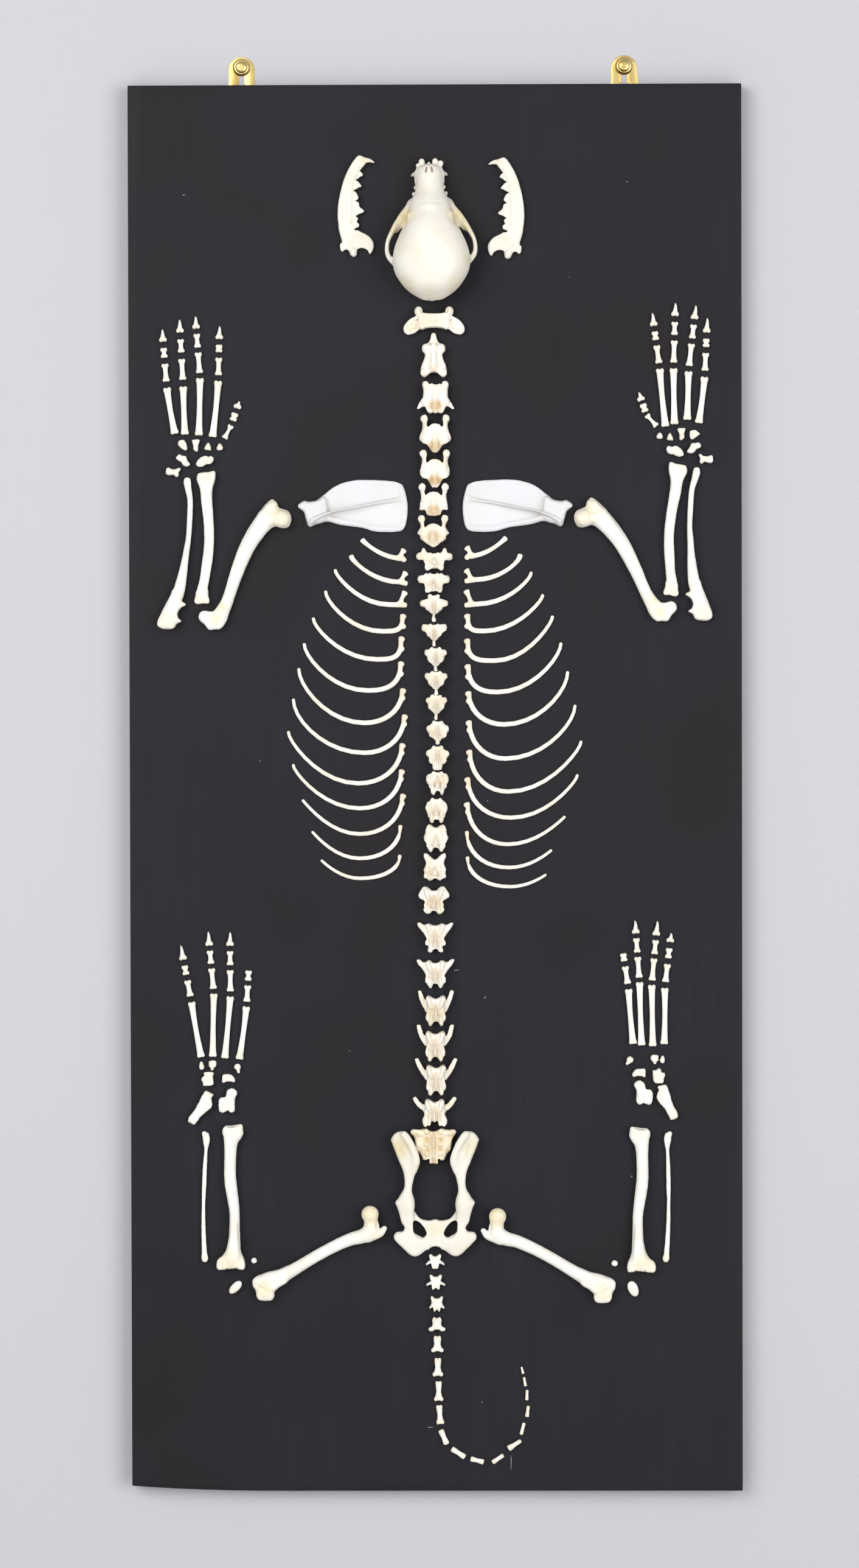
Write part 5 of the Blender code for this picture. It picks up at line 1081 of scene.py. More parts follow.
# Hip bones: the two halves of the pelvis grown together along the middle line, with a deep socket at
# each side and a hole through the floor beside the join. A yellow cast stays in the wings' hollows.
boiled_bone = dry_bone("boiled_bone", "#EFEADF", "#E8E2D1", "#DFD0A0", pores=0.12)
HIP_OUTLINE = [
    (-30.1, 36), (-27, 40.2), (-21.7, 41.4), (-17.5, 38.5), (-13.6, 30), (-10.8, 22.9), (-10.8, 18.3),
    (-13.4, 12.4), (-15.1, 7), (-16, 0.7), (-15.5, -5.6), (-14.7, -16.1), (-13.8, -24), (-12, -32),
    (-4, -33), (-4, -40), (-6.8, -41.2), (-10.6, -44.2), (-14.4, -45.4), (-18, -43.8), (-21.4, -40.5),
    (-24.8, -37.1), (-28.2, -32.9), (-26.9, -29.1), (-22.7, -28.3), (-21, -25.3), (-23.1, -21.6),
    (-24.3, -16.9), (-25.6, -11.9), (-27.4, -7.7), (-24.7, -4.7), (-21.8, 0.7), (-20.9, 5.8), (-21.8, 13.3),
    (-24.3, 19.6), (-27.2, 26.7), (-29.7, 33.5)]
PUBIC_TABLE = [
    (-17, -13), (-11.4, -18.4), (-8.4, -20.2), (-3.4, -20.7), (0, -19.9), (3.4, -20.7), (8.4, -20.2),
    (11.4, -18.4), (17, -13), (19, -30), (18, -40), (13.6, -44.4), (6.8, -41), (0, -38.4),
    (-6.8, -41), (-13.6, -44.4), (-18, -40), (-19, -30)]
OBTURATOR_HOLE = [
    (-15, -20.9), (-11.4, -21.4), (-7.4, -25.8), (-5.9, -30), (-8.2, -32.5), (-11, -31.4), (-14.6, -29.1),
    (-15.3, -25.3)]


def hip_level(x, z):
    wing = np.clip((z - 10) / 12, 0, 1) * (19 - np.abs(x)) * 0.28
    return np.interp(z, (-46, -20, 0, 8, 17, 26, 41), (5.8, 7, 7.6, 8, 9.2, 11.2, 12.8)) + wing


def hip_half(x, z):
    thinner = np.clip((11 - np.abs(x)) / 7, 0, 1) * np.clip((-27 - z) / 5, 0, 1)
    return np.interp(z, (-46, -36, -20, 0, 10, 26, 41), (3.2, 4.4, 5.2, 5.4, 4.4, 3.2, 2.6)) - 2.2 * thinner


hips = Bone(0.55)
hips.blade(PUBIC_TABLE, 4.8, 3, rounding=1.6)
for _ in hips.sides((1.0, -1.0)):
    hips.blade(HIP_OUTLINE, hip_level, hip_half, blend=1.2, rounding=2.3)
    # crest along the wing's inner edge and swelling over the socket
    hips.rod([(-21.6, 39.6, 14.2, 2.2, 2.2), (-16.4, 32, 14.8, 2.4, 2.4), (-13.4, 23, 13.6, 2.3, 2.6),
                       (-14.8, 14, 11.4, 1.8, 2)], blend=1.6)
    hips.lump((-19.6, -8.6, 9.4), (5.4, 8, 5), blend=2.4)
    hips.rod([(-21, -3, 11, 1.2, 1.6), (-18.6, -12, 12, 1, 1.2), (-18.4, -20, 11, 1, 1)], blend=1.6)
    hips.lump((-24.6, -31.4, 7.4), (3.4, 3, 3.6), blend=1.6)
    hips.blade(OBTURATOR_HOLE, 5, 30, cut=0.7)
    hips.lump((-25.2, 29, 17), (3.6, 10.5, 4.2), turn=-14, cut=1.6)
    hips.lump((-28.4, -11.6, 4.4), (5.2, 5, 4.8), cut=0.8)
hips.rod([(0, -19, 8.2, 0.3, 0.5), (0, -42, 8, 0.35, 0.6)], cut=0.5, steps=1)
add_bones("hip_bones", [carve(hips, (-1, -276), stains=[
    (-25, 30, 10, 0.9), (25, 30, 9, 0.5), (0, -28, 9, 0.35), (-12, 16, 4, 0.5)])],
    boiled_bone, ["pelvis"])


# Shoulder blades: thin flat bones lying with their ridged side out. The ridge runs from the inner edge
# to a point over the socket, and the lower border is thick. They are bleached quite white.
bleached_bone = dry_bone("bleached_bone", "#E1E1E3", "#DDDDDD", "#D6CEB6", pores=0.1)
SCAPULA_OUTLINE = [
    (-5.5, 5.9), (-2.1, 9.5), (1.6, 9), (7.5, 10.1), (13.1, 14.9), (19.9, 20), (27.7, 22.9), (37.4, 24.2),
    (54.2, 23.7), (61.5, 22.8), (65.9, 20.2), (68.3, 12.6), (69.3, 5), (68.5, -3), (67, -8), (62.6, -11),
    (48, -11), (38, -8.2), (23.3, -6.2), (12.5, -3.1), (5.8, -5.9), (1.9, -7.5), (0, -3), (-1.8, 2.2)]
SCAPULA_NECK = [
    (-5.5, 5.9), (-2.1, 9.5), (1.6, 9), (7.5, 10), (13, 12), (14, -2), (5.8, -5.9), (1.9, -7.5),
    (0, -3), (-1.8, 2.2)]
for side, x in {"L": -88.3, "R": 88.5}.items():
    blade = Bone(0.5, FLIPS[side])
    blade.blade(SCAPULA_OUTLINE, 1.5, 1, rounding=0.8)
    blade.blade(SCAPULA_NECK, 4, 3.6, blend=2.4, rounding=2.4)
    blade.rod([(8, -3, 3.4, 2.4, 2.6), (14, -2, 3, 2.2, 2.4), (23.6, -4.4, 2.5, 1.9, 2),
                        (38, -6.6, 2.2, 1.7, 1.8), (48, -9.2, 2, 1.6, 1.7), (62, -9.2, 1.9, 1.6, 1.6),
                        (66, -6.6, 1.9, 1.5, 1.5), (67.4, 4, 1.8, 1.4, 1.5), (66.6, 12.6, 1.8, 1.4, 1.5),
                        (64.6, 19.4, 1.8, 1.4, 1.5)], blend=2)
    blade.rod([(8, 8.4, 2.6, 1.4, 1.8), (13.6, 13.4, 1.9, 1.2, 1.3), (20.2, 18.4, 1.7, 1.1, 1.2),
                        (28, 21.4, 1.6, 1.1, 1.1), (37.6, 22.6, 1.6, 1.1, 1.1), (54.2, 22, 1.6, 1.2, 1.1)], blend=1.4)
    blade.rod([(67, 11.6, 2.2, 1.3, 1), (58, 9.8, 3, 1, 1.8), (48, 8.2, 4.2, 0.8, 2.8),
                        (38, 6.2, 5.2, 0.8, 3.6), (28, 4.2, 6.2, 0.8, 4.2), (18, 2.2, 7.2, 0.9, 4.2),
                        (9, -1.2, 7.8, 1.1, 2.6), (4.6, -3.4, 8, 1.3, 1.6), (2.8, -4.6, 7.8, 1, 1.1)], blend=1.6)
    blade.lump((-3.4, 5.8, 4.6), (2.6, 2.4, 2.6), turn=40, blend=1.4)
    blade.lump((-5.6, -0.2, 4.2), (4.6, 5.6, 4.6), cut=1)
    add_bones(f"shoulder_blade_{side}", [carve(blade, (x, 188.8), stains=[
        (14, 0, 12, 0.2), (62, 10, 7, 0.2), (2, 4, 8, 0.15)])],
        bleached_bone, [f"scapula_{side}"])


# Skull: seen from above with its snout up. A smooth round braincase, two thin cheek arches that stand
# clear of it, a short muzzle with its teeth, and a yellow cast left by fat round the eyes.
# Place along, middle height, half width and half height of the braincase and snout
CRANIUM = [
    (-2, 15.6, 0.8, 0.8), (-1.6, 15.7, 3.4, 3.4), (-0.6, 16, 7.2, 7.2), (1.6, 17, 11.4, 11),
    (4.8, 18.2, 16, 14.6), (9.2, 19.3, 20.2, 17.2),
    (17, 20.2, 25, 19.2), (25, 20.4, 26.5, 19.5), (34, 20.4, 25.2, 19.3), (43, 20, 21.6, 18.2),
    (51, 19, 17.8, 16), (59, 17, 15.6, 13.4), (67, 14.4, 12.6, 10.8), (73, 12.2, 10.2, 9.2),
    (79, 11.2, 9.2, 8.7), (86, 10.4, 8.6, 8), (89.6, 9.4, 7.8, 6.6), (91.4, 8.4, 6.2, 5), (92.4, 7.8, 3.6, 3.2),
    (92.9, 7.6, 1, 1)]
CHEEK_ARCH = [
    (-8.6, 70, 9, 2, 3.6), (-11.2, 66.4, 11, 2.4, 4), (-15.6, 61.2, 12.4, 2.6, 4.2),
    (-20.8, 54.8, 13.6, 2.4, 4), (-25.6, 47.6, 14.6, 1.8, 3.2), (-29.6, 39.4, 15, 1.4, 2.8),
    (-30, 31.6, 15.4, 1.6, 2.5), (-27, 26.4, 15.8, 2, 2.5), (-21, 21.8, 16, 2.6, 2.8)]
ORBIT_FLOOR = [(-12, 46), (-19.4, 48.6), (-22.6, 46.4), (-25.6, 46.4), (-23.8, 51.4), (-18.4, 58.4), (-13, 63),
               (-9, 58)]
# Cutting teeth at the front: place across and along, and half width
FRONT_TEETH = [(-7.4, 91.8, 1.7), (-5, 94.7, 2.1), (-0.1, 93, 1.1), (4.2, 94.8, 2), (8, 93.2, 2)]
# Cheek teeth of one side: place along and out, and half length
CHEEK_TEETH = [
    (80.2, 9.3, 1.2), (76.8, 9.9, 1.5), (72.4, 10.9, 1.9), (66.2, 12.4, 2.8), (60.4, 13.2, 2.4), (56.6, 13.6, 1.5)]


def hull(stations):
    """Distance to a smooth long body round the middle line.

    stations are (z, h, half width, half height).
    """
    path = smooth_path([(0, *row) for row in stations], 6)

    def distance(axes):
        middle, wide, high = (np.interp(axes[1], path[:, 1], path[:, column])[None, :, None] for column in (2, 3, 4))
        around = oval_distance(((axes[0][:, None, None] + 0 * wide, wide), (axes[2][None, None, :] - middle, high)))
        along = axes[1][None, :, None]
        return np.maximum(around, np.maximum(path[0, 1] - along, along - path[-1, 1]))
    return distance


skull = Bone(0.6)
skull.lay(hull(CRANIUM), (-28, CRANIUM[0][0] + 0.1, -0.5), (28, CRANIUM[-1][0] - 0.1, 41), 1)
skull.rod([(0, 60, 23.6, 7, 6), (0, 74, 16.6, 4.6, 4), (0, 88, 14, 3.4, 3)], blend=3, steps=8)
skull.blade([(-8.4, 84), (-7.8, 89.4), (-5, 91.4), (0, 91.8), (5.4, 91.4), (8.2, 89.4), (8.6, 84)], 7, 3.4, blend=1.4,
            rounding=1.4)
for _ in skull.sides((1.0, -1.0)):
    skull.rod(CHEEK_ARCH, blend=1.8, steps=6)
    # floor of the orbit, brow process behind the eye, and bulges over the molars and the canine's root
    skull.blade(ORBIT_FLOOR, 10, 4, blend=2, rounding=2)
    skull.lump((-14.6, 54.6, 24.6), (3.2, 3, 1.6), turn=-24, blend=3)
    skull.lump((-12, 60, 9), (5.4, 9, 4.4), blend=2)
    skull.lump((-8, 83, 7.6), (2.4, 7, 4.4), blend=1.6)
    skull.lump((-22, 55.4, 24), (6, 8.4, 9.4), turn=-14, cut=2)
    # bulla below, and the joint with the first vertebra
    skull.lump((-11, 21, 4.4), (5.4, 6.6, 4.2), blend=1.2)
    skull.lump((-5.4, 4.4, 6.6), (3, 3, 4.2), turn=24, blend=1.2)
    # canine and cheek teeth
    skull.rod([(-7.6, 85.2, 8, 2.3, 2.6), (-9.8, 86.2, 5.6, 1.6, 1.7), (-11.4, 86, 3, 1.1, 1.2),
                        (-12.2, 85.6, 1.2, 0.6, 0.6)], blend=0.8)
    for z, x, half in CHEEK_TEETH:
        skull.lump((-x, z, 4.6), (half * 0.7, half, 2.6), turn=-18, blend=0.6)
        skull.lump((-x, z, 2.2), (half * 0.4, half * 0.6, 1.8), turn=-18, blend=0.8)
    # nose opening, hole below the eye, and the seam across the brow
    skull.rod([(-1.3, 90.4, 15.4, 0.45, 3.2), (-1.9, 88.4, 16.8, 0.6, 3), (-2.1, 86.6, 18.2, 0.85, 2.6)],
              cut=0.4, steps=2)
    skull.lump((-11.4, 73, 11), (0.9, 1.5, 1.2), cut=0.6)
    skull.rod([(-2, 64.8, 29.2, 0.7, 0.5), (-9, 65, 25.6, 0.7, 0.5)], cut=1.6)
for x, z, half in FRONT_TEETH:
    skull.rod([(x * 0.84, 89.6, 8, half * 0.8, 2), (x, z, 6.8, half, 2.2)], blend=0.4, steps=2, cap=0.9)
skull.lump((5.9, 92.6, 8.6), (0.55, 0.55, 2.4), cut=0.3)
skull.lump((-5.6, 92, 9.6), (0.5, 0.5, 1.6), cut=0.3)
skull.lump((0, -1.6, 11), (5.4, 5, 5), cut=0.8)
skull.lump((2.4, 36.6, 39.8), (0.55, 0.55, 1.4), cut=0.3)
skull.rod([(0, 50, 3.2, 9, 3.4), (0, 24, 1.6, 5, 2.6)], cut=2, steps=2)
add_bones("skull_cranium", [carve(skull, (-1.3, 336.3), -1.4, stains=[
    (-19, 57, 10, 0.9), (19.6, 56, 10, 0.9), (-27, 48, 7, 0.7), (27, 47, 8, 0.7),
    (-18, 8, 9, 0.35), (16, 6, 9, 0.4), (0, 2, 8, 0.3), (26, 24, 5, 0.4)], rough=0.06, relaxing=5)],
    boiled_bone, ["skull"])


# Lower jaws: each half lies on its inner side with its teeth towards the skull. Behind the last tooth
# a thin blade stands up, with a hollow on its outer face, and the joint sticks out below it.
JAW_OUTLINE = [
    (0.6, -0.2), (-2.7, -3), (-6.9, -9.6), (-10.4, -18), (-13.5, -30.5), (-14.3, -42.3), (-13, -52.6), (-11.4, -59),
    (-12.6, -62.6), (-11.5, -66), (-9.2, -64.6), (-6.9, -65), (-5.6, -67.6), (-3.6, -69.4), (-1.5, -68.2),
    (-0.8, -64.4), (2.7, -63.5), (6, -65), (7.6, -67.7), (9.4, -66), (10.5, -62), (9, -57.8), (5.4, -54.8),
    (1.3, -53.7), (-2.8, -50.8), (-4, -46), (-4.4, -36), (-4, -26), (-2.4, -17), (1.2, -10.2), (4.4, -6.4),
    (5.6, -2.6)]
# Outlines of the cheek teeth, front to back
JAW_TEETH = [
    [(-2.6, -9), (0.6, -10.6), (2.3, -12), (3.2, -13.8), (1.2, -14.8), (-0.8, -16.4), (-4, -16.6)],
    [(-4, -17), (-0.8, -17.6), (0.6, -19), (2.3, -21.4), (0.2, -22.2), (-1.8, -23.4), (-5, -23.8)],
    [(-5.6, -24.4), (-2.5, -24.8), (-1, -26.4), (0.1, -29.2), (-1, -30.6), (-2.4, -31.2), (-6, -31.2)],
    [(-6, -31.4), (-1.7, -31.6), (0.2, -32.6), (0.5, -34.8), (1.6, -36.2), (3.8, -38), (3, -39.4), (0.4, -40.2),
     (-1.3, -41.3), (-6, -42)],
    [(-6, -42.2), (-1.7, -42), (-0.2, -43.4), (-0.9, -45), (-1, -46), (0.4, -46.8), (0.3, -48.8), (-1, -49.6),
     (-5, -50)]]
for side, (x, z, turn) in {"L": (-52.1, 435.6, 0), "R": (48.3, 433.9, 1.2)}.items():
    jaw = Bone(0.45, FLIPS[side])
    jaw.blade(JAW_OUTLINE, lambda x, z: np.interp(z, (-60, -48), (2.4, 3.2)) + 0 * x,
              lambda x, z: np.interp(z, (-60, -48, -10, 0), (1.5, 2.8, 2.9, 2.4)) + 0 * x, rounding=1.3)
    for tooth in JAW_TEETH:
        jaw.blade(tooth, 3.6, 1.5, blend=0.4, rounding=0.7, steps=2)
    jaw.rod([(-3.7, -67.6, 3, 1.9, 2.4), (-3.2, -65, 3.2, 1.8, 2.6)], blend=1.2, steps=1)
    jaw.rod([(-11.8, -61, 2.6, 1, 1.4), (-11.4, -64.4, 2.6, 1, 1.4)], blend=1, steps=1)
    jaw.rod([(-11.6, -50, 3, 1.6, 2), (-8.4, -60, 3, 1.6, 1.8), (-4, -65.6, 3.2, 1.6, 2)], blend=1.6)
    jaw.rod([(-0.8, -52.4, 3.4, 1.2, 1.7), (5.6, -56.2, 3, 1.1, 1.3), (8.8, -60.4, 2.8, 1, 1.1)], blend=1.4)
    jaw.lump((-0.6, -59.6, 5.6), (5.4, 4.6, 2.3), cut=1.8)
    jaw.rod([(1.6, -5.4, 3.8, 2.4, 2.4), (4.8, -3.6, 4.2, 1.9, 2), (8.2, -3.9, 4, 1.2, 1.3),
                      (10.7, -5, 3.6, 0.5, 0.5)], blend=0.7)
    for hole_x, hole_z, wide in ((-4.6, -32.3, 0.5), (-4.8, -38.6, 0.5), (-4.6, -45.9, 0.9), (0.6, -8.6, 0.5)):
        jaw.lump((hole_x, hole_z, 6.2), (wide, wide, 1.5), cut=0.4)
    add_bones(f"lower_jaw_{side}", [carve(jaw, (x, z), turn, stains=[
        (0, -58, 8, 0.25), (4, -3, 4, 0.5)])], boiled_bone, [f"mandible_{side}"])


# Long bones of the legs, each lying along its own leg. Shafts are smooth and white, and the joint ends,
# which hold more fat, have gone yellow. Rods, lumps and cuts below describe the left-hand ones.
limb_bone = dry_bone("limb_bone", "#FAF8F1", "#F4F0E2", "#EFDCAC", pores=0.15)
LIMBS = {
    "humerus": {
        "rods": [
            [(-10.5, -0.4, 7, 6.6, 6.5), (-17.2, -9.6, 5.8, 5.6, 5.6), (-24.8, -21.4, 5, 4.8, 4.9),
             (-30.7, -36.5, 4.4, 4, 4.2), (-35.3, -50, 4.2, 3.7, 3.9), (-38.2, -58.4, 4.4, 3.8, 4),
             (-42.8, -66.8, 5, 5, 4.4)],
            [(-9, 8, 8.6, 1.6, 2.4), (-19, -6, 8.6, 1.2, 2.2), (-27, -22, 7.2, 1, 1.8)],
            [(-40.6, -62, 5.4, 2.2, 2.6), (-41.6, -70, 5.4, 2, 2.8), (-44.4, -74.4, 4.8, 2, 2.8)]],
        "plates": [([
            (-6.7, 12.8), (-4.6, 9.8), (-2.5, 7.2), (1, 5.8), (4.7, 4.2), (6.3, -0.4), (4.7, -5.9), (0.9, -7.1),
            (-4.2, -5.9), (-11.7, -10.1), (-19.1, -21.4), (-26.3, -36.5), (-31.8, -50), (-36.9, -65.1), (-38.6, -71),
            (-41.9, -75.6), (-46.4, -76.6), (-50.7, -76.8), (-53.3, -73.5), (-57.2, -69.7), (-57.2, -65.9),
            (-54.5, -63.8), (-49.8, -64.2), (-45.6, -63), (-40.1, -52.5), (-35.8, -37.4), (-30.3, -22.2), (-23.5, -8),
            (-16.8, 1.8), (-12.1, 8.4)],
            4.6, 3.8, 3.2)],
        "lumps": [
            ((-0.4, -0.8, 7.5), (6.4, 6.1, 6.9), 0), ((-7.2, 6.6, 6.5), (3.8, 5.4, 5.4), 32),
            ((-48, -70.2, 4.8), (4.6, 5, 4.4), 28), ((-53.4, -68, 4.8), (3.2, 3.4, 4), 20)],
        "cuts": [
            ((-3.6, 7.4, 13.4), (1, 4.4, 2.2), 60), ((-46, -66.4, 10.4), (2.6, 3.2, 1.6), 30),
            ((-50.8, -71.6, 10), (1, 4.6, 1.4), 44)],
        "stains": [(0, 0, 13, 0.5), (-8, 6, 9, 0.35), (-46, -70, 6, 0.6), (-42, -62, 6, 0.5)],
        "places": {"L": (-105.2, 187.1, 0), "R": (101.9, 187.1, -5.7)}},
    "radius": {
        "rods": [
            [(0.2, -1.8, 4.4, 4.8, 3.6), (0, -4, 4.8, 5.6, 4), (0.2, -9.2, 4.4, 4.1, 3.3), (0.4, -17.6, 4.2, 3.9, 3),
             (1.6, -30.2, 4.4, 3.5, 2.8), (2.1, -42.8, 4.4, 3.4, 2.8), (1.7, -51.2, 4.2, 3.4, 2.8),
             (0.7, -59.6, 4, 3.5, 2.9), (-1.3, -72.2, 3.8, 3.3, 2.9), (-2.7, -78.5, 3.8, 3.6, 3),
             (-3.2, -83.6, 3.8, 4.2, 3.3), (-3.1, -85.6, 3.8, 4.4, 3.4)],
            [(1.6, -2, 4.6, 2.2, 2.4), (4.6, 1, 4.2, 1.2, 1.6)]],
        "plates": [([
            (-5.8, -0.6), (-4.8, 1), (-1, 1.3), (2.4, 1.6), (5.6, 2.4), (6.5, 1.2), (6.3, -3), (5.2, -6.4),
            (4.2, -9.6), (2.6, -15), (-1.8, -15.4), (-3.7, -9.6), (-5.4, -5.2), (-6.2, -3)], 4.4, 3.3, 1.8), ([
                (-6.2, -80), (-6.9, -83.4), (-7.8, -86.4), (-7.6, -88.2), (-5, -88.8), (-2.8, -88), (-0.4, -88.2),
                (1.4, -88.4), (1.8, -86.4), (1.1, -83), (0.5, -79)], 3.8, 3.1, 1.3)],
        "lumps": [((-6.2, -86.8, 3.8), (1.5, 1.6, 2.9), 0), ((0.2, -86.8, 3.8), (1.5, 1.5, 2.8), 0)],
        "cuts": [((0, -1, 9.4), (0.7, 4, 1.4), 0), ((-2.6, -91.2, 5.6), (2.8, 1.8, 3.6), 0)],
        "stains": [(0, 0, 8, 0.3), (-3, -87, 8, 0.45)],
        "places": {"L": (-157.5, 216.9, 0), "R": (167.2, 221.6, 5.4)}},
    "ulna": {
        "rods": [
            [(0.3, 0.2, 3.2, 2.2, 1.6), (0.3, -2.2, 3.4, 2.6, 2.2), (0.8, -5.9, 3.4, 2.3, 2.1),
             (2.2, -14.3, 3.4, 1.9, 1.9), (1.9, -26.9, 3.6, 1.9, 2), (1.1, -39.5, 3.8, 1.8, 2.2),
             (-0.2, -47.9, 4, 2.1, 2.6), (-1.5, -56.3, 4.4, 2.4, 3), (-3.8, -68.9, 4.8, 3.4, 3.6),
             (-6.5, -79.4, 5.2, 4.1, 4.2), (-10.4, -86, 5.6, 4, 4.6), (-13.2, -93, 5.6, 4.6, 4.8),
             (-14.4, -98.4, 5.2, 4.4, 4.2)],
            [(-15.6, -98, 8.6, 1.6, 1.6), (-12, -88, 8.8, 1.2, 1.6), (-8.6, -80, 7.8, 1, 1.4)]],
        "plates": [([
            (-9.6, -76), (-6.4, -76.6), (-6, -80.6), (-4.2, -83.4), (-0.6, -85.9), (-3.6, -88), (-6.4, -91.4),
            (-6.2, -95), (-3.9, -97.4), (-7.2, -99.2), (-9, -102), (-12.3, -102.9), (-16.4, -102.4), (-19.9, -100.8),
            (-20.5, -98.7), (-19.1, -94.5), (-14.2, -87.6), (-11.1, -79.8)], 5, 4.4, 2.6)],
        "lumps": [((-16.4, -99, 5.4), (3.4, 3.2, 4), 30)],
        "cuts": [((-3.2, -91.8, 6), (2.8, 3.8, 9), 0), ((-13.6, -103.6, 8.4), (1, 1.2, 2.2), 0)],
        "stains": [(-14, -98, 9, 0.4), (-2, -84, 6, 0.35)],
        "places": {"L": (-170.7, 213.6, 0), "R": (180.2, 219.5, 6)}},
    "femur": {
        "rods": [
            [(-0.2, -3, 8.6, 4.4, 4.4), (0, -10.6, 7.4, 5.6, 5.4), (-5.5, -15.1, 6.2, 5, 5.2),
             (-14.3, -17.6, 5.2, 4.4, 4.6), (-26, -22.8, 4.8, 4.1, 4.2), (-38.4, -29.5, 4.8, 4, 4.2),
             (-50.8, -37, 4.8, 4.2, 4.4), (-62.6, -43.7, 5.2, 5, 4.8), (-70, -47.8, 5.8, 6.2, 5.6)],
            [(-2, -16.6, 6.6, 3, 3.6), (6, -13.4, 7.4, 2.6, 3.4), (9.4, -9.6, 7, 1.8, 2.4)],
            [(-66, -43, 8.8, 2.4, 2.4), (-75.6, -45.2, 9.4, 2, 2.4), (-79.6, -49, 7.2, 1.6, 2.4)],
            [(-67, -50.4, 8.8, 1.8, 2.4), (-72.6, -53.6, 8.6, 1.8, 2.4), (-76, -56.8, 6.6, 1.6, 2.2)]],
        "plates": [([
            (-56, -36.4), (-63.4, -38.6), (-70, -39.8), (-75.2, -41.6), (-79.6, -43.4), (-81.9, -46.2), (-80.2, -50.2),
            (-79.4, -53.8), (-78.8, -57), (-76.9, -59.2), (-72.6, -59.8), (-68.5, -59.2), (-66.8, -56.6), (-67, -53.2),
            (-63.4, -50), (-58, -46.6)], 5.6, 4.6, 2.6)],
        "lumps": [
            ((-0.6, 0.2, 9), (5.9, 5.8, 5.8), 0), ((-75.4, -49.2, 6), (6, 4.6, 5.4), 24),
            ((-72.4, -54.6, 6), (5, 4.2, 5.4), 0)],
        "cuts": [((-74.6, -51, 12.4), (7.2, 1.5, 2.4), 28), ((4.6, -6.2, 11), (1.2, 3, 2.4), 20)],
        "stains": [(0, 0, 11, 0.8), (-74, -52, 9, 0.6), (4, -14, 6, 0.25)],
        "places": {"L": (-45.2, -292.1, 0), "R": (41.4, -293.8, 0)}},
    "tibia": {
        "rods": [
            [(0.2, 0, 4.6, 6.2, 4), (-0.2, -3.4, 4.8, 6.9, 4.4), (-1.3, -8.4, 4.6, 5, 4), (-1.8, -17.2, 4.4, 4.1, 3.8),
             (-2.1, -31.5, 4.4, 4.1, 3.8), (-1.3, -40.7, 4.4, 4.1, 3.9), (0, -49.6, 4.6, 3.8, 3.9),
             (1, -58.8, 4.8, 3.5, 4), (1, -68.5, 5.2, 3.6, 4.4), (0.8, -77.7, 5.8, 4.1, 5.2),
             (0, -84, 6.4, 4.7, 6), (-0.8, -89, 6.6, 6.2, 5.8), (-1.4, -91.8, 6.2, 7, 5)],
            [(4.2, -2.5, 4.6, 2.8, 2.8), (5.2, 1.8, 4.4, 1.6, 1.8)],
            [(-5, -3, 4.6, 1.8, 2.8), (-5.6, -0.4, 4.6, 1.3, 1.8)],
            [(1.6, -64, 8.2, 0.8, 1.4), (2.4, -76, 10.2, 1.1, 1.9), (3, -86, 10.4, 1.4, 2), (3.6, -93.6, 7.6, 1.6, 2)],
            [(-0.4, -66, 7.8, 0.6, 1), (-1.4, -78, 9.8, 0.7, 1.4), (-3, -86, 9.8, 0.9, 1.6),
             (-5.4, -93.6, 7.4, 1.2, 1.8)]],
        "plates": [([
            (-1.6, -76), (-3.2, -81), (-5, -85.4), (-7.4, -87.8), (-10.2, -89.8), (-11.4, -92.6), (-11.3, -95.6),
            (-9.8, -97.1), (-6.6, -96.9), (-3.4, -96.9), (-1, -95.9), (1.6, -95.9), (4.4, -96.8), (7.4, -96.8),
            (8.1, -94.6), (7.6, -90.6), (6.3, -87.4), (4.8, -83), (3.4, -77)], 5.6, 4.6, 2.2)],
        "lumps": [((-6.8, -92.6, 5.6), (3.6, 3.4, 4.8), 10), ((4.4, -92.8, 5.6), (3, 3.4, 4.8), -10)],
        "cuts": [((-1.2, 2.6, 6.4), (3.6, 1.7, 4.4), 0), ((-4, -97.6, 9), (0.8, 2.2, 3), 0),
                 ((2.2, -97.8, 9), (0.7, 2.4, 3), 0)],
        "stains": [(-3, -90, 12, 0.5), (0, -70, 10, 0.25), (0, 0, 7, 0.2)],
        "places": {"L": (-140.3, -233.3, 0), "R": (140, -235.4, 0.4)}},
    "fibula": {
        "rods": [
            [(0, 0.6, 2.6, 2.1, 1.7), (0.4, -3.4, 2.6, 2.5, 2), (0.3, -8.4, 2.3, 1.6, 1.5), (0, -12.6, 2.1, 1.2, 1.2),
             (-0.8, -25.2, 2.1, 1.5, 1.3), (-1.3, -37.8, 2.1, 1.5, 1.3), (-1.6, -46.2, 2.1, 1.2, 1.2),
             (-1.8, -58.8, 2.1, 1.4, 1.3), (-1.6, -71.4, 2.1, 1.6, 1.4), (-1.2, -81.9, 2.3, 1.9, 1.6),
             (-0.9, -85.3, 2.4, 2.4, 1.9), (-0.9, -87, 2.4, 1.9, 1.6)]],
        "lumps": [((-1.2, 0.6, 2.4), (1.2, 1.5, 1.4), -20)],
        "cuts": [((1.4, 2.8, 3), (1.5, 1.6, 2), 0)],
        "stains": [(0, 0, 5, 0.2), (-1, -86, 5, 0.3)],
        "places": {"L": (-159.2, -237.5, 0), "R": (159.7, -237.9, 1.7)}}}
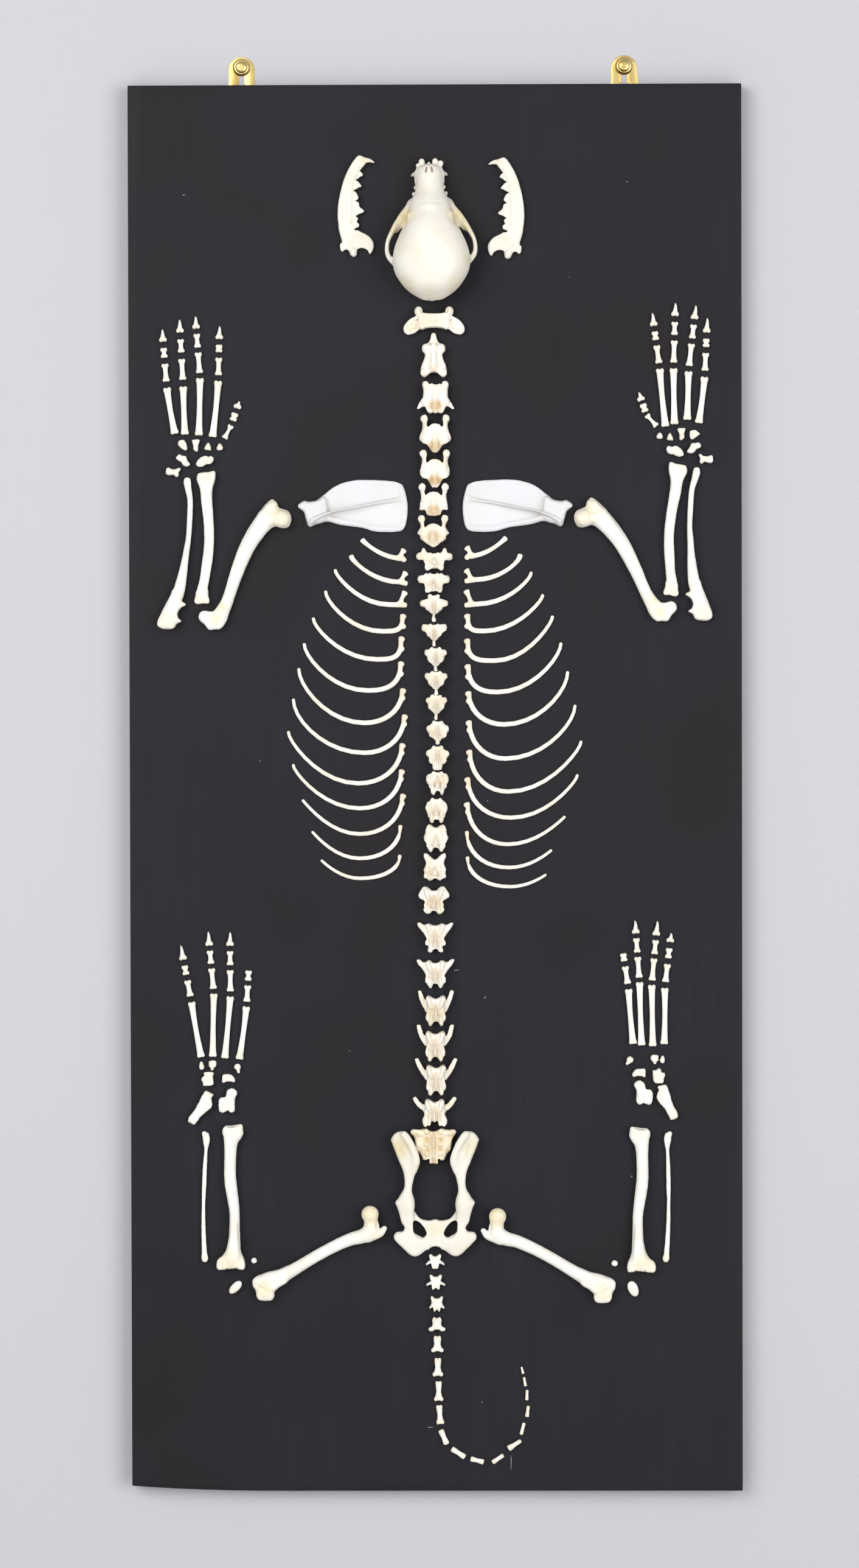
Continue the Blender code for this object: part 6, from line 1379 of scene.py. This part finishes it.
for name, made in LIMBS.items():
    for side, (x, z, turn) in made["places"].items():
        limb = Bone(0.6, FLIPS[side])
        for rod in made["rods"]:
            limb.rod(rod, blend=1.5)
        for outline, middle, half, rounding in made.get("plates", ()):
            limb.blade(outline, middle, half, blend=1.5, rounding=rounding)
        for middle, radii, lean in made["lumps"]:
            limb.lump(middle, radii, turn=lean, blend=1.6)
        for middle, radii, lean in made["cuts"]:
            limb.lump(middle, radii, turn=lean, cut=1)
        add_bones(f"{name}_bone_{side}", [carve(limb, (x, z), turn, stains=made["stains"])],
                  limb_bone, [f"{name}_{side}"])


# Kneecaps: smooth oval bones, each a little flat where it slid over the thigh bone, with the two small
# beads of bone from behind the knees laid beside them.
for side, (x, z, turn, half) in {"L": (-138.9, -343, 44, 2.9), "R": (135.3, -344.2, -24, 3.5)}.items():
    kneecap = Bone(0.4)
    kneecap.lump((0, 0.4, 2.4), (half, 5, 2.5))
    kneecap.lump((0, -2.4, 2.2), (half * 0.7, 3.4, 2.2), blend=1.6)
    add_bones(f"kneecap_{side}", [carve(kneecap, (x, z), turn, stains=[(0, -2, 4, 0.3)])],
              limb_bone, [f"patella_{side}"])
beads = []
for x, z, radius in ((-126.2, -324.7, 2), (122.6, -326.8, 2.2)):
    bead = Bone(0.35)
    bead.lump((0, 0, radius), (radius, radius * 0.96, radius * 0.95))
    beads.append(carve(bead, (x, z), rough=0.25))
add_bones("knee_beads", beads, limb_bone, ["board"])


# Paws: every small bone of the four feet, laid flat in order from the wrist or ankle to the claws.
# The long foot bones and toe bones are waisted with knuckles at their ends, and the claws hook over.
small_bone = dry_bone("small_bone", "#F9F6EE", "#F1EBDB", "#E0CC9C", pore_mm=0.6, pores=0.2)
# Foot of the long bone, its knuckle, the claw's tip, the lengths of the three toe bones and half its width.
# A claw length of 0 leaves the claw out, where it is lost on the real one.
PAWS = {
    "fore_paw_L": [
        ((-178.9, 244.9), (-184.4, 277), (-187.5, 316.9), (12.6, 7, 8.8), 2.2),
        ((-172, 244.4), (-173.1, 277.8), (-175.6, 323.6), (14.7, 9.3, 9.2), 2.2),
        ((-162.4, 243.8), (-161.5, 283.5), (-164.6, 325.8), (14.5, 9.7, 8.8), 2.2),
        ((-153, 242.7), (-148.9, 281.6), (-148, 319), (12.4, 5.3, 9.2), 2.2),
        ((-144.9, 241.7), (-140, 251), (-134.6, 267.2), (5.8, 5.2), 1.7)],
    "fore_paw_R": [
        ((158.5, 248.9), (154.6, 289), (149.5, 327), (12.6, 6.1, 9.2), 2.2),
        ((164.7, 250.5), (164.1, 289.2), (165.4, 333.9), (15.5, 9.2, 9.3), 2.2),
        ((173.4, 253.5), (174.4, 287.1), (179.5, 332.2), (15.7, 9.8, 9.8), 2.2),
        ((181.3, 251.2), (185.5, 283.3), (187.3, 323.5), (12.6, 5.9, 10.3), 2.2),
        ((152.5, 249.3), (145.4, 257.3), (140.2, 272.5), (6, 6.2), 1.7)],
    "hind_paw_L": [
        ((-162.1, -184.3), (-168.8, -145.9), (-176.1, -107.1), (11.5, 6.7, 10.3), 2.1),
        ((-154.2, -184), (-153.3, -140.1), (-157.2, -97.6), (14.5, 9.4, 10), 2.1),
        ((-145.9, -185.1), (-141.9, -142.1), (-142.1, -98), (15, 10, 9.7), 2.1),
        ((-135.9, -185.8), (-130.8, -149.1), (-129.2, -124.3), (11.6, 7.2, 0), 2.1)],
    "hind_paw_R": [
        ((135.6, -175.6), (132.5, -137.5), (128.8, -113), (12.5, 5.6, 0), 2.1),
        ((141.5, -176.6), (140.1, -132.7), (137, -90.5), (14.7, 10.2, 9.2), 2.1),
        ((149.1, -177.2), (148.5, -134.6), (152.5, -90.8), (15.6, 10, 10.3), 2.1),
        ((157, -175.8), (157.5, -136.7), (161.9, -99.2), (12.8, 7.2, 6.5), 2.1)]}
# Wrist and ankle bones as they lie on the left-hand side: outlines about their own middles
WRIST_SHAPES = {
    "first": [(0.3, 2.4), (-0.9, 1.9), (-2.2, -0.5), (-1.2, -2), (1.4, -2), (2.3, -0.3), (1.5, 1.4)],
    "second": [(0.3, 2.9), (1.6, 1), (1.9, -2.1), (0.8, -2.4), (-2.4, -1.8), (-2.1, -0.3), (-0.9, 1.6)],
    "third": [(-2.4, 3.9), (2.5, 3.9), (2.2, 1.6), (1.6, 0), (1.4, -3.9), (-0.3, -4.2), (-1.7, -2.6), (-1.6, 0),
              (-2.2, 1.8)],
    "fourth": [(-2.5, 3), (0.7, 3.6), (2.5, 0.9), (3, -2.7), (1.5, -3.5), (-1.4, -1.7), (-3.1, 0.4)],
    "wedge": [(3, 2.4), (0.3, 3.3), (-2.1, 2.4), (-4.1, 0.4), (-2.1, -1), (0.9, -3.2), (2.6, -2.7), (3.2, -0.3)],
    "radial": [(6, 2.1), (4.4, 3.6), (2.7, 2.9), (0, 3.7), (-2.8, 2.7), (-5.2, 0.4), (-6, -1.8), (-5.2, -3.3),
               (-2.4, -3.7), (0.7, -2.1), (3.2, -1.9), (5.3, -0.5)],
    "ulnar": [(4.8, -3), (3.2, -0.2), (2, 2.6), (-0.9, 3.3), (-3, 3.9), (-4.8, 1.6), (-3.4, 0), (-1.4, -1.2),
              (0.2, -3.4), (2.6, -4.1)],
    "heel": [(4.8, 2.8), (3.3, 3.2), (1.5, 1.9), (-1.5, 1.8), (-3.9, 2.5), (-4.8, 0.4), (-4.5, -2.3), (-2.4, -2.8),
             (0.9, -2), (2.7, -3.4), (4.2, -2), (3.9, 0.1)],
    "bean": [(-1.2, 2.6), (0.3, 2.9), (1.2, 1.1), (1.6, -1.3), (0.6, -2.8), (-1.2, -2.5), (-1.8, -0.4)],
    "peg": [(-2.3, 2.8), (1.7, 3), (2.7, 1.1), (2.2, -1), (0.9, -2), (0.7, -3.3), (-1, -3.3), (-1.4, -1.9),
            (-2.7, -0.6), (-2.6, 1.4)],
    "comma": [(-1.5, 2.8), (0.9, 3.1), (2.2, 1), (1.5, -1.1), (1.6, -3.2), (0, -3.4), (-0.9, -1.4), (-2.3, 0.1),
              (-2.1, 1.6)],
    "block": [(-2.7, 4.5), (3.5, 4.4), (3.5, 1.5), (3.9, -3.3), (2.1, -4.4), (-3.2, -4.6), (-3.4, -2.4), (-4.3, -0.6),
              (-4, 1.2), (-2.6, 2.4)],
    "lobes": [(4.2, 3.5), (2.2, 3.8), (0.6, 5), (-1, 4.7), (-1.8, 2.8), (-3.6, 2.3), (-4.2, 0.2), (-3.3, -1.6),
              (-2.7, -4.3), (0, -4.9), (3, -4.6), (4.2, -0.7)],
    "crescent": [(-4.2, 2.5), (-1.5, 2.9), (1.5, 2.5), (3.7, 0.6), (4.5, -1.5), (3.6, -2.7), (1.4, -2.1),
                 (-1.4, -2.1), (-4.2, -2.9), (-4.4, 0)],
    "ankle": [(1.1, 10.2), (3.6, 11.2), (6.4, 9.9), (7.1, 7.8), (5.9, 5.5), (5.3, 2.5), (5.6, -1.7), (4.8, -4.5),
              (2.8, -4.9), (1, -3.9), (-1.2, -4.9), (-3.4, -5.2), (-5.2, -2.9), (-5.5, 1.9), (-4.6, 4.6), (-1.2, 5.4),
              (-0.3, 7.6), (0, 9.2)],
    "calcaneus": [(-2.3, 1.5), (0.6, 0.5), (3.1, -0.9), (1.7, -3), (2.2, -6), (1.9, -9.4), (-0.8, -12), (-4.4, -14.6),
                  (-8.4, -19.6), (-10.2, -21.5), (-13.9, -19.4), (-13.6, -16.4), (-10.4, -12.4), (-7.4, -7.2),
                  (-4.7, -1.9)]}
# Shape, place and turn of each wrist and ankle bone
ROOT_BONES = {
    "fore_paw_L": [
        ("fourth", -173.5, 237.2, 0), ("third", -164.5, 237.1, 0), ("second", -156.2, 236, 0),
        ("first", -148.1, 235.8, 0), ("ulnar", -173.3, 226.8, 0), ("radial", -158.1, 226.1, 0),
        ("heel", -180.2, 219, 10)],
    "fore_paw_R": [
        ("first", 154.6, 242.5, 0), ("second", 161.5, 241.9, 10), ("third", 169.6, 244, 0), ("wedge", 178.3, 243.4, 0),
        ("radial", 165, 232, 0), ("ulnar", 178.1, 234.4, 4), ("heel", 186.1, 226.8, 0)],
    "hind_paw_L": [
        ("bean", -161.7, -190, 0), ("peg", -154.4, -189.7, 0), ("comma", -137.1, -191.7, 0),
        ("block", -157.5, -199.1, 0), ("crescent", -143.1, -198.8, 0), ("ankle", -144.5, -216.9, 0),
        ("calcaneus", -157, -209, 0)],
    "hind_paw_R": [
        ("comma", 133, -187.1, 24), ("peg", 150.4, -186, 0), ("bean", 155.7, -186.2, 0), ("lobes", 153.5, -197.5, 0),
        ("crescent", 139.5, -195.3, 0), ("ankle", 143.3, -211.9, 0), ("calcaneus", 155.6, -204.6, 10.6)]}


def turn_towards(start, end):
    return math.degrees(math.atan2(end[0] - start[0], end[1] - start[1]))


def toe_bone(start, end, half, waist=0.66, bow=0):
    """Waisted bone between two places, with a knuckle of two lobes at its end. bow bends its middle sideways."""
    length = math.dist(start, end)
    high = half * 0.8
    bone = Bone(0.4)
    bone.rod([(0, half * 0.5, high + 0.15, half, high),
              (bow * 0.5, length * 0.16, high + 0.1, half * 0.84, high * 0.9),
              (bow, length * 0.5, high, half * waist, high * waist),
              (bow * 0.6, length * 0.8, high, half * (waist + 0.1), high * 0.8),
              (0, length - half * 0.7, high, half * 0.94, high * 0.9)], blend=0.6, cap=0.65)
    for _ in bone.sides():
        bone.lump((half * 0.56, length - half * 0.6, high), (half * 0.48, half * 0.62, high * 0.95), blend=0.5)
        bone.lump((half * 0.6, half * 0.5, high), (half * 0.42, half * 0.5, high * 0.9), blend=0.6)
    bone.lump((0, -half * 0.3, high * 1.2), (half * 0.6, half * 0.4, high), cut=0.5)
    return carve(bone, start, turn_towards(start, end), rough=0,
                 stains=[(0, 0, half * 2, 0.2), (0, length, half * 2, 0.2)])


def claw(start, end):
    """Last toe bone with its hooked claw."""
    length = math.dist(start, end)
    bone = Bone(0.35)
    bone.rod([(0, 1.6, 2, 2.3, 1.8), (0, length * 0.34, 2.3, 1.7, 1.9), (0.2, length * 0.6, 2.5, 1.2, 1.6),
              (0.2, length * 0.84, 1.9, 0.8, 1.1), (0, length - 0.4, 0.8, 0.45, 0.6)], blend=0.6)
    for _ in bone.sides():
        bone.lump((1.6, 1.5, 1.8), (1.1, 1.4, 1.5), blend=0.7)
    bone.lump((0, -0.4, 3), (1.2, 1.1, 1.6), cut=0.6)
    return carve(bone, start, turn_towards(start, end), stains=[(0, 1, 4, 0.35)], rough=0)


def pebble(shape, place, turn, flip):
    """Wrist or ankle bone: a thick rounded block with its outline's shape."""
    bone = Bone(0.4, flip)
    outline = WRIST_SHAPES[shape]
    wide = max(x for x, _ in outline) - min(x for x, _ in outline)
    half = min(2.9, 1.3 + wide * 0.16)
    bone.blade(outline, half + 0.2, half, rounding=min(half - 0.2, 1.7), steps=3)
    if shape == "ankle":
        for x in (-3.4, 3):
            bone.rod([(x, -3.6, 4.2, 1.7, 2.2), (x, 2.4, 4.6, 1.8, 2.2)], blend=1, steps=1)
        bone.rod([(-0.2, -5, 7.4, 0.9, 1.3), (-0.2, 3.4, 7.6, 0.9, 1.2)], cut=1, steps=1)
        bone.lump((3.5, 8.4, 3.6), (2.8, 2.2, 2.4), blend=1.2)
    elif shape == "calcaneus":
        bone.rod([(0, -1.4, 4.4, 1.6, 1.8), (-1.6, -7, 4.8, 1.8, 2), (-7, -13.6, 4, 1.8, 1.8),
                           (-11.6, -18.8, 3.8, 2, 1.8)], blend=1.6)
        bone.lump((1, -7.4, 7), (0.9, 2.6, 1.2), cut=1)
        bone.lump((-12.4, -20.6, 5.4), (1, 0.7, 1.6), turn=40, cut=0.6)
    elif wide > 5.5:
        bone.lump((wide * 0.14, 0.6, half * 2 + 0.5), (wide * 0.18, 1, 0.9), turn=30, cut=0.9)
    return carve(bone, place, turn, stains=[(0, 0, 4, 0.2)], rough=0.35)


for name, toes in PAWS.items():
    carved = []
    middle = sum(toe[0][0] for toe in toes[:4]) / 4
    for foot, knuckle, tip, lengths, half in toes:
        long_bone = math.dist(foot, knuckle)
        bow = (foot[0] - middle) * 0.012 * (long_bone > 20)
        carved.append(toe_bone(foot, knuckle, half * 1.22, waist=0.7 if half > 2 else 0.55, bow=bow * 2))
        bones = [length for length in lengths if length > 0]
        gap = (math.dist(knuckle, tip) - sum(bones)) / len(bones)
        reached = 0
        for index, length in enumerate(bones):
            start, end = (tuple(a + (b - a) * far / math.dist(knuckle, tip) for a, b in zip(knuckle, tip))
                          for far in (reached + gap, reached + gap + length))
            reached += gap + length
            carved.append(claw(start, end) if index == len(lengths) - 1 else toe_bone(start, end, 2.4 - 0.1 * index))
    for shape, x, z, turn in ROOT_BONES[name]:
        carved.append(pebble(shape, (x, z), turn, FLIPS[name[-1]]))
    add_bones(name, carved, small_bone, ["board"])


# Tail: eighteen bones running down from the hips and away in a hook to the right. The first three have
# horns and side wings, and from there they get longer, then shorter and thinner to the last.
TAIL = [
    ((-1.1, -320.4), (-1.1, -330.3), 4.6, 3.4, 3.6), ((-0.7, -334.6), (-0.7, -344.2), 4.2, 3.6, 3.8),
    ((0, -349.4), (0, -359.2), 4, 3.6, 4.2), ((0, -364), (0, -373.6), 3.6, 3, 5.4),
    ((0.3, -376.9), (0.3, -388.1), 2.9, 2.3, 4), ((0.6, -392.2), (0.6, -404.9), 2.6, 1.9, 3.4),
    ((1.1, -408.3), (1.1, -422), 2.4, 1.7, 3), ((1.4, -424.8), (2.3, -438), 2.4, 1.7, 2.5),
    ((2.3, -441.6), (6.8, -452.1), 2.3, 1.7, 2.3), ((9.8, -454.7), (19.4, -461), 2.2, 1.6, 2.2),
    ((22.8, -461.8), (32.4, -464.3), 2.1, 1.5, 2.1), ((37.9, -464.7), (45.9, -459.3), 1.8, 1.4, 1.6),
    ((48.8, -455.1), (58, -449.2), 2.5, 1.5, 1.5), ((57.9, -445.4), (60.1, -437), 1.4, 1.1, 1.3),
    ((62, -433.2), (63, -425.3), 1.6, 1.1, 1.3), ((61.9, -421.7), (62.2, -414.3), 1.3, 1, 1.1),
    ((61.1, -412), (60, -405.5), 1.2, 0.9, 1), ((59.5, -403.4), (58.3, -398.4), 1.1, 0.8, 0.8)]
# Right-hand half outlines of the first three, across and down from their tops
TAIL_HALVES = [
    [(0, 1.4), (1.6, 0.9), (2.4, 0.1), (3.7, 0), (4, 1), (3.2, 2.6), (3.4, 3.8), (5, 5), (6.5, 6.8), (6.2, 7.7),
     (4.8, 7), (3, 6.2), (2.5, 7.6), (2.1, 9.2), (1.4, 9.8), (0, 9.8)],
    [(0, 1.3), (1.8, 1), (2.6, 0), (4, 0), (4.3, 1.2), (3.2, 3), (3.4, 4.2), (4.7, 5.1), (6.5, 6.5), (6.3, 7.8),
     (4.6, 7), (3, 6.6), (2.8, 8.4), (2.5, 9.8), (1.4, 10), (0.5, 8.9), (0, 8.8)],
    [(0, 1.5), (1.8, 1.2), (2.8, 0.2), (4.1, 0), (4.2, 1.2), (3.6, 3), (3.9, 5.2), (5.2, 7.6), (5.3, 8.6), (4.2, 8.3),
     (2.9, 7.4), (2.4, 9), (1.9, 10.4), (1.2, 10.4), (0.4, 9), (0, 8.8)]]
carved = []
for index, (start, end, first, waist, last) in enumerate(TAIL):
    length = math.dist(start, end)
    high = min(first, 3) * 0.85
    bone = Bone(0.4 if first > 2 else 0.3)
    if index < 3:
        bone.blade(whole(TAIL_HALVES[index]), lambda x, z: np.interp(np.abs(x), (2.6, 4.6, 6.5), (2.8, 2.4, 2)),
                   lambda x, z: np.interp(np.abs(x), (2.6, 4.6, 6.5), (2.6, 1.5, 0.9)), rounding=0.9, steps=3)
        for _ in bone.sides():
            bone.rod([(2.6, 3.4, 4.4, 0.9, 1.3), (3.3, 0.9, 4.6, 0.9, 1.1)], blend=1, steps=2)
            bone.lump((1.6, 5.4, 5.8), (0.7, 1.8, 1), cut=0.6)
        bone.rod([(0, 2.8, 4.8, 0.7, 1), (0, 8, 4.6, 0.8, 1)], blend=1, steps=1)
    else:
        bone.rod([(0, first * 0.4, high + 0.2, first * 0.9, high),
                  (0, length * 0.25, high + 0.1, (first + waist) / 2, high * 0.9),
                  (0, length * 0.5, high, waist, high * 0.8),
                  (0, length * 0.76, high, (waist + last) / 2, high * 0.84),
                  (0, length - last * 0.4, high, last * 0.9, high * 0.9)], blend=0.6, cap=0.4)
    if 3 <= index < 8:
        for _ in bone.sides():
            bone.lump((last * 0.7, length - 1.4, high), (last * 0.4, 1.5, high * 0.7), blend=0.7)
            bone.lump((first * 0.5, 0.8, high + 0.8), (0.9, 1.2, 0.9), blend=0.6)
    carved.append(carve(bone, start, turn_towards(start, end), rough=0,
                        stains=[(0, 0, 4, 0.4), (0, length, 4, 0.4)]))
add_bones("tail_bones", carved, small_bone, ["board"])


# Room: a pale plain wall behind the board, seen only from its front, and a pale floor below. A large
# soft light from the upper left and a weaker one from the right leave a thin soft shadow round the board.
def staged_sheet(name, corners, colour, one_sided):
    material, shader = new_material(name)
    shader.inputs["Base Color"].default_value = linear(colour)
    shader.inputs["Roughness"].default_value = 0.95
    if one_sided:
        nodes = material.node_tree.nodes
        back = add_node(material, "ShaderNodeNewGeometry").outputs["Backfacing"]
        clear = add_node(material, "ShaderNodeBsdfTransparent").outputs[0]
        mix = add_node(material, "ShaderNodeMixShader", {}, {0: back, 1: shader.outputs[0], 2: clear})
        material.node_tree.links.new(mix.outputs[0], nodes["Material Output"].inputs["Surface"])
    mesh = bpy.data.meshes.new(name)
    mesh.from_pydata(corners, [], [(0, 1, 2, 3)])
    mesh.materials.append(material)
    new_object(name, mesh)


# The wall stands a millimetre in front of the board's back, so that light from behind reaches that back
WALL_Y = -0.001
WALL_REACH = 4.0
FLOOR_Z = -0.8
staged_sheet("wall_sheet", [(-WALL_REACH, WALL_Y, FLOOR_Z), (WALL_REACH, WALL_Y, FLOOR_Z),
                            (WALL_REACH, WALL_Y, WALL_REACH), (-WALL_REACH, WALL_Y, WALL_REACH)], "#C5C4C9", True)
staged_sheet("floor_sheet", [(-WALL_REACH, -WALL_REACH, FLOOR_Z), (WALL_REACH, -WALL_REACH, FLOOR_Z),
                             (WALL_REACH, WALL_REACH, FLOOR_Z), (-WALL_REACH, WALL_REACH, FLOOR_Z)], "#D8D8D8", False)


def soft_light(name, place, size, power):
    """Square light aimed at the middle of the board's back."""
    data = bpy.data.lights.new(name, "AREA")
    data.size = size
    data.energy = power
    light = new_object(name, data)
    light.location = place
    light.rotation_euler = (-Vector(place)).to_track_quat("-Z", "Y").to_euler()


soft_light("window_light", (-1.3, -2.4, 0.8), 1.8, 45.0)
soft_light("fill_light", (1.7, -2.4, 0.1), 1.8, 39.0)
soft_light("back_light", (0.4, 2.4, 1.2), 2.0, 40.0)
world = bpy.data.worlds.new("studio")
bpy.context.scene.world = world
world.use_nodes = True
glow = world.node_tree.nodes["Background"]
glow.inputs["Color"].default_value = linear("#F4F5F8")
glow.inputs["Strength"].default_value = 0.42
bpy.context.scene.view_settings.view_transform = "Standard"

# Three metres off with a long lens, a little above and to the right of the board's middle
camera = new_object("camera", bpy.data.cameras.new("camera"))
camera.data.lens = 100.0
camera.location = (0.02892, -3.01530, 0.05419)
camera.rotation_euler = (math.radians(90.0 - 0.962), math.radians(0.133), math.radians(0.632))
bpy.context.scene.camera = camera
